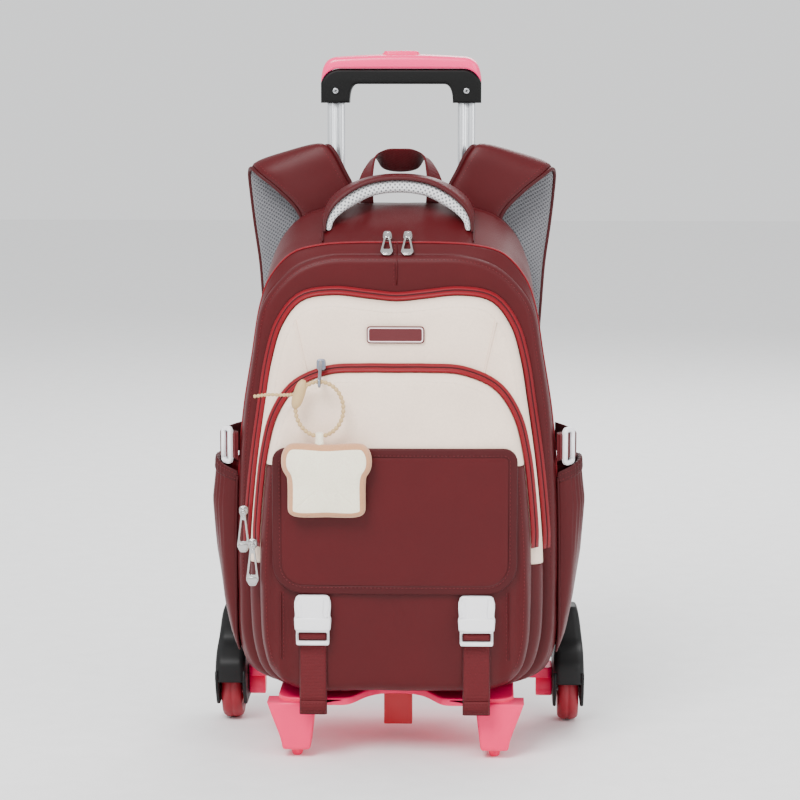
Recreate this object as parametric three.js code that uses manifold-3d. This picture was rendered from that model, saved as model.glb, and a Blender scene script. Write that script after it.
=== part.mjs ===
// A wheeled school backpack on a two wheel trolley, in millimetres, Z up, front towards -Y.
// The floor is Z = 0. The group is centred on its own box at the end.
import * as THREE from "three";
import { mergeVertices } from "three/addons/utils/BufferGeometryUtils.js";
import Module from "manifold-3d";

const wasm = await Module();
wasm.setup();

// General clearances
const gap = 0.35; // between two pieces that touch
const seat = 0.6; // between two soft pieces that lie on each other
const wall = 2; // bag cloth with its foam

// Bag body
const bodyHalf = 143; // half the width of the main body
const bodyBottom = 54; // bottom of the bag above the floor
const bodyHeight = 425;
const bagTop = bodyBottom + bodyHeight;
const backY = 85; // outer face of the back panel
const crestY = 58; // where the top gusset stops rising
const zipPlaneY = 0; // plane of the main zip
const seamY = -14; // front seam of the front gusset
const bodyEdge = 8; // rounding of the front panel's edge
const backEdge = 12; // rounding of the back panel's edge
const backPad = 4; // how far the back panel's padding stands out
const outlinePoints = 36;

// Main zip
const zipWide = 7;
const zipThick = 2;
const mainZipFrom = 0.17; // share of the outline, counted from the bottom, where the zip starts

// Big pocket and its zip
const bigInset = 14; // from the body's side to the pocket's
const bigHalf = bodyHalf - bigInset;
const bigBottom = 58;
const bigHeight = 347;
const bigDepth = 30; // from the front panel to its own face
const bigEdge = 12;
const bigCrown = 4;
const bigZipEnd = 176; // height above the floor where the zip ends
const creamEnd = 172; // height above the floor where the cream cloth ends

// Small pocket, its zip and the flap pocket below it
const smallInset = 11;
const smallHalf = bigHalf - smallInset;
const smallBottom = 61;
const smallHeight = 280;
const smallDepth = 22;
const smallEdge = 10;
const smallCrown = 5;
const smallZipEnd = 186;
const flapPocketTop = 262; // cloth joint that the flap covers
const coveWide = 7; // width of the slanting zip tape round a pocket, seen from the front
const coveThick = 1.8;
const pleatDeep = 2.2; // pleats of the flap pocket's flanks

// Flap
const flapBeside = 12; // from the flap's edge to the pocket's side
const flapHalf = smallHalf - flapBeside;
const flapOver = 16; // the flap's upper edge above the joint that it covers
const flapTop = flapPocketTop + flapOver;
const flapHigh = 128;
const flapThick = 3;
const flapPoints = 28;
const flapLowerCorner = 27;
const flapUpperCorner = 12;

// Label patch
const patchWide = 50;
const patchHigh = 15;
const patchThick = 2.2;
const patchZ = 373.5;
const patchCorner = 3;
const patchBorder = 1.6;

// Side pockets
const pouchBulge = 24; // how far a side pocket stands out from the body
const pouchBottom = 82;
const pouchTop = 246;
const pouchFront = -6; // front seam
const pouchBack = 70; // rear seam
const pouchWall = 1.8;
const gatherDeep = 1.2;
const gathers = 9;
const rimLift = 11; // the rim rises towards the outside

// Side compression straps
const sideWebHigh = 26;
const sideWebThick = 1.6;
const sideWebZ = 269; // middle of the webbing
const sideGlideWide = 15;
const sideGlideHigh = 34;
const sideGlideThick = 4.5;
const glideCorner = 5;

// Grab handle
const grabHalf = 65;
const grabRise = 40; // from its sewn ends to the top of its arch
const grabMeshHigh = 12.5;
const grabMeshDeep = 24;
const grabTopHigh = 4.5;
const grabTopDeep = 27;
const grabEndY = 30;
const grabLean = 16; // the top of the arch stands further back than the ends

// Webbing loop behind the grab handle
const loopBaseHalf = 46;
const loopRise = 50;
const loopFrontY = 62;
const loopBackY = 82;
const loopThick = 1.6;

// Shoulder straps
const strapThick = 5; // each of the two layers
const strapInset = 3; // from the body's side to the strap's furthest edge
const strapReach = bodyHalf - strapInset;
const strapRootUnder = 24; // where the straps are sewn on the back panel, below the bag's top
const strapRootZ = bagTop - strapRootUnder;
const strapBack = 36; // from its root to its hindmost part
const strapCrown = 1.2; // how far its padding stands out
const strapRise = 51; // the straps' highest point above the bag's top
const strapCrest = bagTop + strapRise;
const strapLong = 285; // from its crest down to the end of the padding
const strapEndZ = strapCrest - strapLong;
const strapWebWide = 25;
const strapWebThick = 1.6;
const strapWebEndZ = 92;
const adjusterWide = 34;
const adjusterHigh = 26;
const adjusterThick = 4;
const adjusterCorner = 4;

// Flap buckles and their webbing
const buckleWide = 32;
const buckleHigh = 44;
const buckleThick = 8;
const buckleInset = 35; // from the flap's side edge to the middle of a buckle
const buckleX = flapHalf - buckleInset;
const tailWide = 24;
const tailEndZ = 43;
const tailThick = 1.6;

// Zip pulls
const pullLong = 24;
const pullWide = 11;
const pullThick = 2;
const pullRim = 2.2;
const sidePullLong = 36;
const pullPairHalf = 9;
const pullLift = 3.2; // from the zip to the middle of a leaning slider
const pullLean = 0.74; // radians that the main zip's pulls lean forwards
const sliderWide = 8;
const sliderHigh = 8;
const sliderDeep = 4;
const bigPullZ = 214;
const smallPullZ = 190;

// Charm
const charmX = -58;
const charmWide = 80;
const charmHigh = 66;
const charmThick = 15;
const charmBottom = 219;
const charmLoopWide = 20.5; // half width of the ribbed loop
const charmLoopHigh = 23.5; // half height of the ribbed loop
const charmLoopX = -64;
const tieThick = 3.2;
const charmTail = 34;
const charmTab = 8;
const charmTabHalf = 4;
const charmEdge = 4; // rounding of its faces
const lockTurn = 148; // degrees round the loop
const lockWide = 10;
const lockHigh = 26;

// Trolley
const handleHalf = 73;
const tubeInset = 13.5; // from the handle's side to the middle of a tube
const tubeHalfSpan = handleHalf - tubeInset;
const tubeStandoff = 23; // from the back panel to the middle of the tubes
const tubeY = backY + tubeStandoff;
const outerTubeWide = 20;
const outerTubeDeep = 15;
const outerTubeUnder = 9; // its top below the bag's
const outerTubeTop = bagTop - outerTubeUnder;
const tubeWall = 1.4;
const tubeCorner = 5;
const innerTubeWide = 16;
const innerTubeDeep = 11;
const innerTubeLong = 470;
const grooveWide = 4;
const grooveDeep = 1.5;
const bracketUnder = 61; // its lower face below the bag's top
const bracketZ = bagTop - bracketUnder;
const bracketHigh = 16;
const bracketWall = 4;
const bracketCorner = 6;

// Trolley handle
const handleRise = 134; // above the bag, as it stands in the photograph
const handleTop = bagTop + handleRise;
const socketDrop = 44; // from the top of the handle to the lower end of its sockets
const socketBottom = handleTop - socketDrop;
const socketWide = 26;
const socketDepth = 20; // how far a tube goes into its socket
const gripDrop = 27; // from the top of the handle to the underside of its bar
const gripUnder = handleTop - gripDrop;
const gripDeep = 24;
const coverHigh = 13;
const coverSide = 26; // how far the cover reaches down at the ends
const buttonWide = 32;
const buttonDeep = 13;
const buttonProud = 3;
const buttonTravel = 3.5;
const buttonCorner = 5;
const gripCorner = 8; // between the bar and its sockets
const screwRadius = 2.7;
const screwHigh = 1.6;
const screwUp = 11; // above the sockets' lower end

// Base frame, feet and centre stop
const baseInset = 39;
const baseHalf = bodyHalf - baseInset;
const baseFront = -58;
const baseThick = 7;
const footX = 87;
const footY = -50;
const footWide = 24;
const footTopWide = 43;
const footDeep = 30;
const trayCorner = 22;
const shelfBeside = 16; // shelf for the tubes, beyond the middle of each tube
const shelfBehind = 3;
const shelfAhead = 20;
const armHalfDeep = 17; // arms between the plate and the wheels' housings
const armDrop = 4;
const armRoot = 12;
const bossHalfDeep = 10; // blocks that hold the axles
const bossLong = 16;
const bossUnder = 9;
const skirtThick = 6;
const skirtDrop = 9;
const nubHigh = 7.3;
const nubRadius = 5;
const stopHalf = 12.7;
const stopZ = 12;
const stopY = 20;
const stopHalfDeep = 8;
const stopWall = 3;

// Wheels
const wheelBeside = 12; // from the body's side to the middle of a wheel
const wheelX = bodyHalf + wheelBeside;
const wheelY = 85;
const wheelRadius = 31;
const tyreWide = 19;
const tyreDeep = 11;
const hubWide = 17;
const axleRadius = 4;
const wheelGap = 3; // running gap round a tyre
const fenderHalfDeep = 42;
const fenderTop = 108;
const fenderCheek = 3.2;
const fenderLip = 41.5;
const fenderCheekZ = 17;

// Finishes
const finish = (color, roughness, metalness = 0) => ({ color, roughness, metalness });
const maroonCloth = finish(0x83212d, 0.75);
const creamCloth = finish(0xf0e5db, 0.8);
const redTape = finish(0xb3152a, 0.6);
const meshCloth = finish(0xb0b0b4, 0.9);
const whitePlastic = finish(0xf2f0f5, 0.4);
const pinkPlastic = finish(0xff5c88, 0.4);
const redPlastic = finish(0xb8182a, 0.45);
const blackPlastic = finish(0x1c1c1c, 0.5);
const redRubber = finish(0xc2183c, 0.6);
const aluminium = finish(0xd0d2d6, 0.3, 1);
const steel = finish(0xb8babd, 0.3, 1);
const plushCloth = finish(0xfdf6dc, 0.95);
const tiePlastic = finish(0xe8dabb, 0.6);

const root = new THREE.Group();

/** Adds one named mesh to the model. */
function addPiece(name, geometry, look, parent = root) {
  const mesh = new THREE.Mesh(geometry, new THREE.MeshStandardMaterial(look));
  mesh.name = name;
  parent.add(mesh);
  return mesh;
}

/** Keeps only positions and merges the shared vertices. */
function bare(geometry) {
  const plain = new THREE.BufferGeometry();
  plain.setAttribute("position", geometry.getAttribute("position").clone());
  if (geometry.index) plain.setIndex(geometry.index.clone());
  return mergeVertices(plain, 1e-4);
}

/** A closed geometry as a solid for joining and cutting. */
function solidOf(geometry) {
  const merged = bare(geometry);
  return new wasm.Manifold(
    new wasm.Mesh({
      numProp: 3,
      vertProperties: Float32Array.from(merged.getAttribute("position").array),
      triVerts: Uint32Array.from(merged.index.array),
    }),
  );
}

/** A solid back as a geometry. */
function geometryOf(solid) {
  const mesh = solid.getMesh();
  const geometry = new THREE.BufferGeometry();
  const positions = new Float32Array(mesh.numVert * 3);
  for (let i = 0; i < mesh.numVert; i++) {
    positions.set(mesh.vertProperties.subarray(i * mesh.numProp, i * mesh.numProp + 3), i * 3);
  }
  geometry.setAttribute("position", new THREE.BufferAttribute(positions, 3));
  geometry.setIndex(new THREE.BufferAttribute(mesh.triVerts, 1));
  return geometry;
}

/** Joins the first geometries and cuts the others away. */
function carve(joined, cuts = []) {
  let solid = solidOf(joined[0]);
  for (const other of joined.slice(1)) solid = solid.add(solidOf(other));
  for (const cut of cuts) solid = solid.subtract(solidOf(cut));
  return geometryOf(solid);
}

/** Signed volume of an indexed geometry. */
function signedVolume(positions, index) {
  let sum = 0;
  const point = (i) => new THREE.Vector3().fromArray(positions, index[i] * 3);
  for (let i = 0; i < index.length; i += 3) {
    sum += point(i).dot(point(i + 1).cross(point(i + 2)));
  }
  return sum / 6;
}

/**
 * A closed body through rings of equal point count.
 * Its ends close to a point each, or the last ring joins the first one.
 */
function loft(rings, { start, end, joined = false } = {}) {
  const count = rings[0].length;
  const positions = rings.flat().flatMap((p) => [p.x, p.y, p.z]);
  const index = [];
  const last = joined ? rings.length : rings.length - 1;
  for (let r = 0; r < last; r++) {
    const next = (r + 1) % rings.length;
    for (let i = 0; i < count; i++) {
      const j = (i + 1) % count;
      index.push(r * count + i, r * count + j, next * count + j);
      index.push(r * count + i, next * count + j, next * count + i);
    }
  }
  if (!joined) {
    const ends = [
      { ring: 0, tip: start, turned: true },
      { ring: rings.length - 1, tip: end, turned: false },
    ];
    for (const { ring, tip, turned } of ends) {
      const centre = tip ?? middleOf(rings[ring]);
      positions.push(centre.x, centre.y, centre.z);
      const tipIndex = positions.length / 3 - 1;
      for (let i = 0; i < count; i++) {
        const a = ring * count + i;
        const b = ring * count + ((i + 1) % count);
        index.push(...(turned ? [b, a, tipIndex] : [a, b, tipIndex]));
      }
    }
  }
  if (signedVolume(positions, index) < 0) index.reverse();
  const geometry = new THREE.BufferGeometry();
  geometry.setAttribute("position", new THREE.Float32BufferAttribute(positions, 3));
  geometry.setIndex(index);
  return geometry;
}

/** Middle of a ring of points. */
function middleOf(ring) {
  const sum = new THREE.Vector3();
  for (const p of ring) sum.add(p);
  return sum.divideScalar(ring.length);
}

/** A box between two corners. */
function block(x0, x1, y0, y1, z0, z1) {
  const box = new THREE.BoxGeometry(x1 - x0, y1 - y0, z1 - z0);
  return box.translate((x0 + x1) / 2, (y0 + y1) / 2, (z0 + z1) / 2);
}

/** A shape drawn in X and Z, from its front face at yFront to its back face at yBack. */
function frontPlate(shape, yFront, yBack, bevel = 0, curveSegments = 2) {
  const plate = new THREE.ExtrudeGeometry(shape, {
    depth: yBack - yFront - 2 * bevel,
    bevelEnabled: bevel > 0,
    bevelThickness: bevel,
    bevelSize: bevel,
    bevelOffset: -bevel,
    bevelSegments: 1,
    curveSegments,
  });
  plate.rotateX(Math.PI / 2);
  return plate.translate(0, yBack - bevel, 0);
}

/** A shape drawn in X and Y, from zLow to zHigh. */
function floorPlate(shape, zLow, zHigh, bevel = 0, curveSegments = 2) {
  const plate = new THREE.ExtrudeGeometry(shape, {
    depth: zHigh - zLow - 2 * bevel,
    bevelEnabled: bevel > 0,
    bevelThickness: bevel,
    bevelSize: bevel,
    bevelOffset: -bevel,
    bevelSegments: 1,
    curveSegments,
  });
  return plate.translate(0, 0, zLow + bevel);
}

/** A rounded rectangle about a centre. */
function roundedShape(wide, high, radius, cx = 0, cy = 0) {
  const shape = new THREE.Shape();
  const x = wide / 2;
  const y = high / 2;
  const r = Math.min(radius, x - 0.01, y - 0.01);
  shape.moveTo(cx - x + r, cy - y);
  shape.lineTo(cx + x - r, cy - y);
  shape.absarc(cx + x - r, cy - y + r, r, -Math.PI / 2, 0);
  shape.lineTo(cx + x, cy + y - r);
  shape.absarc(cx + x - r, cy + y - r, r, 0, Math.PI / 2);
  shape.lineTo(cx - x + r, cy + y);
  shape.absarc(cx - x + r, cy + y - r, r, Math.PI / 2, Math.PI);
  shape.lineTo(cx - x, cy - y + r);
  shape.absarc(cx - x + r, cy - y + r, r, Math.PI, 1.5 * Math.PI);
  return shape;
}

/** A plain rectangle about a centre. */
function boxShape(wide, high, cx = 0, cy = 0) {
  const [x, y] = [wide / 2, high / 2];
  return straightShape([[cx - x, cy - y], [cx + x, cy - y], [cx + x, cy + y], [cx - x, cy + y]]);
}

/** A shape through straight points, turned anticlockwise so that its holes are cut the right way. */
function straightShape(points) {
  const corners = points.map(([x, y]) => new THREE.Vector2(x, y));
  return new THREE.Shape(THREE.ShapeUtils.isClockWise(corners) ? corners.reverse() : corners);
}

/** A round bar along X. */
function barAlongX(radius, x0, x1, y, z, sides = 16) {
  const bar = new THREE.CylinderGeometry(radius, radius, x1 - x0, sides);
  return bar.rotateZ(Math.PI / 2).translate((x0 + x1) / 2, y, z);
}

/**
 * A closed outline seen from the front, as points of x and z in equal steps.
 * Rows go from the bottom middle up to the top middle: out is a share of the half width,
 * up a share of the height.
 */
function outlineOf(rows, half, bottom, height, count = outlinePoints) {
  const right = rows.map(({ out, up }) => new THREE.Vector3(out * half, 0, bottom + up * height));
  const left = right
    .slice(1, -1)
    .reverse()
    .map((p) => new THREE.Vector3(-p.x, 0, p.z));
  const curve = new THREE.CatmullRomCurve3([...right, ...left], true, "centripetal");
  curve.arcLengthDivisions = 800;
  const points = curve.getSpacedPoints(count).slice(0, count);
  return points.map(({ x, z }) => ({ x, z }));
}

/** Outward direction at each point of an outline. */
function outwardOf(outline) {
  const count = outline.length;
  return outline.map((_, i) => {
    const a = outline[(i + count - 1) % count];
    const b = outline[(i + 1) % count];
    const long = Math.hypot(b.x - a.x, b.z - a.z);
    return { x: (b.z - a.z) / long, z: -(b.x - a.x) / long };
  });
}

/** The outline moved inwards. */
function insetOutline(outline, inset) {
  const outward = outwardOf(outline);
  return outline.map((p, i) => ({ x: p.x - outward[i].x * inset, z: p.z - outward[i].z * inset }));
}

/** The mix of two outlines, from the first at 0 to the second at 1. */
function mixOutlines(first, second, share) {
  return first.map((p, i) => ({
    x: THREE.MathUtils.lerp(p.x, second[i].x, share),
    z: THREE.MathUtils.lerp(p.z, second[i].z, share),
  }));
}

/** The outline drawn together towards its middle. */
function shrinkOutline(outline, share) {
  const zs = outline.map((p) => p.z);
  const middle = (Math.max(...zs) + Math.min(...zs)) / 2;
  return outline.map((p) => ({ x: p.x * share, z: middle + (p.z - middle) * share }));
}

/** An outline with its depth, given as a number or as a function of x, z and the point's index. */
function ringOf(outline, depth) {
  const depthAt = typeof depth === "function" ? depth : () => depth;
  return outline.map((p, i) => new THREE.Vector3(p.x, depthAt(p.x, p.z, i), p.z));
}

/** Lowest height of some outlines. */
function lowestOf(...outlines) {
  return Math.min(...outlines.flat().map((p) => p.z));
}

/** Half width of an outline at a height, on its right side. */
function halfWidthAt(outline, z) {
  let widest = 0;
  outline.forEach((a, i) => {
    const b = outline[(i + 1) % outline.length];
    if ((a.z - z) * (b.z - z) > 0 || a.z === b.z) return;
    const share = (z - a.z) / (b.z - a.z);
    widest = Math.max(widest, a.x + (b.x - a.x) * share);
  });
  return widest;
}

/** Height of the top of an outline at a distance from the middle. */
function topAt(outline, x) {
  let highest = -Infinity;
  outline.forEach((a, i) => {
    const b = outline[(i + 1) % outline.length];
    if ((a.x - x) * (b.x - x) > 0 || a.x === b.x) return;
    const share = (x - a.x) / (b.x - a.x);
    highest = Math.max(highest, a.z + (b.z - a.z) * share);
  });
  return highest;
}

/** A gently domed face: its depth at a point, with the dome standing towards the front. */
function domedFace(depth, crown, half, bottom, height) {
  return (x, z) => {
    const across = Math.min(1, Math.abs(x) / half);
    const along = Math.min(1, Math.abs(z - bottom - height / 2) / (height / 2));
    return depth - crown * (1 - across ** 2) * (1 - along ** 2);
  };
}

/** Rings of a rounded edge that ends on a face, for an outer skin or, inside the wall, an inner one. */
function edgeRings(outline, face, radius, skin) {
  const turn = skin ? [0, 1] : [0, 0.5, 1];
  return turn.map((share) => {
    const angle = (share * Math.PI) / 2;
    const inset = skin + (radius - skin) * (1 - Math.cos(angle));
    const back = skin + (radius - skin) * (1 - Math.sin(angle));
    return ringOf(insetOutline(outline, inset), (x, z) => face(x, z) + back);
  });
}

/** Rings that close a face towards its middle. */
function faceRings(outline, face, radius, skin) {
  const inner = insetOutline(outline, radius);
  const shares = skin ? [] : [0.66, 0.33];
  return shares.map((share) => ringOf(shrinkOutline(inner, share), (x, z) => face(x, z) + skin));
}

/** Middle point of a face. */
function faceMiddle(outline, face, skin) {
  const zs = outline.map((p) => p.z);
  const z = (Math.max(...zs) + Math.min(...zs)) / 2;
  return new THREE.Vector3(0, face(0, z) + skin, z);
}

/**
 * A cloth shell with a closed face towards the front and an open back.
 * rim is the depth of its open edge; sides are outlines between rim and face with their depth.
 */
function openShell({ rimOutline, rim, sides = [], outline, face, edge }) {
  const outer = [
    ringOf(rimOutline, rim),
    ...sides.map((side) => ringOf(side.outline, side.depth)),
    ...edgeRings(outline, face, edge, 0),
    ...faceRings(outline, face, edge, 0),
  ];
  const inner = [
    ringOf(insetOutline(rimOutline, wall), rim),
    ...sides.map((side) => ringOf(insetOutline(side.outline, wall), side.depth)),
    ...edgeRings(outline, face, edge, wall),
    ...faceRings(outline, face, edge, wall),
  ];
  return loft([...inner.reverse(), ...outer], {
    start: faceMiddle(outline, face, wall),
    end: faceMiddle(outline, face, 0),
  });
}

// Outlines, each row from the bottom middle to the top middle
const lowerRows = [
  { out: 0, up: 0 },
  { out: 0.63, up: 0 },
  { out: 0.8, up: 0.008 },
  { out: 0.93, up: 0.035 },
  { out: 0.99, up: 0.09 },
  { out: 1, up: 0.2 },
  { out: 0.995, up: 0.35 },
  { out: 0.98, up: 0.485 },
  { out: 0.951, up: 0.588 },
  { out: 0.899, up: 0.696 },
  { out: 0.846, up: 0.802 },
];
const rearRows = [
  ...lowerRows,
  { out: 0.8, up: 0.88 },
  { out: 0.715, up: 0.94 },
  { out: 0.6, up: 0.975 },
  { out: 0.42, up: 0.993 },
  { out: 0.2, up: 1 },
  { out: 0, up: 1 },
];
const zipRows = [
  ...lowerRows,
  { out: 0.785, up: 0.858 },
  { out: 0.65, up: 0.908 },
  { out: 0.47, up: 0.925 },
  { out: 0.24, up: 0.93 },
  { out: 0, up: 0.93 },
];
const seamRows = [
  { out: 0, up: 0.004 },
  { out: 0.6, up: 0.004 },
  { out: 0.78, up: 0.014 },
  { out: 0.9, up: 0.042 },
  { out: 0.965, up: 0.1 },
  { out: 0.98, up: 0.2 },
  { out: 0.98, up: 0.35 },
  { out: 0.965, up: 0.485 },
  { out: 0.94, up: 0.588 },
  { out: 0.89, up: 0.696 },
  { out: 0.833, up: 0.8 },
  { out: 0.734, up: 0.85 },
  { out: 0.6, up: 0.887 },
  { out: 0.42, up: 0.906 },
  { out: 0.2, up: 0.908 },
  { out: 0, up: 0.908 },
];
const bigRows = [
  { out: 0, up: 0 },
  { out: 0.6, up: 0 },
  { out: 0.79, up: 0.012 },
  { out: 0.92, up: 0.05 },
  { out: 0.98, up: 0.115 },
  { out: 1, up: 0.2 },
  { out: 1, up: 0.34 },
  { out: 0.985, up: 0.43 },
  { out: 0.945, up: 0.58 },
  { out: 0.887, up: 0.732 },
  { out: 0.84, up: 0.84 },
  { out: 0.77, up: 0.925 },
  { out: 0.64, up: 0.985 },
  { out: 0.43, up: 1 },
  { out: 0.2, up: 0.992 },
  { out: 0, up: 0.985 },
];
const smallRows = [
  { out: 0, up: 0 },
  { out: 0.58, up: 0 },
  { out: 0.78, up: 0.014 },
  { out: 0.92, up: 0.062 },
  { out: 0.98, up: 0.14 },
  { out: 1, up: 0.26 },
  { out: 1, up: 0.436 },
  { out: 0.975, up: 0.6 },
  { out: 0.93, up: 0.755 },
  { out: 0.86, up: 0.865 },
  { out: 0.725, up: 0.948 },
  { out: 0.49, up: 0.993 },
  { out: 0.24, up: 1 },
  { out: 0, up: 1 },
];
const rearOutline = outlineOf(rearRows, bodyHalf, bodyBottom, bodyHeight);
const zipOutline = outlineOf(zipRows, bodyHalf, bodyBottom, bodyHeight);
const seamOutline = outlineOf(seamRows, bodyHalf, bodyBottom, bodyHeight);
const bigOutline = outlineOf(bigRows, bigHalf, bigBottom, bigHeight);
const smallOutline = outlineOf(smallRows, smallHalf, smallBottom, smallHeight);

// Faces, from the back panel forwards
const backFace = (x, z) => -domedFace(-backY, backPad, bodyHalf, bodyBottom, bodyHeight)(x, z);
const frontFace = () => seamY - bodyEdge;
const bigFace = domedFace(frontFace() - bigDepth, bigCrown, bigHalf, bigBottom, bigHeight);
const smallDepthAt = bigFace(0, bigBottom) - smallDepth;
const smallFace = domedFace(smallDepthAt, smallCrown, smallHalf, smallBottom, smallHeight);
const baseTop = lowestOf(rearOutline, zipOutline, seamOutline) - gap; // top of the pink base plate

/** How open the main seam is for the zip at a point of the outline: 1 on the arch, 0 below its ends. */
function zipOpening(index) {
  const share = index / outlinePoints;
  return share >= mainZipFrom && share <= 1 - mainZipFrom ? 1 : 0;
}

/** The rear half of the bag: back panel and gusset, open towards the zip. */
function makeRearBody() {
  const rim = (x, z, i) => zipPlaneY + gap / 2 + (zipWide / 2) * zipOpening(i);
  const skins = [0, wall].map((skin) => [
    ringOf(insetOutline(zipOutline, skin), rim),
    ringOf(insetOutline(rearOutline, skin), crestY),
    ...(skin ? [0, 1] : [0, 0.5, 1]).map((share) => {
      const angle = (share * Math.PI) / 2;
      const inset = skin + (backEdge - skin) * (1 - Math.cos(angle));
      const ahead = skin + (backEdge - skin) * (1 - Math.sin(angle));
      return ringOf(insetOutline(rearOutline, inset), (x, z) => backFace(x, z) - ahead);
    }),
    ...(skin ? [] : [0.66, 0.33]).map((share) =>
      ringOf(shrinkOutline(insetOutline(rearOutline, backEdge), share), (x, z) => backFace(x, z) - skin),
    ),
  ]);
  const middle = bodyBottom + bodyHeight / 2;
  const tip = (skin) => new THREE.Vector3(0, backFace(0, middle) - skin, middle);
  const shell = loft([...skins[1].reverse(), ...skins[0]], { start: tip(wall), end: tip(0) });
  addPiece("rear_body", shell, maroonCloth);
}

/** The front half of the bag, open towards the zip. */
function makeFrontBody() {
  const shell = openShell({
    rimOutline: zipOutline,
    rim: (x, z, i) => zipPlaneY - gap / 2 - (zipWide / 2) * zipOpening(i),
    outline: seamOutline,
    face: frontFace,
    edge: bodyEdge,
  });
  addPiece("front_body", shell, maroonCloth);
}

/** A flat band along part of an outline, between four corner outlines. */
function bandAlong(corners, from, to) {
  const rings = [];
  for (let i = from; i <= to; i++) rings.push(corners.map((corner) => corner[i % corner.length]));
  return loft(rings);
}

/** The zip strip in the seam round the main compartment. */
function makeMainZip() {
  const from = Math.ceil(mainZipFrom * outlinePoints);
  const half = zipWide / 2 - gap / 2;
  const corners = [
    ringOf(insetOutline(zipOutline, -0.6), zipPlaneY - half),
    ringOf(insetOutline(zipOutline, -0.6), zipPlaneY + half),
    ringOf(insetOutline(zipOutline, zipThick), zipPlaneY + half),
    ringOf(insetOutline(zipOutline, zipThick), zipPlaneY - half),
  ];
  addPiece("main_zip", bandAlong(corners, from, outlinePoints - from), redTape);
}

/** Cuts a geometry at a height and gives back the part above and the part below, with a gap. */
function splitAt(geometry, z) {
  const far = 400;
  const above = solidOf(geometry).subtract(solidOf(block(-far, far, -far, far, -far, z + gap / 2)));
  const below = solidOf(geometry).subtract(solidOf(block(-far, far, -far, far, z - gap / 2, 2 * far)));
  return { above: geometryOf(above), below: geometryOf(below) };
}

/** A slanting zip tape in the corner between a pocket's gusset and the panel that it is sewn on. */
function coveZip(name, outline, panel, endZ) {
  const outer = insetOutline(outline, -coveWide);
  const inner = insetOutline(outline, -gap);
  const panelAt = (x, z) => panel(x, z) - gap;
  const corners = [
    ringOf(outer, panelAt),
    ringOf(outer, (x, z) => panelAt(x, z) - coveThick),
    ringOf(inner, (x, z) => panelAt(x, z) - coveWide - coveThick),
    ringOf(inner, (x, z) => panelAt(x, z) - coveWide),
  ];
  const from = outline.findIndex((p) => p.x > 0 && p.z > endZ);
  addPiece(name, bandAlong(corners, from, outline.length - from), redTape);
}

/** The big pocket: cream cloth above, maroon below, with its zip. */
function makeBigPocket() {
  const shell = openShell({
    rimOutline: bigOutline,
    rim: (x, z) => frontFace(x, z) - seat,
    outline: bigOutline,
    face: bigFace,
    edge: bigEdge,
  });
  const { above, below } = splitAt(shell, creamEnd);
  addPiece("big_pocket", above, creamCloth);
  addPiece("big_pocket_base", below, maroonCloth);
  coveZip("big_zip", bigOutline, frontFace, bigZipEnd);
}

/** The small pocket: cream cloth above the flap, maroon flap pocket below, with its zip. */
function makeSmallPocket() {
  const pleats = [
    { across: 0.78, wide: 0.05 },
    { across: 0.9, wide: 0.04 },
  ];
  const pleatedFace = (x, z) => {
    const low = THREE.MathUtils.smoothstep(flapPocketTop - z, 0, flapHigh);
    const fold = pleats.reduce((sum, { across, wide }) => {
      const off = (Math.abs(x) / smallHalf - across) / wide;
      return sum + Math.exp(-off * off);
    }, 0);
    return smallFace(x, z) + pleatDeep * fold * low;
  };
  const shell = openShell({
    rimOutline: smallOutline,
    rim: (x, z) => bigFace(x, z) - seat,
    outline: smallOutline,
    face: pleatedFace,
    edge: smallEdge,
  });
  const { above, below } = splitAt(shell, flapPocketTop);
  addPiece("small_pocket", above, creamCloth);
  addPiece("flap_pocket", below, maroonCloth);
  coveZip("small_zip", smallOutline, bigFace, smallZipEnd);
}

/** A thin patch that follows a face, with its outline drawn in x and z. */
function patchOn(outline, face, thick, clearance) {
  const shares = [0.4, 0.8, 1];
  const back = shares.map((share) => ringOf(shrinkOutline(outline, share), (x, z) => face(x, z) - clearance));
  const front = shares
    .map((share) => ringOf(shrinkOutline(outline, share), (x, z) => face(x, z) - clearance - thick))
    .reverse();
  return loft([...back, ...front], {
    start: faceMiddle(outline, face, -clearance),
    end: faceMiddle(outline, face, -clearance - thick),
  });
}

/** The flap over the lower pocket. */
function makeFlap() {
  const shape = new THREE.Shape();
  const bottom = flapTop - flapHigh;
  const low = flapLowerCorner;
  const up = flapUpperCorner;
  shape.moveTo(0, bottom);
  shape.lineTo(flapHalf - low, bottom);
  shape.absarc(flapHalf - low, bottom + low, low, -Math.PI / 2, 0);
  shape.lineTo(flapHalf, flapTop - up);
  shape.absarc(flapHalf - up, flapTop - up, up, 0, Math.PI / 2);
  shape.lineTo(-flapHalf + up, flapTop);
  shape.absarc(-flapHalf + up, flapTop - up, up, Math.PI / 2, Math.PI);
  shape.lineTo(-flapHalf, bottom + low);
  shape.absarc(-flapHalf + low, bottom + low, low, Math.PI, 1.5 * Math.PI);
  shape.closePath();
  const points = shape.getSpacedPoints(flapPoints).slice(0, flapPoints);
  const outline = points.map(({ x, y }) => ({ x, z: y }));
  addPiece("pocket_flap", patchOn(outline, smallFace, flapThick, seat), maroonCloth);
}

/** The small bare label patch with its raised border. */
function makeLabelPatch() {
  const face = bigFace(0, patchZ);
  const outline = roundedShape(patchWide, patchHigh, patchCorner, 0, patchZ);
  const plate = frontPlate(outline, face - seat - patchThick, face - seat);
  const inner = { wide: patchWide - 2 * patchBorder, high: patchHigh - 2 * patchBorder };
  const window = roundedShape(inner.wide, inner.high, patchCorner - 1, 0, patchZ);
  const cut = frontPlate(window, face - seat - 2 * patchThick, face - seat - patchThick / 2);
  addPiece("label_patch", carve([plate], [cut]), maroonCloth);
}

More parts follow.
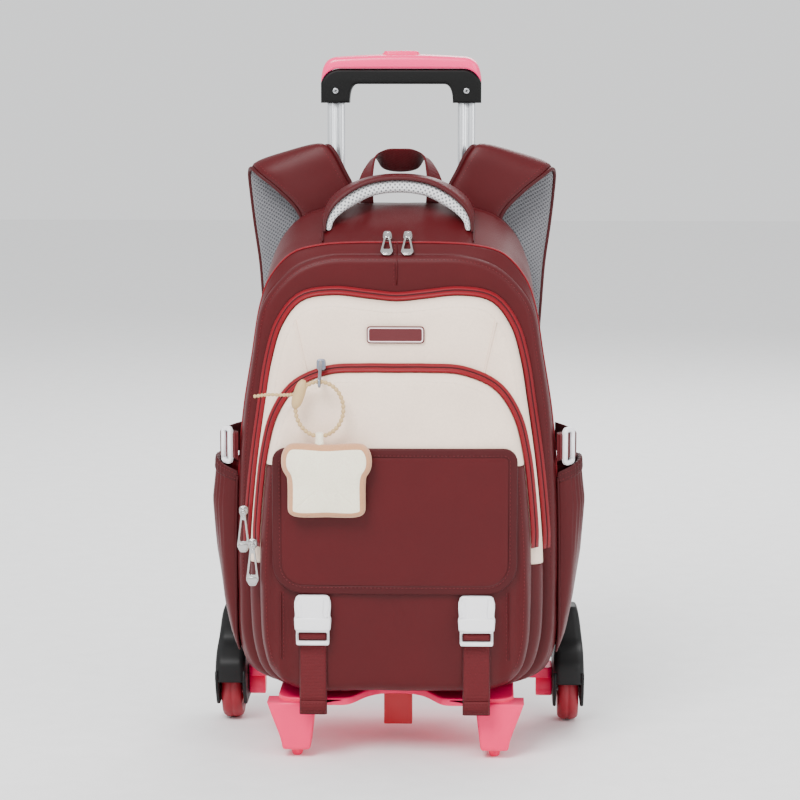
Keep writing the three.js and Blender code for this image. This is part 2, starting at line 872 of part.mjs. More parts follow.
/** Side of the bag's body at a height, the widest within a few millimetres of it. */
function bodySideAt(z, reach = 8) {
  const outlines = [rearOutline, zipOutline, seamOutline];
  const heights = [z - reach, z, z + reach];
  return Math.max(...outlines.flatMap((outline) => heights.map((at) => halfWidthAt(outline, at))));
}

/** The top gusset of the rear half: its height above the floor at a point. */
function gussetTopAt(x, y) {
  const share = THREE.MathUtils.clamp((y - zipPlaneY) / (crestY - zipPlaneY), 0, 1);
  return THREE.MathUtils.lerp(topAt(zipOutline, x), topAt(rearOutline, x), share);
}

/** A group whose pieces lie on the +X side, or mirrored on the -X side. */
function sideGroup(side) {
  const group = new THREE.Group();
  group.scale.x = side === "right" ? 1 : -1;
  root.add(group);
  return group;
}

/** A flat band in plan that follows points, as a shape. */
function bandShape(points, thick) {
  const at = points.map(([x, y]) => new THREE.Vector2(x, y));
  const across = at.map((_, i) => {
    const along = at[Math.min(i + 1, at.length - 1)].clone().sub(at[Math.max(i - 1, 0)]);
    return new THREE.Vector2(-along.y, along.x).normalize().multiplyScalar(thick / 2);
  });
  const left = at.map((p, i) => p.clone().add(across[i]));
  const right = at.map((p, i) => p.clone().sub(across[i])).reverse();
  return straightShape([...left, ...right].map(({ x, y }) => [x, y]));
}

/**
 * A strap through sections, each the segment from point a to point b across it.
 * It fills the thickness from low to high along the strap's normal; crown pads its middle.
 */
function strapThrough(sections, low, high, crown = 0) {
  const middles = sections.map(({ a, b }) => a.clone().add(b).multiplyScalar(0.5));
  const rings = sections.map(({ a, b }, i) => {
    const before = middles[Math.max(i - 1, 0)];
    const after = middles[Math.min(i + 1, middles.length - 1)];
    const along = after.clone().sub(before);
    const normal = along.cross(b.clone().sub(a)).normalize();
    const shifted = (p, by) => p.clone().addScaledVector(normal, by);
    const ring = [shifted(a, low), shifted(b, low), shifted(b, high), shifted(a, high)];
    if (!crown) return ring;
    const out = high + Math.sign(high) * crown;
    const inner = [a.clone().lerp(b, 0.2), a.clone().lerp(b, 0.8)];
    return [ring[0], ring[1], ring[2], shifted(inner[1], out), shifted(inner[0], out), ring[3]];
  });
  return loft(rings);
}

/** A side pocket, open at the top, gathered by the elastic in its rim. */
function makePouch(side) {
  const rows = [
    { up: 0, out: 0.1, narrow: 0.2 },
    { up: 0.1, out: 0.3, narrow: 0.05 },
    { up: 0.28, out: 0.6, narrow: 0 },
    { up: 0.55, out: 0.86, narrow: 0 },
    { up: 0.8, out: 1, narrow: 0 },
    { up: 0.9, out: 0.9, narrow: 0, folds: 0.7 },
    { up: 1, out: 0.88, narrow: 0, folds: 1 },
  ];
  const high = pouchTop - pouchBottom;
  const long = pouchBack - pouchFront;
  const steps = 2 * gathers;
  const ringAt = ({ up, out, narrow, folds = 0 }, skin) => {
    const z = pouchBottom + up * high + (up === 0 ? skin : 0);
    const near = bodySideAt(z) + seat + skin;
    const bulge = Math.max(out * pouchBulge - 2 * skin, 0.8);
    const front = pouchFront + narrow * long * 0.5 + skin;
    const back = pouchBack - narrow * long * 0.5 - skin;
    const ring = [];
    for (let i = 0; i <= steps; i++) {
      const angle = (i / steps) * Math.PI;
      const fold = i > 0 && i < steps ? folds * gatherDeep * (i % 2 ? 1 : -1) : 0;
      const x = near + (bulge + fold) * Math.sin(angle) ** 0.55;
      const y = (front + back) / 2 - ((back - front) / 2) * Math.cos(angle);
      ring.push(new THREE.Vector3(x, y, z + up ** 4 * rimLift * ((x - near) / pouchBulge)));
    }
    return ring;
  };
  const outer = rows.map((row) => ringAt(row, 0));
  const inner = [rows[0], rows[2], rows[4], rows[6]].map((row) => ringAt(row, pouchWall));
  const pouch = loft([...inner, ...outer.reverse()]);
  addPiece(`side_pocket_${side}`, pouch, maroonCloth, sideGroup(side));
}

/** The webbing over a side pocket and the plastic glide on it. */
function makeSideStrap(side) {
  const near = bodySideAt(sideWebZ, sideWebHigh / 2) + seat + sideWebThick / 2;
  const out = sideGlideWide * 0.9;
  const path = [
    [near, pouchFront - 4],
    [near + 1, pouchFront],
    [near + out, pouchFront + out + 2],
    [near + out * 0.75, pouchFront + 3 * out],
    [near, pouchBack - 8],
  ];
  const low = sideWebZ - sideWebHigh / 2;
  const band = floorPlate(bandShape(path, sideWebThick), low, low + sideWebHigh);
  const group = sideGroup(side);
  addPiece(`side_strap_${side}`, band, maroonCloth, group);
  const frame = roundedShape(sideGlideWide, sideGlideHigh, glideCorner);
  frame.holes.push(boxShape(sideGlideWide * 0.42, sideGlideHigh * 0.74));
  const glide = frontPlate(frame, -sideGlideThick, 0);
  const mesh = addPiece(`side_glide_${side}`, glide, whitePlastic, group);
  const [from, to] = [path[1], path[2]];
  const turn = Math.atan2(to[1] - from[1], to[0] - from[0]);
  const lift = sideWebThick / 2 + gap;
  mesh.rotation.z = turn;
  mesh.position.set(
    (from[0] + to[0]) / 2 + Math.sin(turn) * lift,
    (from[1] + to[1]) / 2 - Math.cos(turn) * lift,
    sideWebZ,
  );
}

/** The padded grab handle: mesh cloth inside its arch, maroon cloth outside. */
function makeGrabHandle() {
  const rows = [
    { out: 1, up: 0, full: 0.45 },
    { out: 0.985, up: 0.22, full: 0.62 },
    { out: 0.9, up: 0.46, full: 0.85 },
    { out: 0.72, up: 0.7, full: 1 },
    { out: 0.46, up: 0.9, full: 1 },
    { out: 0.22, up: 0.98, full: 1 },
    { out: 0, up: 1, full: 1 },
  ];
  const endZ = gussetTopAt(grabHalf - grabMeshHigh * rows[0].full, grabEndY) + gap;
  const rise = gussetTopAt(grabHalf, crestY) - gussetTopAt(grabHalf, zipPlaneY);
  const slope = Math.atan2(rise, crestY - zipPlaneY);
  const right = rows.map(({ out, up, full }) => ({
    at: new THREE.Vector3(out * grabHalf, grabEndY + grabLean * up, endZ + up * grabRise),
    tilt: slope * (1 - up),
    full,
  }));
  const left = right.slice(0, -1).map(({ at, tilt, full }) => ({
    at: new THREE.Vector3(-at.x, at.y, at.z),
    tilt,
    full,
  }));
  const line = [...left, ...right.slice().reverse()];
  const layer = (low, high, deep, round) =>
    line.map(({ at, tilt, full }, i) => {
      const before = line[Math.max(i - 1, 0)].at;
      const after = line[Math.min(i + 1, line.length - 1)].at;
      const end = i === 0 || i === line.length - 1;
      const normal = end
        ? new THREE.Vector3(i ? 1 : -1, 0, 0)
        : new THREE.Vector3(-(after.z - before.z), 0, after.x - before.x).normalize();
      const across = new THREE.Vector3(0, Math.cos(tilt), Math.sin(tilt));
      const half = deep / 2;
      const corner = (n, d) =>
        at.clone().addScaledVector(normal, n * full).addScaledVector(across, d * half);
      return round
        ? [
            corner(high, -0.9), corner(high, 0.9), corner(low * 0.5, 1),
            corner(low, 0.6), corner(low, -0.6), corner(low * 0.5, -1),
          ]
        : [
            corner(high * 0.6, -1), corner(low, -0.95), corner(low, 0.95),
            corner(high * 0.6, 1), corner(high, 0),
          ];
    });
  const mesh = loft(layer(-grabMeshHigh, -gap / 2, grabMeshDeep, true));
  const top = loft(layer(gap / 2, grabTopHigh, grabTopDeep, false));
  addPiece("grab_handle_mesh", mesh, meshCloth);
  addPiece("grab_handle_top", top, maroonCloth);
}

/** The webbing loop: its legs twist so that the front edge of the band is the upper one at the top. */
function makeWebbingLoop() {
  const rows = [
    { near: 0.52, nearUp: 0, far: 1, farUp: 0 },
    { near: 0.54, nearUp: 0.28, far: 0.87, farUp: 0.3 },
    { near: 0.53, nearUp: 0.56, far: 0.72, farUp: 0.6 },
    { near: 0.46, nearUp: 0.86, far: 0.5, farUp: 0.8 },
    { near: 0.28, nearUp: 0.98, far: 0.34, farUp: 0.62 },
    { near: 0, nearUp: 1, far: 0, farUp: 0.56 },
  ];
  const baseZ = topAt(rearOutline, rows[0].near * loopBaseHalf) + seat;
  const point = (out, y, up, side) => new THREE.Vector3(side * out * loopBaseHalf, y, baseZ + up * loopRise);
  const section = (side) => ({ near, nearUp, far, farUp }) => ({
    a: point(near, loopFrontY, nearUp, side),
    b: point(far, loopBackY, farUp, side),
  });
  const left = rows.slice(0, -1).map(section(-1));
  const right = rows.map(section(1)).reverse();
  addPiece("webbing_loop", strapThrough([...left, ...right], -loopThick / 2, loopThick / 2), maroonCloth);
}

/** A shoulder strap: up from the back panel, over its crest outside the tube, and down behind the bag. */
function makeShoulderStrap(side) {
  const rows = [
    { in: 0.27, inUp: 0.747, out: 0.614, outUp: 0.698, inBack: 0, outBack: 0 },
    { in: 0.3, inUp: 0.849, out: 0.664, outUp: 0.789, inBack: 0, outBack: 0 },
    { in: 0.371, inUp: 0.923, out: 0.8, outUp: 0.86, inBack: 0, outBack: 0.04 },
    { in: 0.43, inUp: 0.979, out: 0.93, outUp: 0.909, inBack: 0, outBack: 0.18 },
    { in: 0.471, inUp: 1, out: 0.98, outUp: 0.926, inBack: 0.07, outBack: 0.43 },
    { in: 0.521, inUp: 0.986, out: 1, outUp: 0.912, inBack: 0.32, outBack: 0.68 },
    { in: 0.543, inUp: 0.923, out: 0.993, outUp: 0.846, inBack: 0.54, outBack: 0.875 },
    { in: 0.55, inUp: 0.825, out: 0.971, outUp: 0.747, inBack: 0.65, outBack: 0.96 },
    { in: 0.55, inUp: 0.684, out: 0.936, outUp: 0.621, inBack: 0.68, outBack: 0.99 },
    { in: 0.543, inUp: 0.509, out: 0.914, outUp: 0.481, inBack: 0.65, outBack: 0.93 },
    { in: 0.543, inUp: 0.298, out: 0.886, outUp: 0.291, inBack: 0.57, outBack: 0.79 },
    { in: 0.571, inUp: 0.105, out: 0.85, outUp: 0.105, inBack: 0.46, outBack: 0.63 },
    { in: 0.621, inUp: 0, out: 0.8, outUp: 0, inBack: 0.4, outBack: 0.51 },
  ];
  const rootY = backFace(0, strapRootZ) + gap + strapThick + strapCrown;
  const high = strapCrest - strapEndZ;
  const point = (out, back, up) =>
    new THREE.Vector3(out * strapReach, rootY + back * strapBack, strapEndZ + up * high);
  const sections = rows.map((row) => ({
    a: point(row.in, row.inBack, row.inUp),
    b: point(row.out, row.outBack, row.outUp),
  }));
  const group = sideGroup(side);
  const outer = strapThrough(sections, -gap / 2, -strapThick, strapCrown);
  const inner = strapThrough(sections, gap / 2, strapThick, strapCrown);
  addPiece(`strap_outer_${side}`, outer, maroonCloth, group);
  addPiece(`strap_mesh_${side}`, inner, meshCloth, group);

  const last = sections[sections.length - 1];
  const middle = (last.a.x + last.b.x) / 2;
  const webY = (last.a.y + last.b.y) / 2;
  const footY = backFace(middle, strapWebEndZ) + gap + strapWebThick;
  const webRows = [
    { down: 0, back: 1 },
    { down: 0.3, back: 1 },
    { down: 0.65, back: 0.4 },
    { down: 0.9, back: 0.06 },
    { down: 1, back: 0 },
  ];
  const webTop = strapEndZ - seat;
  const webbing = webRows.map(({ down, back }) => {
    const z = webTop - down * (webTop - strapWebEndZ);
    const y = footY + back * (webY - footY);
    const half = strapWebWide / 2;
    return { a: new THREE.Vector3(middle - half, y, z), b: new THREE.Vector3(middle + half, y, z) };
  });
  const band = strapThrough(webbing, -strapWebThick / 2, strapWebThick / 2);
  addPiece(`strap_webbing_${side}`, band, maroonCloth, group);

  const frame = roundedShape(adjusterWide, adjusterHigh, adjusterCorner);
  for (const rung of [-1, 1]) {
    frame.holes.push(boxShape(strapWebWide + 1, adjusterHigh * 0.24, 0, (rung * adjusterHigh) / 4.6));
  }
  const adjuster = frontPlate(frame, 0, adjusterThick);
  adjuster.translate(middle, webY + strapWebThick / 2 + gap, strapEndZ - adjusterHigh);
  addPiece(`strap_adjuster_${side}`, adjuster, blackPlastic, group);
}

/** A side release buckle, fastened, and the webbing that hangs from its ladder. */
function makeFlapBuckle(side) {
  const half = buckleWide / 2;
  const top = flapTop - flapHigh - gap;
  const outline = [
    { out: 0.6, down: 0 },
    { out: 0.86, down: 0.03 },
    { out: 0.98, down: 0.2 },
    { out: 0.94, down: 0.42 },
    { out: 1, down: 0.46 },
    { out: 0.98, down: 0.66 },
    { out: 0.9, down: 0.7 },
    { out: 0.9, down: 0.97 },
    { out: 0.84, down: 1 },
  ];
  const edge = (sign) => outline.map(({ out, down }) => [sign * out * half, top - down * buckleHigh]);
  const shape = straightShape([...edge(1), ...edge(-1).reverse()]);
  const windowZ = top - 0.83 * buckleHigh;
  shape.holes.push(boxShape(tailWide + 1, buckleHigh * 0.18, 0, windowZ));
  const face = smallFace(buckleX, top - buckleHigh / 2) - seat;
  const buckleBack = face - tailThick - gap;
  const buckle = frontPlate(shape, buckleBack - buckleThick, buckleBack, 0.6);
  buckle.translate(buckleX, 0, 0);
  const group = sideGroup(side);
  addPiece(`flap_buckle_${side}`, buckle, whitePlastic, group);
  const tail = block(
    buckleX - tailWide / 2, buckleX + tailWide / 2,
    face - tailThick, face,
    tailEndZ, windowZ + buckleHigh * 0.1,
  );
  addPiece(`flap_tail_${side}`, tail, maroonCloth, group);
}

/** A zip slider with its pull, hanging from the origin towards -Z, its face towards -Y. */
function pullGeometry(long) {
  const half = pullWide / 2;
  const outline = [
    { out: 0.36, down: 0 },
    { out: 0.5, down: 0.12 },
    { out: 0.9, down: 0.72 },
    { out: 1, down: 0.84 },
    { out: 0.45, down: 0.97 },
    { out: 0, down: 1 },
  ];
  const right = outline.map(({ out, down }) => [out * half, -down * long]);
  const left = outline.slice(0, -1).map(({ out, down }) => [-out * half, -down * long]);
  const shape = straightShape([...right, ...left.reverse()]);
  const window = [
    [0.16 * half, -0.16 * long],
    [0.9 * half - pullRim, -0.7 * long],
    [-0.9 * half + pullRim, -0.7 * long],
    [-0.16 * half, -0.16 * long],
  ];
  shape.holes.push(new THREE.Path(window.map(([x, y]) => new THREE.Vector2(x, y))));
  const plate = frontPlate(shape, -pullThick, 0);
  const body = block(
    -sliderWide / 2, sliderWide / 2,
    -pullThick * 0.6, sliderDeep,
    -sliderHigh * 0.4, sliderHigh * 0.6,
  );
  return carve([plate, body]);
}

/** Hangs a zip pull at a point, turned about X so that it leans on what is below it. */
function hangPull(name, long, x, y, z, lean = 0) {
  const mesh = addPiece(name, pullGeometry(long), steel);
  mesh.position.set(x, y, z);
  mesh.rotation.x = lean;
}

/** The four zip pulls of the bag. */
function makeZipPulls() {
  const topZ = topAt(zipOutline, 0) + sliderDeep + pullLift;
  const topY = zipPlaneY - sliderDeep / 2;
  for (const [side, at] of [["left", -1], ["right", 1]]) {
    hangPull(`main_pull_${side}`, pullLong, at * pullPairHalf, topY, topZ, -pullLean);
  }
  const sides = [
    { name: "big_pull", outline: bigOutline, panel: frontFace, z: bigPullZ },
    { name: "small_pull", outline: smallOutline, panel: bigFace, z: smallPullZ },
  ];
  for (const { name, outline, panel, z } of sides) {
    const beside = Math.max(halfWidthAt(outline, z), halfWidthAt(outline, z - sidePullLong));
    const x = -(beside + pullWide / 2 + seat);
    const tape = panel(x, z) - gap - coveThick - coveWide * 0.72;
    hangPull(name, sidePullLong, x, tape - gap - sliderDeep, z);
  }
}

/** A round bar bent along a closed ellipse in the plane of x and z. */
function ellipseBar(middle, halfWide, halfHigh, radius, steps, sides) {
  const rings = [];
  for (let i = 0; i < steps; i++) {
    const angle = (i / steps) * 2 * Math.PI;
    const out = new THREE.Vector3(halfHigh * Math.cos(angle), 0, halfWide * Math.sin(angle)).normalize();
    const offset = new THREE.Vector3(halfWide * Math.cos(angle), 0, halfHigh * Math.sin(angle));
    const centre = offset.add(middle);
    const ring = [];
    for (let k = 0; k < sides; k++) {
      const turn = (k / sides) * 2 * Math.PI;
      const point = centre.clone().addScaledVector(out, radius * Math.cos(turn));
      ring.push(point.add(new THREE.Vector3(0, radius * Math.sin(turn), 0)));
    }
    rings.push(ring);
  }
  return loft(rings, { joined: true });
}

/** The charm: a plush slice of bread on a plastic tie that hangs from the small zip's slider. */
function makeCharm() {
  const tieRadius = tieThick / 2;
  const flapFront = smallFace(0, smallBottom + smallHeight / 2) - seat - flapThick;
  const charmBack = flapFront - gap;
  const tieY = charmBack - charmThick / 2 + 2;
  const tieZ = charmBottom + charmHigh + charmTab + charmLoopHigh - tieThick;
  const loopAt = { x: charmLoopX, y: tieY, z: tieZ };
  const tie = (radius) => ellipseBar(loopAt, charmLoopWide, charmLoopHigh, radius, 24, 6);
  const room = tie(tieRadius + gap);
  addPiece("charm_tie", tie(tieRadius), tiePlastic);

  const half = charmWide / 2;
  const outline = new THREE.Shape();
  const at = (out, up) => new THREE.Vector2(charmX + out * half, charmBottom + up * charmHigh);
  outline.moveTo(...at(0, 0));
  outline.bezierCurveTo(...at(0.5, -0.01), ...at(0.86, -0.04), ...at(0.86, 0.12));
  outline.bezierCurveTo(...at(0.86, 0.3), ...at(0.84, 0.5), ...at(0.9, 0.56));
  outline.bezierCurveTo(...at(1.08, 0.68), ...at(1.02, 1), ...at(0.7, 1));
  outline.bezierCurveTo(...at(0.4, 1), ...at(0.2, 0.98), ...at(0, 0.98));
  outline.bezierCurveTo(...at(-0.2, 0.98), ...at(-0.4, 1), ...at(-0.7, 1));
  outline.bezierCurveTo(...at(-1.02, 1), ...at(-1.08, 0.68), ...at(-0.9, 0.56));
  outline.bezierCurveTo(...at(-0.84, 0.5), ...at(-0.86, 0.3), ...at(-0.86, 0.12));
  outline.bezierCurveTo(...at(-0.86, -0.04), ...at(-0.5, -0.01), ...at(0, 0));
  const slice = frontPlate(outline, charmBack - charmThick, charmBack, charmEdge, 3);
  const tabLow = charmBottom + charmHigh;
  const tab = block(
    charmLoopX - charmTabHalf, charmLoopX + charmTabHalf,
    tieY - charmTabHalf, tieY + charmTabHalf,
    tabLow - charmEdge, tabLow + charmTab + tieThick / 2,
  );
  addPiece("charm_bread", carve([slice, tab], [room]), plushCloth);

  const lockAngle = lockTurn * (Math.PI / 180);
  const lock = new THREE.SphereGeometry(1, 8, 6).scale(lockWide / 2, lockWide / 2, lockHigh / 2);
  const lockX = charmLoopX + charmLoopWide * Math.cos(lockAngle);
  const lockZ = tieZ + charmLoopHigh * Math.sin(lockAngle);
  lock.rotateY(Math.PI / 10).translate(lockX, tieY, lockZ);
  const tailFrom = lockX - lockWide / 2 - charmTail;
  const tail = barAlongX(tieRadius * 0.85, tailFrom, lockX - tieThick, tieY, lockZ, 6);
  addPiece("charm_lock", carve([lock, tail], [room]), tiePlastic);

  const slideZ = topAt(smallOutline, charmLoopX) + coveWide + sliderHigh / 2;
  const slideY = bigFace(charmLoopX, slideZ) - gap - coveWide;
  const body = block(
    charmLoopX - sliderWide / 2, charmLoopX + sliderWide / 2,
    slideY - sliderDeep, slideY,
    slideZ - sliderHigh / 2, slideZ + sliderHigh / 2,
  );
  const eyeZ = tieZ + charmLoopHigh;
  const reach = pullWide / 2;
  const side = new THREE.Shape([
    new THREE.Vector2(slideY - 1, slideZ + sliderHigh / 2 - 1),
    new THREE.Vector2(slideY - 1, slideZ - sliderHigh / 2 + 1),
    new THREE.Vector2(tieY, eyeZ - reach * 0.75),
    new THREE.Vector2(tieY - reach * 0.8, eyeZ - reach * 0.4),
    new THREE.Vector2(tieY - reach * 0.8, eyeZ + reach * 0.5),
    new THREE.Vector2(tieY, eyeZ + reach * 0.9),
  ]);
  const eye = sidePlate(side, charmLoopX - pullThick / 2, charmLoopX + pullThick / 2);
  addPiece("charm_slider", carve([body, eye], [room]), steel);
}

/** A shape drawn in Y and Z, between two places along X. */
function sidePlate(shape, x0, x1) {
  const plate = new THREE.ExtrudeGeometry(shape, { depth: x1 - x0, bevelEnabled: false, curveSegments: 5 });
  const axes = new THREE.Matrix4().makeBasis(
    new THREE.Vector3(0, 1, 0),
    new THREE.Vector3(0, 0, 1),
    new THREE.Vector3(1, 0, 0),
  );
  return plate.applyMatrix4(axes).translate(x0, 0, 0);
}

/** The pink base: plate under the bag, two front feet, arms to the wheels. */
function makeBaseFrame() {
  const top = baseTop;
  const low = top - baseThick;
  const backReach = tubeY + outerTubeDeep / 2 + shelfBehind;
  const trayMiddle = (backY + baseFront) / 2;
  const trayShape = roundedShape(2 * baseHalf, backY - baseFront, trayCorner, 0, trayMiddle);
  const tray = floorPlate(trayShape, low, top, 0, 3);
  const shelfHalf = tubeHalfSpan + shelfBeside;
  const shelf = block(-shelfHalf, shelfHalf, backY - shelfAhead, backReach, low, top);
  const joined = [tray, shelf];
  const cuts = [];
  for (const side of [-1, 1]) {
    const foot = straightShape([
      [side * (footX - footWide / 2), nubHigh],
      [side * (footX + footWide / 2), nubHigh],
      [side * (footX + footTopWide * 0.6), low + baseThick / 2],
      [side * (footX - footTopWide * 0.4), low + baseThick / 2],
    ]);
    joined.push(frontPlate(foot, footY - footDeep / 2, footY + footDeep / 2));
    const nub = new THREE.CylinderGeometry(nubRadius, nubRadius, nubHigh + 2, 10);
    joined.push(nub.rotateX(Math.PI / 2).translate(side * footX, footY, nubHigh / 2 + 1));
    const inner = baseHalf - armRoot;
    const outer = wheelX - tyreWide / 2 - wheelGap / 2 - fenderCheek - gap;
    const arm = [side * inner, side * outer].sort((a, b) => a - b);
    joined.push(block(arm[0], arm[1], wheelY - armHalfDeep, wheelY + armHalfDeep, low - armDrop, top - 1));
    const boss = [side * (outer - bossLong), side * outer].sort((a, b) => a - b);
    const bossLow = wheelRadius - bossUnder;
    joined.push(block(boss[0], boss[1], wheelY - bossHalfDeep, wheelY + bossHalfDeep, bossLow, low));
    cuts.push(barAlongX(axleRadius + gap, boss[0] - 1, boss[1] + 1, wheelY, wheelRadius));
  }
  const skirt = new THREE.Shape();
  const inside = footX - footTopWide * 0.3;
  skirt.moveTo(-inside, top);
  skirt.lineTo(-inside, low - skirtDrop);
  skirt.quadraticCurveTo(-inside * 0.6, low, 0, low);
  skirt.quadraticCurveTo(inside * 0.6, low, inside, low - skirtDrop);
  skirt.lineTo(inside, top);
  joined.push(frontPlate(skirt, baseFront, baseFront + skirtThick));
  addPiece("base_frame", carve(joined, cuts), pinkPlastic);

  const channel = straightShape([
    [-stopHalf, stopY - stopHalfDeep],
    [stopHalf, stopY - stopHalfDeep],
    [stopHalf, stopY + stopHalfDeep],
    [stopHalf - stopWall, stopY + stopHalfDeep],
    [stopHalf - stopWall, stopY - stopHalfDeep + stopWall],
    [-stopHalf + stopWall, stopY - stopHalfDeep + stopWall],
    [-stopHalf + stopWall, stopY + stopHalfDeep],
    [-stopHalf, stopY + stopHalfDeep],
  ]);
  addPiece("centre_stop", floorPlate(channel, stopZ, low - gap), redPlastic);
}

/** A body turned about the X axis from a closed profile of radius and place along X. */
function turnedAlongX(profile, segments = 20) {
  const points = [...profile, profile[0]].map(({ radius, at }) => new THREE.Vector2(radius, at));
  const merged = bare(new THREE.LatheGeometry(points, segments).rotateZ(-Math.PI / 2));
  const index = Array.from(merged.index.array);
  if (signedVolume(Array.from(merged.getAttribute("position").array), index) < 0) index.reverse();
  merged.setIndex(index);
  return merged;
}

/** Wheel, axle and housing of one side. */
function makeWheel(side) {
  const group = sideGroup(side);
  const half = tyreWide / 2;
  const tyreInner = wheelRadius - tyreDeep;
  const tyre = turnedAlongX([
    { radius: tyreInner, at: -half * 0.8 },
    { radius: wheelRadius * 0.86, at: -half },
    { radius: wheelRadius * 0.95, at: -half * 0.72 },
    { radius: wheelRadius, at: -half * 0.3 },
    { radius: wheelRadius, at: half * 0.3 },
    { radius: wheelRadius * 0.95, at: half * 0.72 },
    { radius: wheelRadius * 0.86, at: half },
    { radius: tyreInner, at: half * 0.8 },
  ]);
  addPiece(`tyre_${side}`, tyre.translate(wheelX, wheelY, wheelRadius), redRubber, group);
  const bore = axleRadius + gap;
  const hub = turnedAlongX([
    { radius: bore, at: -hubWide / 2 },
    { radius: bore * 2, at: -hubWide / 2 },
    { radius: tyreInner - 3, at: -hubWide * 0.25 },
    { radius: tyreInner - gap, at: -half * 0.75 },
    { radius: tyreInner - gap, at: half * 0.75 },
    { radius: tyreInner - 3, at: hubWide * 0.25 },
    { radius: bore * 2, at: hubWide / 2 },
    { radius: bore, at: hubWide / 2 },
  ], 14);
  addPiece(`hub_${side}`, hub.translate(wheelX, wheelY, wheelRadius), redPlastic, group);

  const inside = wheelX - half - wheelGap / 2;
  const outside = wheelX + half + wheelGap / 2;
  const outerFace = outside + fenderCheek;
  const axle = barAlongX(axleRadius, inside - fenderCheek - 14, outerFace + 1, wheelY, wheelRadius, 10);
  addPiece(`axle_${side}`, axle, steel, group);

  const rows = [
    { z: fenderCheekZ, in: 0, out: 0, front: 0.6, back: 0.6 },
    { z: wheelRadius, in: 0, out: 0, front: 0.85, back: 0.85 },
    { z: fenderLip + 4, in: 0, out: 0.5, front: 1, back: 1 },
    { z: wheelRadius * 2.1, in: 0, out: 0, front: 0.95, back: 0.95 },
    { z: wheelRadius * 2.5, in: 3.4, out: -1.2, front: 0.31, back: 0.75 },
    { z: fenderTop * 0.88, in: 3.6, out: -3.5, front: 0.31, back: 0.6 },
    { z: fenderTop, in: 5, out: -7, front: 0.22, back: 0.42 },
  ];
  const corner = 0.25;
  const rings = rows.map(({ z, in: shrinkIn, out, front, back }) => {
    const x0 = inside - fenderCheek + shrinkIn;
    const x1 = outerFace + out;
    const y0 = wheelY - front * fenderHalfDeep;
    const y1 = wheelY + back * fenderHalfDeep;
    const cx = (x1 - x0) * corner;
    const cy = cx;
    return [
      [x0, y0], [x1 - cx, y0], [x1, y0 + cy],
      [x1, y1 - cy], [x1 - cx, y1], [x0, y1],
    ].map(([x, y]) => new THREE.Vector3(x, y, z));
  });
  const wheelRoom = barAlongX(wheelRadius + 2 * wheelGap, inside, outside, wheelY, wheelRadius, 20);
  const reach = 2 * fenderHalfDeep;
  const mouth = block(inside, outside, wheelY - reach, wheelY + reach, 0, fenderLip);
  const bearingFrom = inside - 2 * fenderCheek;
  const bearing = barAlongX(axleRadius + gap, bearingFrom, outerFace + 2, wheelY, wheelRadius, 10);
  addPiece(`fender_${side}`, carve([loft(rings)], [wheelRoom, mouth, bearing]), blackPlastic, group);
}

/** The fixed tubes, the sliding tubes and the bracket. */
function makeTubes() {
  const foot = baseTop + gap;
  for (const [side, sign] of [["left", -1], ["right", 1]]) {
    const x = sign * tubeHalfSpan;
    const outer = roundedShape(outerTubeWide, outerTubeDeep, tubeCorner, x, tubeY);
    const bore = { wide: outerTubeWide - 2 * tubeWall, deep: outerTubeDeep - 2 * tubeWall };
    outer.holes.push(roundedShape(bore.wide, bore.deep, tubeCorner - 1, x, tubeY));
    addPiece(`outer_tube_${side}`, floorPlate(outer, foot, outerTubeTop, 0, 2), aluminium);
    const top = socketBottom + socketDepth - gap;
    const half = innerTubeDeep / 2;
    const low = top - innerTubeLong;
    const bar = floorPlate(roundedShape(innerTubeWide, innerTubeDeep, tubeCorner - 2, x, tubeY), low, top);
    const cuts = [-1, 1].map((face) => {
      const ys = [tubeY + face * (half - grooveDeep), tubeY + face * (half + 1)].sort((a, b) => a - b);
      return block(x - grooveWide / 2, x + grooveWide / 2, ys[0], ys[1], low - 1, socketBottom);
    });
    addPiece(`inner_tube_${side}`, carve([bar], cuts), aluminium);
  }
  const half = tubeHalfSpan + outerTubeWide / 2 + bracketWall;
  const front = backFace(0, bracketZ) + gap;
  const back = tubeY + outerTubeDeep / 2 + bracketWall;
  const shape = roundedShape(2 * half, back - front, bracketCorner, 0, (front + back) / 2);
  for (const sign of [-1, 1]) {
    const wide = outerTubeWide + 2 * gap;
    const deep = outerTubeDeep + 2 * gap;
    shape.holes.push(roundedShape(wide, deep, tubeCorner, sign * tubeHalfSpan, tubeY));
  }
  addPiece("tube_bracket", floorPlate(shape, bracketZ, bracketZ + bracketHigh, 0, 2), blackPlastic);
}

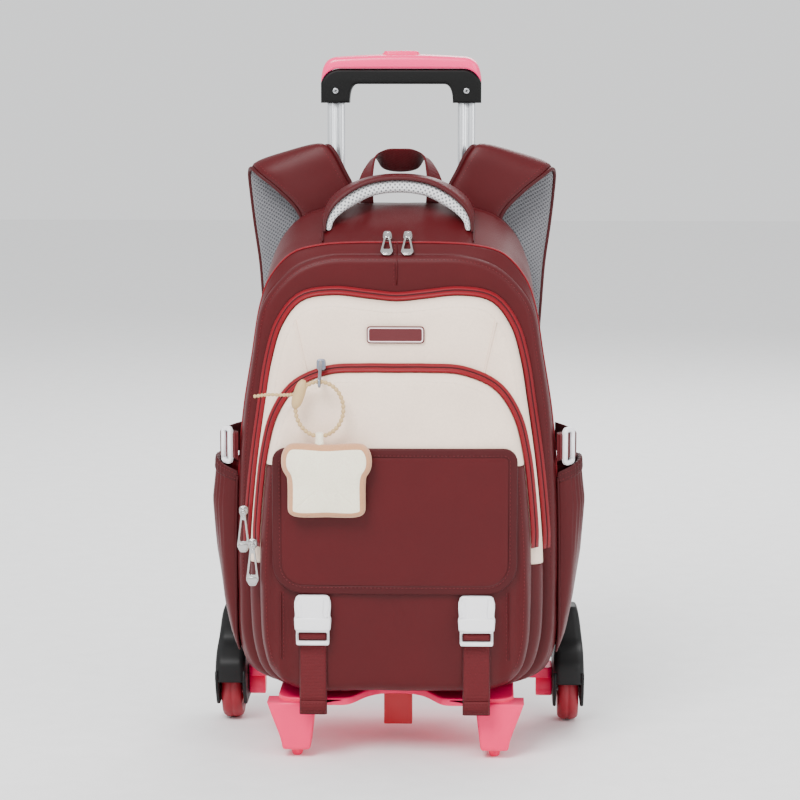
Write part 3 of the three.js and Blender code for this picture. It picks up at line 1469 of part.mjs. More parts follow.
/** Grip, cover and button of the trolley handle. */
function makeHandle() {
  const inner = handleHalf - socketWide;
  const gripTop = handleTop - coverHigh;
  const endTop = handleTop - coverSide;
  const shoulder = handleHalf * 0.76;
  const gripShape = new THREE.Shape();
  gripShape.moveTo(handleHalf, socketBottom);
  gripShape.lineTo(handleHalf, endTop);
  gripShape.quadraticCurveTo(handleHalf * 0.93, gripTop, shoulder, gripTop);
  gripShape.lineTo(-shoulder, gripTop);
  gripShape.quadraticCurveTo(-handleHalf * 0.93, gripTop, -handleHalf, endTop);
  gripShape.lineTo(-handleHalf, socketBottom);
  gripShape.lineTo(-inner, socketBottom);
  gripShape.quadraticCurveTo(-inner, gripUnder, -inner + gripCorner, gripUnder);
  gripShape.lineTo(inner - gripCorner, gripUnder);
  gripShape.quadraticCurveTo(inner, gripUnder, inner, socketBottom);
  const grip = frontPlate(gripShape, tubeY - gripDeep / 2, tubeY + gripDeep / 2, 1.5, 4);
  const sockets = [-1, 1].map((sign) => {
    const wide = innerTubeWide / 2 + gap;
    const deep = innerTubeDeep / 2 + gap;
    const x = sign * tubeHalfSpan;
    const top = socketBottom + socketDepth;
    return block(x - wide, x + wide, tubeY - deep, tubeY + deep, socketBottom - 1, top);
  });
  addPiece("handle_grip", carve([grip], sockets), blackPlastic);

  const coverShape = new THREE.Shape();
  coverShape.moveTo(handleHalf, endTop + gap);
  coverShape.lineTo(handleHalf, endTop + 6);
  coverShape.quadraticCurveTo(handleHalf, handleTop - 2, shoulder, handleTop - 2);
  coverShape.quadraticCurveTo(0, handleTop + 2, -shoulder, handleTop - 2);
  coverShape.quadraticCurveTo(-handleHalf, handleTop - 2, -handleHalf, endTop + 6);
  coverShape.lineTo(-handleHalf, endTop + gap);
  coverShape.quadraticCurveTo(-handleHalf * 0.93, gripTop + gap, -shoulder, gripTop + gap);
  coverShape.lineTo(shoulder, gripTop + gap);
  coverShape.quadraticCurveTo(handleHalf * 0.93, gripTop + gap, handleHalf, endTop + gap);
  const cover = frontPlate(coverShape, tubeY - gripDeep / 2 - 1, tubeY + gripDeep / 2 + 1, 0, 4);
  const slotShape = roundedShape(buttonWide + 2 * gap, buttonDeep + 2 * gap, buttonCorner, 0, tubeY);
  const slot = floorPlate(slotShape, gripTop - buttonProud, handleTop + coverHigh);
  addPiece("handle_cover", carve([cover], [slot]), pinkPlastic);

  const buttonLow = gripTop + gap + buttonTravel;
  const buttonShape = roundedShape(buttonWide, buttonDeep, buttonCorner, 0, tubeY);
  const button = floorPlate(buttonShape, buttonLow, handleTop + buttonProud, 1);
  addPiece("handle_button", button, pinkPlastic);

  for (const [side, sign] of [["left", -1], ["right", 1]]) {
    const screw = new THREE.CylinderGeometry(screwRadius, screwRadius * 1.1, screwHigh, 8);
    screw.translate(sign * tubeHalfSpan, tubeY - gripDeep / 2 - gap - screwHigh / 2, socketBottom + screwUp);
    addPiece(`grip_screw_${side}`, screw, steel);
  }
}

makeRearBody();
makeFrontBody();
makeMainZip();
makeBigPocket();
makeSmallPocket();
makeFlap();
makeLabelPatch();
for (const side of ["left", "right"]) {
  makePouch(side);
  makeSideStrap(side);
  makeShoulderStrap(side);
  makeFlapBuckle(side);
  makeWheel(side);
}
makeGrabHandle();
makeWebbingLoop();
makeZipPulls();
makeCharm();
makeBaseFrame();
makeTubes();
makeHandle();

const box = new THREE.Box3().setFromObject(root);
root.position.set(-(box.min.x + box.max.x) / 2, -(box.min.y + box.max.y) / 2, 0);

export default root;
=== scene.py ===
"""The dressed model of a school backpack on a two wheel trolley.

Sizes are in millimetres in the frame that the solids were drawn in: X to the right, Y to the
back, Z up from the floor. A piece is turned to metres when its mesh is made.
"""
from __future__ import annotations

import logging
import math
from dataclasses import dataclass
from enum import Enum
from typing import Callable, Iterable, Sequence

import bmesh
import bpy
import numpy as np
from mathutils import Matrix, Vector, noise

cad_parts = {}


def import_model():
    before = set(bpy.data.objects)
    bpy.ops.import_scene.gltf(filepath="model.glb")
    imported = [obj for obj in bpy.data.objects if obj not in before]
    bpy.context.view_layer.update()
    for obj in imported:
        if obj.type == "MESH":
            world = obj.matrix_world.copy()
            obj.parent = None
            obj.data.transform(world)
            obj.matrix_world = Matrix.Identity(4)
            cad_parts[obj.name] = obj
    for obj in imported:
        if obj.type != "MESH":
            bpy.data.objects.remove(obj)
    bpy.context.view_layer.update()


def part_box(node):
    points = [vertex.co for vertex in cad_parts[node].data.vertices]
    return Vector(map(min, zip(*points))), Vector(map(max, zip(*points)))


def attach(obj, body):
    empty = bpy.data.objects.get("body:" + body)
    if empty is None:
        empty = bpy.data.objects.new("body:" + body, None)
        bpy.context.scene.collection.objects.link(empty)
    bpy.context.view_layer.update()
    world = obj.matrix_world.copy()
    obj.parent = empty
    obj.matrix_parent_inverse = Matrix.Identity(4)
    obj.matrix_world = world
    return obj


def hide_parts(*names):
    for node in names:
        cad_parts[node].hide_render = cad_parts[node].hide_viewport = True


LOG = logging.getLogger("backpack")
MM = 0.001  # metres in a millimetre
Y_SHIFT = -17.5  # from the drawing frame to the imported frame, mm
GAP = 0.35  # between two solids that touch, mm
SEAT = 0.6  # between a soft piece and what carries it, mm
CLOTH = 1.6  # thickness of the bag's cloth, mm
CLOTH_SPECULAR = 0.25
PLASTIC_IOR = 1.5
PAD_FRAMES = 20
PAD_STIFFNESS = 12
EDGE_FACETS = 3
SHARP_EDGE = math.radians(28)
FULL_TURN = 2 * math.pi
Points = np.ndarray
Node = bpy.types.Node
Tree = bpy.types.NodeTree


# ---------------------------------------------------------------- finishes


def linear(colour: str) -> tuple[float, float, float, float]:
    """Turn an sRGB hex colour into a linear RGBA tuple.

    Args:
        colour: Six hex digits with a leading hash.

    Returns:
        Linear red, green, blue and an alpha of 1.
    """
    parts = [int(colour[i : i + 2], 16) / 255 for i in (1, 3, 5)]
    turned = [p / 12.92 if p <= 0.04045 else ((p + 0.055) / 1.055) ** 2.4 for p in parts]
    return (turned[0], turned[1], turned[2], 1.0)


def add_node(tree: Tree, kind: str, inputs: dict | None = None, **settings: object) -> Node:
    """Add a node, set its attributes and set or link its inputs.

    Args:
        tree: Node tree that takes the node.
        kind: Blender's type name of the node.
        inputs: Input name or index to a value, or to the output socket that feeds it.
        **settings: Attributes of the node.

    Returns:
        The new node.
    """
    node = tree.nodes.new(kind)
    for key, value in settings.items():
        setattr(node, key, value)
    for key, value in (inputs or {}).items():
        if isinstance(value, bpy.types.NodeSocket):
            tree.links.new(value, node.inputs[key])
        else:
            node.inputs[key].default_value = value
    return node


def set_inputs(node: Node, values: dict[str, object]) -> None:
    """Set inputs that have one value all over the surface."""
    for key, value in values.items():
        node.inputs[key].default_value = value


def put(name: str, data: bpy.types.ID) -> bpy.types.Object:
    """Put a mesh, a lamp or a camera into the scene as an object."""
    made = bpy.data.objects.new(name, data)
    bpy.context.scene.collection.objects.link(made)
    return made


@dataclass(frozen=True)
class Finish:
    """What every surface has: a name, a colour and how rough it is."""

    name: str
    colour: str
    roughness: float = 0.5

    def material(self) -> bpy.types.Material:
        """Make the material, or give back the one that was made before."""
        made = bpy.data.materials.get(self.name)
        if made:
            return made
        made = bpy.data.materials.new(self.name)
        made.use_nodes = True
        made.diffuse_color = linear(self.colour)
        tree = made.node_tree
        shader = tree.nodes["Principled BSDF"]
        set_inputs(shader, {"Base Color": linear(self.colour), "Roughness": self.roughness})
        self.dress(tree, shader)
        return made

    def dress(self, tree: Tree, shader: Node) -> None:
        """Add the pattern of this finish to the shader."""

    def mottle(self, tree: Tree, shader: Node, size_mm: float, amount: float, space: object = None) -> None:
        """Vary the colour a little in soft patches.

        Args:
            tree: The material's tree.
            shader: Its shader.
            size_mm: Width of a patch.
            amount: Share by which a patch is lighter or darker.
            space: Coordinates, or None for the object's own.
        """
        at = space or add_node(tree, "ShaderNodeTexCoord").outputs["Object"]
        cloud = add_node(
            tree, "ShaderNodeTexNoise", {"Vector": at, "Scale": 1 / (size_mm * MM), "Detail": 3.0}
        )
        shade = add_node(
            tree,
            "ShaderNodeMapRange",
            {
                "Value": cloud.outputs["Fac"], "From Min": 0.3, "From Max": 0.7, "To Min": 1 - amount,
                "To Max": 1 + amount,
            },
        )
        colour = shader.inputs["Base Color"]
        inputs = {0: colour.links[0].from_socket if colour.is_linked else colour.default_value[:3]}
        scaled = add_node(tree, "ShaderNodeVectorMath", inputs, operation="SCALE")
        tree.links.new(shade.outputs["Result"], scaled.inputs["Scale"])
        tree.links.new(scaled.outputs["Vector"], colour)

    def bump(self, tree: Tree, shader: Node, height: object, depth_mm: float, strength: float = 1.0) -> None:
        """Raise the surface by a height from 0 to 1.

        Args:
            tree: The material's tree.
            shader: Its shader.
            height: Output socket with the height.
            depth_mm: Real height of a value of 1.
            strength: Strength of the bump.
        """
        inputs = {"Height": height, "Distance": depth_mm * MM, "Strength": strength}
        if shader.inputs["Normal"].is_linked:
            inputs["Normal"] = shader.inputs["Normal"].links[0].from_socket
        raised = add_node(tree, "ShaderNodeBump", inputs)
        tree.links.new(raised.outputs["Normal"], shader.inputs["Normal"])

    def vary_gloss(self, tree: Tree, shader: Node, pattern: object, less: float, more: float) -> None:
        """Let the roughness follow a pattern from 0 to 1.

        Args:
            tree: The material's tree.
            shader: Its shader.
            pattern: Output socket with the pattern.
            less: How far the roughness falls below its value.
            more: How far it rises above it.
        """
        inputs = {"Value": pattern, "To Min": self.roughness - less, "To Max": self.roughness + more}
        rough = add_node(tree, "ShaderNodeMapRange", inputs)
        tree.links.new(rough.outputs["Result"], shader.inputs["Roughness"])

    def ribs(self, tree: Tree, at: object, direction: Sequence[float], pitch_mm: float) -> object:
        """Draw parallel ribs as a smooth wave.

        Args:
            tree: The material's tree.
            at: Output socket with the coordinates.
            direction: Direction across the ribs.
            pitch_mm: From one rib to the next.

        Returns:
            The output socket with the wave, from -1 to 1.
        """
        along = add_node(tree, "ShaderNodeVectorMath", {0: at, 1: direction}, operation="DOT_PRODUCT")
        turn = FULL_TURN / (pitch_mm * MM)
        angle = add_node(tree, "ShaderNodeMath", {0: along.outputs["Value"], 1: turn}, operation="MULTIPLY")
        return add_node(tree, "ShaderNodeMath", {0: angle.outputs[0]}, operation="SINE").outputs[0]


@dataclass(frozen=True)
class WovenPolyester(Finish):
    """Densely woven polyester: satin at a glance, with fine crossing threads close by.

    The real thread is about 0.35 mm. It is drawn at thread_mm, so that it shows in the render.
    """

    thread_mm: float = 1.1
    sheen: float = 0.12
    sheen_tint: str = "#ffffff"

    def dress(self, tree: Tree, shader: Node) -> None:
        """Add crossing threads, soft patches and a little sheen."""
        at = add_node(tree, "ShaderNodeTexCoord").outputs["Object"]
        warp = self.ribs(tree, at, (1.0, 1.0, 0.0), self.thread_mm)
        weft = self.ribs(tree, at, (0.35, -0.35, 1.0), self.thread_mm)
        weave = add_node(tree, "ShaderNodeMath", {0: warp, 1: weft}, operation="MULTIPLY")
        self.bump(tree, shader, weave.outputs[0], 0.05, 0.6)
        grain = add_node(tree, "ShaderNodeTexNoise", {"Vector": at, "Scale": 900.0, "Detail": 2.0})
        self.bump(tree, shader, grain.outputs["Fac"], 0.12, 0.5)
        self.mottle(tree, shader, 55, 0.05, at)
        self.mottle(tree, shader, 2.2, 0.035, at)
        self.vary_gloss(tree, shader, grain.outputs["Fac"], 0.07, 0.07)
        sheen = {"Sheen Weight": self.sheen, "Sheen Roughness": 0.45, "Sheen Tint": linear(self.sheen_tint)}
        set_inputs(shader, {"Specular IOR Level": CLOTH_SPECULAR, **sheen})


@dataclass(frozen=True)
class RibbedWebbing(Finish):
    """Woven polyester webbing: ribs across its length that catch the light as fine lines."""

    rib_mm: float = 1.3

    def dress(self, tree: Tree, shader: Node) -> None:
        """Add ribs across the band and a twill along it."""
        at = add_node(tree, "ShaderNodeUVMap", uv_map="fabric").outputs["UV"]
        self.bump(tree, shader, self.ribs(tree, at, (0.0, 1.0, 0.0), self.rib_mm), 0.14, 0.8)
        self.bump(tree, shader, self.ribs(tree, at, (1.0, 0.6, 0.0), 2 * self.rib_mm), 0.06, 0.6)
        self.mottle(tree, shader, 1.6, 0.07)
        self.mottle(tree, shader, 30, 0.04)
        set_inputs(shader, {"Sheen Weight": 0.04, "Specular IOR Level": CLOTH_SPECULAR})


@dataclass(frozen=True)
class SpacerMesh(Finish):
    """Knitted spacer mesh: a soft pale face with staggered open holes, painted dark with the shade inside
    them.
    """

    # Colour of the painted shade inside the holes.
    hole: str = "#4c4d52"
    pitch_mm: float = 3.9
    hole_share: float = 0.27

    def dress(self, tree: Tree, shader: Node) -> None:
        """Punch a staggered lattice of holes into the face and paint the shade inside them."""
        at = add_node(tree, "ShaderNodeUVMap", uv_map="fabric").outputs["UV"]
        turned = add_node(tree, "ShaderNodeMapping", {"Vector": at, "Rotation": (0.0, 0.0, math.pi / 4)})
        cells = add_node(
            tree,
            "ShaderNodeTexVoronoi",
            {
                "Vector": turned.outputs["Vector"], "Scale": math.sqrt(2) / (self.pitch_mm * MM),
                "Randomness": 0.0,
            },
            voronoi_dimensions="2D",
        )
        rim = add_node(
            tree,
            "ShaderNodeMapRange",
            {
                "Value": cells.outputs["Distance"], "From Min": self.hole_share * 0.8,
                "From Max": self.hole_share * 1.3,
            },
        )
        # Painted shade: the holes are mixed to the dark colour.
        painted_hole_shade = add_node(
            tree,
            "ShaderNodeMix",
            {0: rim.outputs["Result"], 6: linear(self.hole), 7: linear(self.colour)},
            data_type="RGBA",
        )
        tree.links.new(painted_hole_shade.outputs[2], shader.inputs["Base Color"])
        self.bump(tree, shader, rim.outputs["Result"], 0.7)
        fuzz = add_node(tree, "ShaderNodeTexNoise", {"Vector": at, "Scale": 1400.0, "Detail": 2.0})
        self.bump(tree, shader, fuzz.outputs["Fac"], 0.2, 0.6)
        self.mottle(tree, shader, 1.2, 0.06, at)
        set_inputs(shader, {"Sheen Weight": 0.2})


@dataclass(frozen=True)
class ShortPlush(Finish):
    """Short crystal plush: the pile breaks the light into soft specks and glows at the rim."""

    def dress(self, tree: Tree, shader: Node) -> None:
        """Add the specks of the pile and its glow."""
        at = add_node(tree, "ShaderNodeTexCoord").outputs["Object"]
        pile = add_node(
            tree, "ShaderNodeTexNoise", {"Vector": at, "Scale": 900.0, "Detail": 4.0, "Roughness": 0.7}
        )
        self.bump(tree, shader, pile.outputs["Fac"], 0.9, 0.8)
        self.mottle(tree, shader, 1.4, 0.06, at)
        self.mottle(tree, shader, 14, 0.035, at)
        set_inputs(shader, {"Sheen Weight": 0.5, "Sheen Roughness": 0.5})


@dataclass(frozen=True)
class MouldedPlastic(Finish):
    """Injection moulded ABS or nylon: even colour, a faint grain and soft broad highlights."""

    grain_mm: float = 0.5
    grain_depth: float = 0.02
    coat: float = 0.0
    gloss: float = 0.5

    def dress(self, tree: Tree, shader: Node) -> None:
        """Add the grain of the mould and slightly uneven gloss."""
        at = add_node(tree, "ShaderNodeTexCoord").outputs["Object"]
        grain = add_node(
            tree, "ShaderNodeTexNoise", {"Vector": at, "Scale": 1 / (self.grain_mm * MM), "Detail": 2.0}
        )
        self.bump(tree, shader, grain.outputs["Fac"], self.grain_depth)
        smear = add_node(tree, "ShaderNodeTexNoise", {"Vector": at, "Scale": 45.0, "Detail": 4.0})
        self.vary_gloss(tree, shader, smear.outputs["Fac"], 0.08, 0.1)
        self.mottle(tree, shader, 25, 0.02, at)
        coat = {"Coat Weight": self.coat, "Coat Roughness": 0.15}
        set_inputs(shader, {"IOR": PLASTIC_IOR, "Specular IOR Level": self.gloss, **coat})


@dataclass(frozen=True)
class DrawnMetal(Finish):
    """Drawn or cast metal: bright, with fine lines along Z that stretch the reflections."""

    line_mm: float = 0.4
    stretch: float = 0.02
    lines: float = 0.12

    def dress(self, tree: Tree, shader: Node) -> None:
        """Add fine lines to its gloss."""
        at = add_node(tree, "ShaderNodeTexCoord").outputs["Object"]
        long = add_node(tree, "ShaderNodeMapping", {"Vector": at, "Scale": (1.0, 1.0, self.stretch)})
        inputs = {"Vector": long.outputs["Vector"], "Scale": 1 / (self.line_mm * MM), "Detail": 3.0}
        line = add_node(tree, "ShaderNodeTexNoise", inputs)
        self.vary_gloss(tree, shader, line.outputs["Fac"], 0.0, self.lines)
        self.bump(tree, shader, line.outputs["Fac"], 0.01, 0.5)
        set_inputs(shader, {"Metallic": 1.0})


MAROON = WovenPolyester("maroon_woven_polyester", "#470208", 0.44, sheen=0.03, sheen_tint="#ff9aa0")
MAROON_BINDING = WovenPolyester(
    "maroon_edge_tape", "#3e0207", 0.5, thread_mm=0.9, sheen=0.03, sheen_tint="#ff9aa0"
)
MAROON_THREAD = WovenPolyester("maroon_sewing_thread", "#741620", 0.5, thread_mm=0.5)
CREAM = WovenPolyester("cream_woven_polyester", "#f8e0cc", 0.6, sheen=0.08)
CREAM_THREAD = WovenPolyester("cream_sewing_thread", "#f7eee2", 0.55, thread_mm=0.5)
ZIP_TAPE = WovenPolyester("coated_red_zip_tape", "#780212", 0.42, thread_mm=0.8, sheen=0.05)
# The zip's groove is painted darker than its tape, as the shade that falls into it.
ZIP_GROOVE_SHADE = WovenPolyester("zip_groove_painted_shade", "#3a030a", 0.6, thread_mm=0.8, sheen=0.0)
WEBBING = RibbedWebbing("maroon_webbing", "#540710", 0.6)
# The hole colours of both meshes are painted shade inside their holes.
STRAP_MESH = SpacerMesh("grey_spacer_mesh", "#6f6f73", 0.85, hole="#4a4b50")
HANDLE_MESH = SpacerMesh("light_spacer_mesh", "#dcdcdd", 0.85, hole="#77797e", pitch_mm=4.2, hole_share=0.24)
PLUSH_FACE = ShortPlush("cream_plush", "#fff6dc", 0.95)
PLUSH_CRUST = ShortPlush("tan_plush", "#cb9268", 0.95)
WHITE_ABS = MouldedPlastic("white_acetal", "#f4f3f6", 0.32, coat=0.2)
PINK_HANDLE = MouldedPlastic("light_pink_abs", "#ff2474", 0.3, coat=0.35)
PINK_BASE = MouldedPlastic("hot_pink_polypropylene", "#f4005a", 0.42)
RED_NYLON = MouldedPlastic("red_nylon", "#b4041e", 0.4)
BLACK_GRIP = MouldedPlastic("black_grained_nylon", "#040404", 0.5, grain_mm=0.7, grain_depth=0.12, gloss=0.2)
BLACK_HOUSING = MouldedPlastic(
    "dark_grey_polypropylene", "#0a0a0b", 0.5, grain_mm=0.6, grain_depth=0.06, gloss=0.28
)
TYRE = MouldedPlastic("raspberry_polyurethane", "#88041c", 0.5, grain_mm=0.8, grain_depth=0.05)
BEIGE_TIE = MouldedPlastic("beige_soft_pvc", "#c4a473", 0.5)
GREY_SLIDER = DrawnMetal("gunmetal_zinc", "#8c93a1", 0.3, line_mm=0.5, stretch=1.0)
SILVER = DrawnMetal("polished_zinc", "#b4b2b0", 0.16, line_mm=0.6, stretch=1.0, lines=0.08)
TUBE = DrawnMetal("anodised_aluminium", "#dfe1e4", 0.24, line_mm=0.35)
STEEL = DrawnMetal("plated_steel", "#b8babd", 0.3, stretch=1.0)
PATCH_RUBBER = MouldedPlastic("dark_red_soft_pvc", "#520610", 0.45)
PATCH_LINE = MouldedPlastic("pale_patch_border", "#f1dcdc", 0.5)
FLOOR = MouldedPlastic("pale_studio_paper", "#F2F2F2", 0.9)


# ---------------------------------------------------------------- curves and outlines


def smooth_curve(points: Points, closed: bool = False, per: int = 12) -> Points:
    """Draw a centripetal curve through points.

    Args:
        points: The points that it passes, one a row.
        closed: Whether the last joins the first.
        per: Points to each stretch.

    Returns:
        Points along the curve.
    """
    p = np.asarray(points, float)
    n = len(p)
    stretches = n if closed else n - 1
    out = []
    for i in range(stretches):
        if closed:
            q = [p[(i + k) % n] for k in (-1, 0, 1, 2)]
        else:
            first = p[i - 1] if i else 2 * p[0] - p[1]
            last = p[i + 2] if i + 2 < n else 2 * p[-1] - p[-2]
            q = [first, p[i], p[i + 1], last]
        knots = [0.0]
        for a, b in zip(q, q[1:]):
            knots.append(knots[-1] + max(np.linalg.norm(b - a), 1e-6) ** 0.5)
        t0, t1, t2, t3 = knots
        for t in np.linspace(t1, t2, per, endpoint=False):
            a1 = (t1 - t) / (t1 - t0) * q[0] + (t - t0) / (t1 - t0) * q[1]
            a2 = (t2 - t) / (t2 - t1) * q[1] + (t - t1) / (t2 - t1) * q[2]
            a3 = (t3 - t) / (t3 - t2) * q[2] + (t - t2) / (t3 - t2) * q[3]
            b1 = (t2 - t) / (t2 - t0) * a1 + (t - t0) / (t2 - t0) * a2
            b2 = (t3 - t) / (t3 - t1) * a2 + (t - t1) / (t3 - t1) * a3
            out.append((t2 - t) / (t2 - t1) * b1 + (t - t1) / (t2 - t1) * b2)
    if not closed:
        out.append(p[-1])
    return np.array(out)


def even_steps(points: Points, count: int, closed: bool = False) -> Points:
    """Place points in equal steps along a line.

    Args:
        points: The line.
        count: How many points to place.
        closed: Whether the line is closed; the first point then isn't repeated.

    Returns:
        The placed points.
    """
    line = np.vstack([points, points[:1]]) if closed else np.asarray(points, float)
    step = np.linalg.norm(np.diff(line, axis=0), axis=1)
    at = np.concatenate([[0], np.cumsum(step)])
    wanted = np.linspace(0, at[-1], count + 1 if closed else count)
    out = np.column_stack([np.interp(wanted, at, line[:, k]) for k in range(line.shape[1])])
    return out[:-1] if closed else out


def line_length(points: Points) -> float:
    """Length of a line of points."""
    return float(np.linalg.norm(np.diff(points, axis=0), axis=1).sum())


def smooth_step(value: float, low: float, high: float) -> float:
    """Rise softly from 0 at low to 1 at high."""
    share = min(1.0, max(0.0, (value - low) / (high - low)))
    return share * share * (3 - 2 * share)


Depth = Callable[[float, float], float]


@dataclass
class Outline:
    """A closed outline seen from the front, as x and z, anticlockwise from its bottom middle."""

    points: Points

    @classmethod
    def from_rows(
        cls, rows: Sequence[tuple[float, float]], half: float, bottom: float, height: float, count: int = 192
    ) -> Outline:
        """Draw an outline through rows of shares.

        Args:
            rows: Share of the half width and of the height, from the bottom middle to the top middle.
            half: Half the width.
            bottom: Height of the lowest point.
            height: Height of the outline.
            count: Points round it.

        Returns:
            The outline.
        """
        right = [(out * half, bottom + up * height) for out, up in rows]
        left = [(-x, z) for x, z in right[1:-1]][::-1]
        return cls(even_steps(smooth_curve(np.array(right + left), closed=True), count, closed=True))

    def outward(self) -> Points:
        """Outward direction at each point."""
        along = np.roll(self.points, -1, axis=0) - np.roll(self.points, 1, axis=0)
        along /= np.linalg.norm(along, axis=1)[:, None]
        return np.column_stack([along[:, 1], -along[:, 0]])

    def inset(self, by: float) -> Outline:
        """Move it inwards."""
        return Outline(self.points - self.outward() * by)

    def mix(self, other: Outline, share: float) -> Outline:
        """Mix it with another one."""
        return Outline(self.points * (1 - share) + other.points * share)

    def shrink(self, share: float) -> Outline:
        """Draw it together towards its middle."""
        middle = np.array([0, (self.points[:, 1].max() + self.points[:, 1].min()) / 2])
        return Outline(middle + (self.points - middle) * share)

    def ring(self, depth: float | Depth) -> Points:
        """Give it a depth, as a number or as a function of x and z."""
        if callable(depth):
            y = np.array([depth(x, z) for x, z in self.points])
        else:
            y = np.full(len(self.points), depth)
        return np.column_stack([self.points[:, 0], y, self.points[:, 1]])

    def reach(self, place: float, along: int) -> float:
        """Find how far it reaches on one axis at a place on the other.

        Args:
            place: The place.
            along: The axis that the place is on: 0 for x and 1 for z.

        Returns:
            The greatest coordinate there on the other axis.
        """
        a, b = self.points, np.roll(self.points, -1, axis=0)
        hit = ((a[:, along] - place) * (b[:, along] - place) <= 0) & (a[:, along] != b[:, along])
        a, b = a[hit], b[hit]
        share = (place - a[:, along]) / (b[:, along] - a[:, along])
        return float((a[:, 1 - along] + (b[:, 1 - along] - a[:, 1 - along]) * share).max())

    def half_width(self, z: float) -> float:
        """Half width at a height."""
        return self.reach(z, 1)

    def top(self, x: float) -> float:
        """Height of its upper edge at a distance from the middle."""
        return self.reach(x, 0)

    def part(self, above: float) -> Points:
        """Its points above a height, from the right over the top to the left."""
        kept = [p for p in self.points if p[1] > above]
        start = next(i for i, p in enumerate(self.points) if p[1] > above and p[0] > 0)
        return np.array([self.points[(start + k) % len(self.points)] for k in range(len(kept))])


# ---------------------------------------------------------------- meshes


class Plane(Enum):
    """The plane that a flat shape is drawn in; its third axis is the one it gets its thickness on."""

    FRONT = Matrix(((1, 0, 0, 0), (0, 0, -1, 0), (0, 1, 0, 0), (0, 0, 0, 1)))
    TOP = Matrix.Identity(4)
    SIDE = Matrix(((0, 0, 1, 0), (1, 0, 0, 0), (0, 1, 0, 0), (0, 0, 0, 1)))


@dataclass(frozen=True)
class Wrinkles:
    """Soft dents of a cloth surface."""

    deep: float
    size: float
    stretch: tuple[float, float, float] = (1.0, 1.0, 1.0)
    seed: float = 0.0


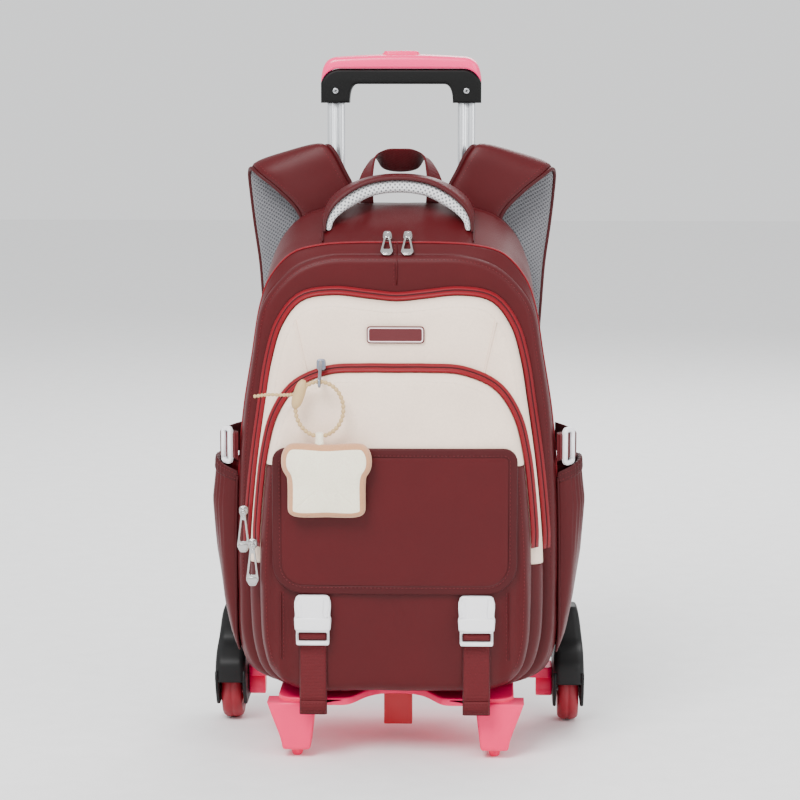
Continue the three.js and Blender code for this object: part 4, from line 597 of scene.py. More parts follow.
class Draft:
    """A mesh in the making, with finishes and a UV map in metres named fabric."""

    def __init__(self, name: str, *finishes: Finish) -> None:
        """Start an empty mesh.

        Args:
            name: Name of the piece.
            *finishes: Its finishes, in the order of the material numbers.
        """
        self.name = name
        self.finishes = finishes
        self.bm = bmesh.new()
        self.uv = self.bm.loops.layers.uv.new("fabric")

    def grid(self, rows: Sequence[Points], mat: int = 0, closed: bool = False, caps: bool = False) -> list:
        """Add a skin through rows of points.

        Args:
            rows: Rows of equal length.
            mat: Number of its finish.
            closed: Whether each row is a ring.
            caps: Whether the first and last ring are closed with a face each.

        Returns:
            The new faces.
        """
        table = np.array(rows, float)
        verts = [[self.bm.verts.new(p) for p in row] for row in table]
        wide = np.linalg.norm(np.diff(np.concatenate([table, table[:, :1]], axis=1), axis=1), axis=2)
        across = np.concatenate([[0], np.cumsum(wide.mean(axis=0))]) * MM
        high = np.linalg.norm(np.diff(table, axis=0), axis=2)
        along = np.concatenate([[0], np.cumsum(high.mean(axis=1))]) * MM
        count = table.shape[1]
        faces = []
        for r in range(len(verts) - 1):
            for i in range(count if closed else count - 1):
                j = (i + 1) % count
                face = self.bm.faces.new((verts[r][i], verts[r][j], verts[r + 1][j], verts[r + 1][i]))
                corners = ((i, r), (i + 1, r), (i + 1, r + 1), (i, r + 1))
                for loop, (u, v) in zip(face.loops, corners):
                    loop[self.uv].uv = (across[u], along[v])
                face.material_index = mat
                face.smooth = True
                faces.append(face)
        if caps:
            for ring in (verts[0][::-1], verts[-1]):
                face = self.bm.faces.new(ring)
                face.material_index = mat
                faces.append(face)
        return faces

    def tube(
        self, path: Points, radius: float | Sequence[float], sides: int = 8, mat: int = 0,
        closed: bool = False
    ) -> None:
        """Add a round bar along a line.

        Args:
            path: Its middle line.
            radius: Its radius, or one for each point.
            sides: Sides of its section.
            mat: Number of its finish.
            closed: Whether the line is closed.
        """
        line = [Vector(p) for p in path]
        radii = [radius] * len(line) if isinstance(radius, (int, float)) else list(radius)
        rings = []
        side = None
        for i, point in enumerate(line):
            after = line[(i + 1) % len(line)] if closed else line[min(i + 1, len(line) - 1)]
            before = line[i - 1] if closed else line[max(i - 1, 0)]
            along = (after - before).normalized()
            if side is None:
                side = along.orthogonal().normalized()
            side = (side - along * side.dot(along)).normalized()
            other = along.cross(side)
            turns = [FULL_TURN * k / sides for k in range(sides)]
            rings.append([point + (side * math.cos(t) + other * math.sin(t)) * radii[i] for t in turns])
        if closed:
            rings.append(rings[0])
        self.grid(rings, mat, closed=True, caps=not closed)

    def stitches(
        self, path: Points, mat: int = 0, pitch: float = 3.4, long: float = 2.3, thick: float = 0.55
    ) -> None:
        """Add a run of sewing stitches on a line.

        Args:
            path: The line.
            mat: Number of the thread's finish.
            pitch: From one stitch to the next.
            long: Length of a stitch.
            thick: Thickness of the thread.
        """
        count = max(2, round(line_length(np.asarray(path)) / pitch))
        line = even_steps(np.asarray(path, float), count)
        for i, point in enumerate(line):
            along = Vector(line[min(i + 1, count - 1)] - line[max(i - 1, 0)]).normalized()
            side = along.orthogonal().normalized() * thick / 2
            other = along.cross(side)
            middle = Vector(point)
            tips = [self.bm.verts.new(middle + along * long * s / 2) for s in (-1, 1)]
            belt = [self.bm.verts.new(middle + v) for v in (side, other, -side, -other)]
            for k in range(4):
                for tip, order in ((tips[1], 1), (tips[0], -1)):
                    face = self.bm.faces.new((belt[k], belt[(k + 1) % 4], tip)[::order])
                    face.material_index = mat
                    face.smooth = True

    def plate(
        self,
        loops: Sequence[Sequence[tuple[float, float]]],
        plane: Plane | Matrix,
        low: float,
        high: float,
        bevel: float = 0.6,
        mat: int = 0,
        segments: int = 3,
    ) -> None:
        """Add a flat plate with rounded edges and holes.

        Args:
            loops: Its outline and then its holes.
            plane: The plane it is drawn in, or a matrix that places it.
            low: Lower bound on the axis across the plane; for FRONT that axis points to the front.
            high: Upper bound on that axis.
            bevel: Rounding of its edges.
            mat: Number of its finish.
            segments: Facets of the rounding.
        """
        curve = bpy.data.curves.new("plate", "CURVE")
        curve.dimensions = "2D"
        curve.fill_mode = "BOTH"
        curve.extrude = (high - low) / 2 - bevel
        curve.bevel_depth = bevel
        curve.bevel_resolution = segments - 1
        curve.offset = -bevel
        for loop in loops:
            spline = curve.splines.new("POLY")
            spline.points.add(len(loop) - 1)
            for point, (x, y) in zip(spline.points, loop):
                point.co = (x, y, 0, 1)
            spline.use_cyclic_u = True
        holder = bpy.data.objects.new("plate", curve)
        mesh = bpy.data.meshes.new_from_object(holder)
        frame = plane.value if isinstance(plane, Plane) else plane
        mesh.transform(frame @ Matrix.Translation((0, 0, (low + high) / 2)))
        self.take(mesh, mat)
        bpy.data.objects.remove(holder)
        bpy.data.curves.remove(curve)

    def take(self, mesh: bpy.types.Mesh, mat: int) -> None:
        """Add a mesh that is drawn in millimetres, and drop it.

        Args:
            mesh: The mesh.
            mat: Number of its finish.
        """
        part = bmesh.new()
        part.from_mesh(mesh)
        bmesh.ops.remove_doubles(part, verts=part.verts, dist=1e-4)
        copies = {v: self.bm.verts.new(v.co) for v in part.verts}
        for face in part.faces:
            made = self.bm.faces.new([copies[v] for v in face.verts])
            made.material_index = mat
            made.smooth = True
        part.free()
        bpy.data.meshes.remove(mesh)

    def lathe(
        self, profile: Sequence[tuple[float, float]], centre: tuple[float, float, float], mat: int = 0,
        sides: int = 64
    ) -> None:
        """Add a body turned about an axis along X.

        Args:
            profile: Radius and place along X, as a closed line.
            centre: Its middle.
            mat: Number of its finish.
            sides: Sides of the turned body.
        """
        rows = []
        for radius, at in [*profile, profile[0]]:
            turns = [FULL_TURN * k / sides for k in range(sides)]
            rows.append([
                (centre[0] + at, centre[1] + radius * math.cos(t), centre[2] + radius * math.sin(t))
                for t in turns
            ])
        self.grid(rows, mat, closed=True)

    def crumple(self, *kinds: Wrinkles, keep: Callable[[Vector], float] | None = None) -> None:
        """Press soft dents into the mesh.

        Args:
            *kinds: The dents.
            keep: Share of the depth at a point, or None for all of it.
        """
        self.bm.normal_update()
        moves = []
        for vert in self.bm.verts:
            share = keep(vert.co) if keep else 1.0
            sink = 0.0
            for kind in kinds:
                at = Vector([vert.co[k] / (kind.size * kind.stretch[k]) for k in range(3)])
                wave = noise.noise(at + Vector((kind.seed, 3.1 * kind.seed, 7.7)))
                sink += kind.deep * (0.5 + 0.5 * wave) ** 2
            moves.append(vert.normal * (-sink * share))
        for vert, move in zip(self.bm.verts, moves):
            vert.co += move

    def cut(self, z: float, keep_above: bool) -> None:
        """Keep only what is above or below a height."""
        bmesh.ops.bisect_plane(
            self.bm,
            geom=[*self.bm.verts, *self.bm.edges, *self.bm.faces],
            plane_co=(0, 0, z),
            plane_no=(0, 0, 1),
            clear_inner=keep_above,
            clear_outer=not keep_above,
        )

    def piece(
        self,
        body: str,
        slot: str,
        replaces: Sequence[str] = (),
        thick: float = 0.0,
        mirror: bool = False,
    ) -> bpy.types.Object:
        """Turn the draft into a piece of the model.

        Args:
            body: The body it rides on.
            slot: The material slot of its finish; not used.
            replaces: The solids it stands for.
            thick: Thickness that an open skin gets on its inner side.
            mirror: Whether it is mirrored to the left side.

        Returns:
            The new object.
        """
        bmesh.ops.remove_doubles(self.bm, verts=self.bm.verts, dist=1e-3)
        bmesh.ops.recalc_face_normals(self.bm, faces=self.bm.faces)
        for vert in self.bm.verts:
            x = -vert.co.x if mirror else vert.co.x
            vert.co = Vector((x, vert.co.y + Y_SHIFT, vert.co.z)) * MM
        if mirror:
            bmesh.ops.reverse_faces(self.bm, faces=self.bm.faces)
        mesh = bpy.data.meshes.new(self.name)
        self.bm.to_mesh(mesh)
        self.bm.free()
        for finish in self.finishes:
            mesh.materials.append(finish.material())
        made = put(self.name, mesh)
        if thick:
            shell = made.modifiers.new("cloth thickness", "SOLIDIFY")
            shell.thickness = thick * MM
            shell.offset = -1.0
        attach(made, body)
        if replaces:
            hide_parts(*replaces)
        LOG.info("%s: %d faces", self.name, len(mesh.polygons))
        return made


def dome(depth: float, crown: float, half: float, bottom: float, height: float) -> Depth:
    """Make the depth function of a face that swells towards the front.

    Args:
        depth: Depth at its edge.
        crown: How far its middle stands out.
        half: Half its width.
        bottom: Height of its lower edge.
        height: Its height.

    Returns:
        The depth as a function of x and z.
    """

    def at(x: float, z: float) -> float:
        """Depth of the panel at a point."""
        across = min(1.0, abs(x) / half)
        along = min(1.0, abs(z - bottom - height / 2) / (height / 2))
        return depth - crown * (1 - across**2) * (1 - along**2)

    return at


def circle(radius: float, count: int) -> list[tuple[float, float]]:
    """Draw a circle about the origin."""
    turns = np.linspace(0, FULL_TURN, count, False)
    return [(radius * math.cos(t), radius * math.sin(t)) for t in turns]


def with_mirror(right: Sequence[tuple[float, float]]) -> list[tuple[float, float]]:
    """Close a right half with its own mirror image."""
    return [*right, *((-x, z) for x, z in right[::-1])]


def signed_power(value: float, power: float) -> float:
    """Raise a number's size to a power and keep its sign."""
    return math.copysign(abs(value) ** power, value)


def rounded(
    wide: float, high: float, corner: float, cx: float = 0.0, cy: float = 0.0, steps: int = 6
) -> list[tuple[float, float]]:
    """Draw a rectangle with round corners.

    Args:
        wide: Its width.
        high: Its height.
        corner: Radius of its corners.
        cx: Its middle, across.
        cy: Its middle, up.
        steps: Steps of a corner.

    Returns:
        Its points, anticlockwise.
    """
    points = []
    for k, (sx, sy) in enumerate(((1, -1), (1, 1), (-1, 1), (-1, -1))):
        for step in range(steps + 1):
            turn = math.pi / 2 * (k - 1 + step / steps)
            x = cx + sx * (wide / 2 - corner) + corner * math.cos(turn)
            points.append((x, cy + sy * (high / 2 - corner) + corner * math.sin(turn)))
    return points


def bezier(start: Sequence[float], *controls: Sequence[float], steps: int = 10) -> list[tuple[float, float]]:
    """Draw a Bezier curve, without its first point.

    Args:
        start: First point.
        *controls: The other control points.
        steps: Steps along it.

    Returns:
        Its points.
    """
    poles = [np.array(p, float) for p in (start, *controls)]
    out = []
    for t in np.linspace(0, 1, steps + 1)[1:]:
        level = poles
        while len(level) > 1:
            level = [a * (1 - t) + b * t for a, b in zip(level, level[1:])]
        out.append(tuple(level[0]))
    return out


@dataclass
class Studio:
    """The camera at the photograph's angle, a pale floor and soft lights."""

    at: tuple[float, float, float] = (0.078, -2.4175, 0.629)
    pitch: float = 82.42
    turn: float = 1.81
    lens: float = 122.94
    sensor: float = 36.0
    floor_size: float = 14.0
    surround: str = "#FAFBFC"
    surround_strength: float = 1.2

    AIM = (0, 0, 0.3)
    # name, place, side of the square lamp and power
    LAMPS = (
        ("key", (-0.8, -1.8, 2.3), 1.2, 92),
        ("fill", (1.9, -1.7, 1.3), 1.6, 26),
        ("rear", (0.6, 2.0, 1.9), 1.6, 48),
    )

    def make_camera(self) -> None:
        """Set the camera up."""
        data = bpy.data.cameras.new("camera")
        data.lens = self.lens
        data.sensor_width = self.sensor
        camera = put("camera", data)
        camera.location = self.at
        camera.rotation_euler = (math.radians(self.pitch), 0, math.radians(self.turn))
        bpy.context.scene.camera = camera

    def make_floor(self) -> None:
        """Lay the floor."""
        half = self.floor_size / 2
        mesh = bpy.data.meshes.new("floor")
        corners = [(-half, -half, 0), (half, -half, 0), (half, half, 0), (-half, half, 0)]
        mesh.from_pydata(corners, [], [(0, 1, 2, 3)])
        mesh.materials.append(FLOOR.material())
        put("floor", mesh)

    def add_light(self, name: str, at: tuple[float, float, float], size: float, watts: float) -> None:
        """Hang a soft light that points at the object.

        Args:
            name: Its name.
            at: Its place.
            size: Side of the square lamp.
            watts: Its power.
        """
        data = bpy.data.lights.new(name, "AREA")
        data.shape = "SQUARE"
        data.size = size
        data.energy = watts
        lamp = put(name, data)
        lamp.location = at
        lamp.rotation_euler = (Vector(self.AIM) - Vector(at)).to_track_quat("-Z", "Y").to_euler()

    def make_lights(self) -> None:
        """Hang the lights and set the pale surround."""
        for name, at, size, watts in self.LAMPS:
            self.add_light(name, at, size, watts)
        world = bpy.data.worlds.new("surround")
        world.use_nodes = True
        shade = {"Color": linear(self.surround), "Strength": self.surround_strength}
        set_inputs(world.node_tree.nodes["Background"], shade)
        bpy.context.scene.world = world

    def make(self) -> None:
        """Set the studio up."""
        self.make_camera()
        self.make_floor()
        self.make_lights()


# ---------------------------------------------------------------- bag

LOWER_ROWS = (
    (0, 0), (0.63, 0), (0.8, 0.008), (0.93, 0.035), (0.99, 0.09), (1, 0.2), (0.995, 0.35),
    (0.98, 0.485), (0.951, 0.588), (0.899, 0.696), (0.846, 0.802),
)
REAR_ROWS = LOWER_ROWS + ((0.8, 0.88), (0.715, 0.94), (0.6, 0.975), (0.42, 0.993), (0.2, 1), (0, 1))
ZIP_ROWS = LOWER_ROWS + ((0.785, 0.858), (0.65, 0.908), (0.47, 0.925), (0.24, 0.93), (0, 0.93))
SEAM_ROWS = (
    (0, 0.004), (0.6, 0.004), (0.78, 0.014), (0.9, 0.042), (0.965, 0.1), (0.98, 0.2), (0.98, 0.35),
    (0.965, 0.485), (0.94, 0.588), (0.89, 0.696), (0.833, 0.8), (0.734, 0.85), (0.6, 0.887),
    (0.42, 0.906), (0.2, 0.908), (0, 0.908),
)
BIG_ROWS = (
    (0, 0), (0.6, 0), (0.79, 0.012), (0.92, 0.05), (0.98, 0.115), (1, 0.2), (1, 0.34), (0.985, 0.43),
    (0.945, 0.58), (0.887, 0.732), (0.84, 0.84), (0.77, 0.925), (0.64, 0.985), (0.43, 1), (0.2, 0.992),
    (0, 0.985),
)
SMALL_ROWS = (
    (0, 0), (0.58, 0), (0.78, 0.014), (0.92, 0.062), (0.98, 0.14), (1, 0.26), (1, 0.436), (0.975, 0.6),
    (0.93, 0.755), (0.86, 0.865), (0.725, 0.948), (0.49, 0.993), (0.24, 1), (0, 1),
)
EDGE_TURNS = (0.0, 0.18, 0.36, 0.54, 0.72, 0.88, 1.0)
FACE_SHARES = (
    0.985, 0.96, 0.93, 0.89, 0.84, 0.78, 0.71, 0.64, 0.56, 0.48, 0.4, 0.32, 0.24, 0.16, 0.09, 0.03, 0.0
)


def edge_rows(
    outline: Outline, face: Depth, radius: float, turns: Sequence[float] = EDGE_TURNS
) -> list[Points]:
    """Draw the rings of a rounded edge that ends on a face.

    Args:
        outline: Outline before the edge turns in.
        face: Depth of the face.
        radius: Radius of the edge.
        turns: Shares of the quarter turn.

    Returns:
        One ring for each share.
    """
    rows = []
    for share in turns:
        angle = share * math.pi / 2
        back = radius * (1 - math.sin(angle))
        rows.append(outline.inset(radius * (1 - math.cos(angle))).ring(lambda x, z: face(x, z) + back))
    return rows


def face_rows(outline: Outline, face: Depth) -> list[Points]:
    """Draw the rings that close a face towards its middle."""
    return [outline.shrink(share).ring(face) for share in FACE_SHARES]


def band_section(draft: Draft, sections: Sequence[Points], groove: Iterable[int]) -> None:
    """Add a band through closed sections, with the groove's faces in the second finish, which paints the
    shade in the groove.

    Args:
        draft: The mesh.
        sections: Its sections, each a closed ring.
        groove: Numbers of the section's sides that lie in the groove.
    """
    dark = set(groove)
    count = len(sections[0])
    for k, face in enumerate(draft.grid(sections, closed=True, caps=True)):
        face.material_index = 1 if k % count in dark else 0


ZIP_PROFILE = (
    (0.0, -0.6), (0.02, 0.5), (0.1, 0.9), (0.3, 1.05), (0.42, 0.95), (0.46, 0.15), (0.54, 0.15),
    (0.58, 0.95), (0.7, 1.05), (0.9, 0.9), (0.98, 0.5), (1.0, -0.6),
)
# Sides of ZIP_PROFILE that lie in the groove and take its painted shade.
ZIP_GROOVE_SIDES = (4, 5, 6)


@dataclass
class BagBody:
    """The main compartment: back panel, gussets, front panel and the zip round its arch."""

    half: float = 143.0
    bottom: float = 54.0
    height: float = 425.0
    back_y: float = 85.0
    crest_y: float = 58.0
    seam_y: float = -14.0
    edge: float = 8.0
    back_edge: float = 12.0
    back_pad: float = 4.0
    zip_wide: float = 7.0
    zip_from: float = 0.185
    seam_deep: float = 1.3
    handle_seam_x: float = 66.5
    stitched_from: float = 150.0

    def __post_init__(self) -> None:
        """Draw the three outlines."""
        self.rear = Outline.from_rows(REAR_ROWS, self.half, self.bottom, self.height)
        self.zip = Outline.from_rows(ZIP_ROWS, self.half, self.bottom, self.height)
        self.seam = Outline.from_rows(SEAM_ROWS, self.half, self.bottom, self.height)
        self.panel_y = self.seam_y - self.edge

    def panel(self, x: float, z: float) -> float:
        """Depth of the front panel."""
        return self.panel_y

    def back(self, x: float, z: float) -> float:
        """Depth of the back panel."""
        return -dome(-self.back_y, self.back_pad, self.half, self.bottom, self.height)(x, z)

    def side_at(self, z: float, reach: float = 8.0) -> float:
        """Widest half width of the body within a few millimetres of a height."""
        outlines = (self.rear, self.zip, self.seam)
        return max(o.half_width(z + d) for o in outlines for d in (-reach, 0.0, reach))

    def gusset_top(self, x: float, y: float) -> float:
        """Height of the top gusset at a point."""
        share = min(1.0, max(0.0, y / self.crest_y))
        return self.zip.top(x) * (1 - share) + self.rear.top(x) * share

    def rim(self, sign: float) -> Points:
        """Depth of a half's open rim at each point of the outline: sign is 1 for the rear half."""
        count = len(self.zip.points)
        shares = [min(i, count - i) / count for i in range(count)]
        opened = [smooth_step(s, self.zip_from - 0.012, self.zip_from) for s in shares]
        return np.array([sign * (GAP / 2 + self.zip_wide / 2 * o) for o in opened])

    def gusset(self, other: Outline, rim: Points, y: float, share: float, inset: float = 0.0) -> Points:
        """A ring of a gusset, at a share of the way from the zip's rim to another outline."""
        mixed = self.zip.mix(other, share).inset(inset)
        return np.column_stack([mixed.points[:, 0], rim * (1 - share) + y * share, mixed.points[:, 1]])

    def make_rear(self) -> None:
        """Make the back panel with its gusset."""
        draft = Draft("main_compartment_back", MAROON, MAROON_BINDING, MAROON_THREAD)
        rim = self.rim(1)
        hems = ((0.0, 0.9), (0.012, 0.2), (0.04, 0.0))
        rows = [self.gusset(self.rear, rim, self.crest_y, share, inset) for share, inset in hems]
        rows += [self.gusset(self.rear, rim, self.crest_y, share) for share in np.linspace(0.1, 1, 14)]
        rows.append(self.rear.ring((self.crest_y + self.back_y - self.back_edge) / 2))
        behind = edge_rows(self.rear, lambda x, z: -self.back(x, z), self.back_edge)
        rows += [row * (1, -1, 1) for row in behind]
        inner = self.rear.inset(self.back_edge)
        rows += [row * (1, -1, 1) for row in face_rows(inner, lambda x, z: -self.back(x, z))]
        draft.grid(rows, closed=True)
        draft.crumple(
            Wrinkles(2.0, 70, (1.4, 0.7, 0.8), 1.3),
            Wrinkles(1.2, 26, (1.0, 0.8, 2.0), 5.1),
            keep=lambda p: smooth_step(p.y, 6, 22) * (1 - 0.75 * smooth_step(p.y, 70, 84)),
        )
        trim = Draft("main_compartment_back_trim", MAROON_BINDING, MAROON_THREAD)
        trim.tube(self.rear.inset(1.6).ring(self.back_y - 7), 2.3, closed=True)
        trim.stitches(inner.inset(2).ring(lambda x, z: self.back(x, z) - 0.1), mat=1)
        for share in (0.62, 0.34):
            line = inner.shrink(share).ring(lambda x, z: self.back(x, z) - 0.05)
            trim.tube(line, 0.55, 6, closed=True)
            trim.stitches(inner.shrink(share - 0.02).ring(lambda x, z: self.back(x, z) - 0.1), mat=1)
        upper = self.zip.part(self.stitched_from)
        hem = [(x * 0.999, 6.6, z - 0.4 + 0.6 * smooth_step(z, 380, 460)) for x, z in upper]
        trim.stitches(hem, mat=1)
        for side in (-1, 1):
            x = side * self.handle_seam_x
            line = np.array([(x, y, self.gusset_top(x, y) + 0.2) for y in np.linspace(5, 52, 24)])
            trim.tube(line, 0.8, 6)
            trim.stitches(line + (side * 2.2, 0, -0.9), mat=1)
        draft.piece("bag", "maroon_cloth", ["rear_body"], thick=CLOTH)
        trim.piece("bag", "maroon_cloth")

    def make_front(self) -> None:
        """Make the front panel with its gusset."""
        draft = Draft("main_compartment_front", MAROON)
        rim = self.rim(-1)
        hems = ((0.0, 0.9), (0.05, 0.2), (0.12, 0.0))
        rows = [self.gusset(self.seam, rim, self.seam_y, share, inset) for share, inset in hems]
        rows += [
            self.gusset(self.seam, rim, self.seam_y, share) for share in (0.25, 0.4, 0.55, 0.7, 0.82, 0.91)
        ]
        rows.append(self.gusset(self.seam, rim, self.seam_y, 0.96, 0.35))
        rows.append(self.gusset(self.seam, rim, self.seam_y, 1.0, self.seam_deep))
        rows += edge_rows(self.seam, self.panel, self.edge, (0.12, 0.2, 0.36, 0.54, 0.72, 0.88, 1.0))
        rows += face_rows(self.seam.inset(self.edge), self.panel)
        draft.grid(rows, closed=True)
        draft.crumple(
            Wrinkles(0.9, 55, (1.5, 1.0, 0.8), 2.2),
            keep=lambda p: smooth_step(-p.y, 4, 9),
        )
        trim = Draft("main_compartment_front_trim", MAROON, MAROON_THREAD)
        top = self.zip.top(0)
        centre = [
            (0, -3.6 - 10.4 * s, top + (self.seam.top(0) - top) * s + 0.1) for s in np.linspace(0, 0.95, 8)
        ]
        centre += [(0, self.panel_y + 0.1, z) for z in (self.seam.top(0) - 6, self.seam.top(0) - 26)]
        line = smooth_curve(centre, per=4)
        trim.tube(line, 0.7, 6)
        trim.stitches(line + (-2.4, -0.2, 0.1), mat=1)
        seam = self.seam.inset(4.2).part(self.stitched_from)
        trim.stitches([(x, self.panel_y + 0.75, z) for x, z in seam], mat=1)
        draft.piece("bag", "maroon_cloth", ["front_body"], thick=CLOTH)
        trim.piece("bag", "maroon_cloth")

    def make_zip(self) -> None:
        """Make the zip strip of the main compartment: two coated tapes that meet in a groove."""
        draft = Draft("main_compartment_zip", ZIP_TAPE, ZIP_GROOVE_SHADE)
        count = len(self.zip.points)
        start = round((self.zip_from + 0.003) * count)
        out = self.zip.outward()
        wide = self.zip_wide - GAP
        sections = []
        for i in range(start, count - start + 1):
            p, n = self.zip.points[i], out[i]
            ring = [
                (p[0] + n[0] * lift, (share - 0.5) * wide, p[1] + n[1] * lift) for share, lift in ZIP_PROFILE
            ]
            sections.append(ring)
        band_section(draft, sections, ZIP_GROOVE_SIDES)
        draft.piece("bag", "zip_tape", ["main_zip"])

    def make(self) -> None:
        """Make every piece of the main compartment."""
        self.make_rear()
        self.make_front()
        self.make_zip()


@dataclass
class PocketShape:
    """What a front pocket is drawn from: its outline, its panel and its face."""

    outline: Outline
    panel: Depth
    face: Depth
    edge: float
    front: float

    def shell(self, draft: Draft) -> None:
        """Add the pocket's gusset, rounded edge and face."""
        rim = self.outline.ring(lambda x, z: self.panel(x, z) - SEAT)
        first = edge_rows(self.outline, self.face, self.edge, (0.0,))[0]
        rows = [rim * (1 - s) + first * s for s in (0.0, 0.25, 0.5, 0.75, 0.9)]
        rows += edge_rows(self.outline, self.face, self.edge)
        rows += face_rows(self.outline.inset(self.edge), self.face)
        draft.grid(rows, closed=True)

    def half(
        self, name: str, finish: Finish, slot: str, replaced: str, cut: float, above: bool,
        dents: Sequence[Wrinkles]
    ) -> None:
        """Make the part of the pocket above or below a change of cloth.

        Args:
            name: Name of the piece.
            finish: Its finish.
            slot: Its material slot.
            replaced: The solid it stands for.
            cut: Height of the change.
            above: Whether the part above it is kept.
            dents: The dents of the cloth.
        """
        draft = Draft(name, finish)
        self.shell(draft)
        draft.crumple(*dents, keep=lambda p: smooth_step(self.front - p.y, 6, 16))
        draft.cut(cut + (GAP / 2 if above else -GAP / 2), above)
        draft.piece("bag", slot, [replaced], thick=CLOTH)

    def cove_zip(self, name: str, end_z: float, replaced: str, wide: float = 7.0) -> None:
        """Make the slanting zip in the corner between the pocket and its panel.

        Args:
            name: Name of the piece.
            end_z: Height where the zip ends.
            replaced: The solid it stands for.
            wide: Its width, seen from the front.
        """
        draft = Draft(name, ZIP_TAPE, ZIP_GROOVE_SHADE, MAROON_THREAD)
        count = len(self.outline.points)
        kept = [i for i in range(count) if self.outline.points[i][1] > end_z]
        start = next(i for i in kept if self.outline.points[i][0] > 0)
        outward = self.outline.outward()
        lean = math.sqrt(0.5)
        sections = []
        for i in range(start, start + len(kept)):
            p, n = self.outline.points[i % count], outward[i % count]
            y = self.panel(p[0], p[1]) - GAP
            fade = min(1.0, (i - start + 0.4) / 3, (start + len(kept) - i - 0.6) / 3)
            ring = []
            for share, lift in ZIP_PROFILE:
                out = wide + (GAP - wide) * share
                rise = (lift + 1.0) * fade * lean
                x, z = p[0] + n[0] * (out + rise), p[1] + n[1] * (out + rise)
                ring.append((x, y - wide * share - rise, z))
            sections.append(ring)
        band_section(draft, sections, ZIP_GROOVE_SIDES)
        draft.piece("bag", "zip_tape", [replaced])


@dataclass
class BigPocket:
    """The big front pocket: cream above, maroon below, with a slanting zip round it."""

    body: BagBody
    half: float = 129.0
    bottom: float = 58.0
    height: float = 347.0
    deep: float = 30.0
    edge: float = 12.0
    crown: float = 4.0
    zip_end: float = 176.0
    cream_end: float = 172.0

    def __post_init__(self) -> None:
        """Draw the outline and the face."""
        outline = Outline.from_rows(BIG_ROWS, self.half, self.bottom, self.height)
        face = dome(self.body.panel_y - self.deep, self.crown, self.half, self.bottom, self.height)
        self.shape = PocketShape(outline, self.body.panel, face, self.edge, self.body.panel_y)

    def make_seams(self) -> None:
        """Make the slanting seams of the cream face and the stitching beside the zip."""
        draft = Draft("big_pocket_seams", CREAM, CREAM_THREAD)
        face = self.shape.face
        for side in (-1, 1):
            xs = np.linspace(side * 87, side * 75, 24)
            zs = np.linspace(386, 332, 24)
            line = np.array([(x, face(x, z) + 0.1, z) for x, z in zip(xs, zs)])
            draft.tube(line, 0.75, 6)
            draft.stitches(line + (side * 2.6, -0.15, 0), mat=1)
        inner = self.shape.outline.inset(self.edge * 0.62).part(self.cream_end + 6)
        hem = np.array([(x, face(x, z) + self.edge * 0.09, z) for x, z in inner])
        draft.stitches(hem, mat=1)
        draft.piece("bag", "cream_cloth")

    def make(self) -> None:
        """Make every piece of the pocket."""
        cream = (Wrinkles(1.1, 60, (1.0, 1.0, 1.6), 4.4), Wrinkles(0.35, 20, (1.0, 1.0, 2.2), 9.2))
        flanks = (Wrinkles(2.6, 42, (0.7, 0.8, 2.2), 6.1), Wrinkles(1.0, 16, (0.8, 1.0, 2.4), 3.2))
        end = self.cream_end
        self.shape.half("big_pocket_cream", CREAM, "cream_cloth", "big_pocket", end, True, cream)
        self.shape.half("big_pocket_flanks", MAROON, "maroon_cloth", "big_pocket_base", end, False, flanks)
        self.make_seams()
        self.shape.cove_zip("big_pocket_zip", self.zip_end, "big_zip")


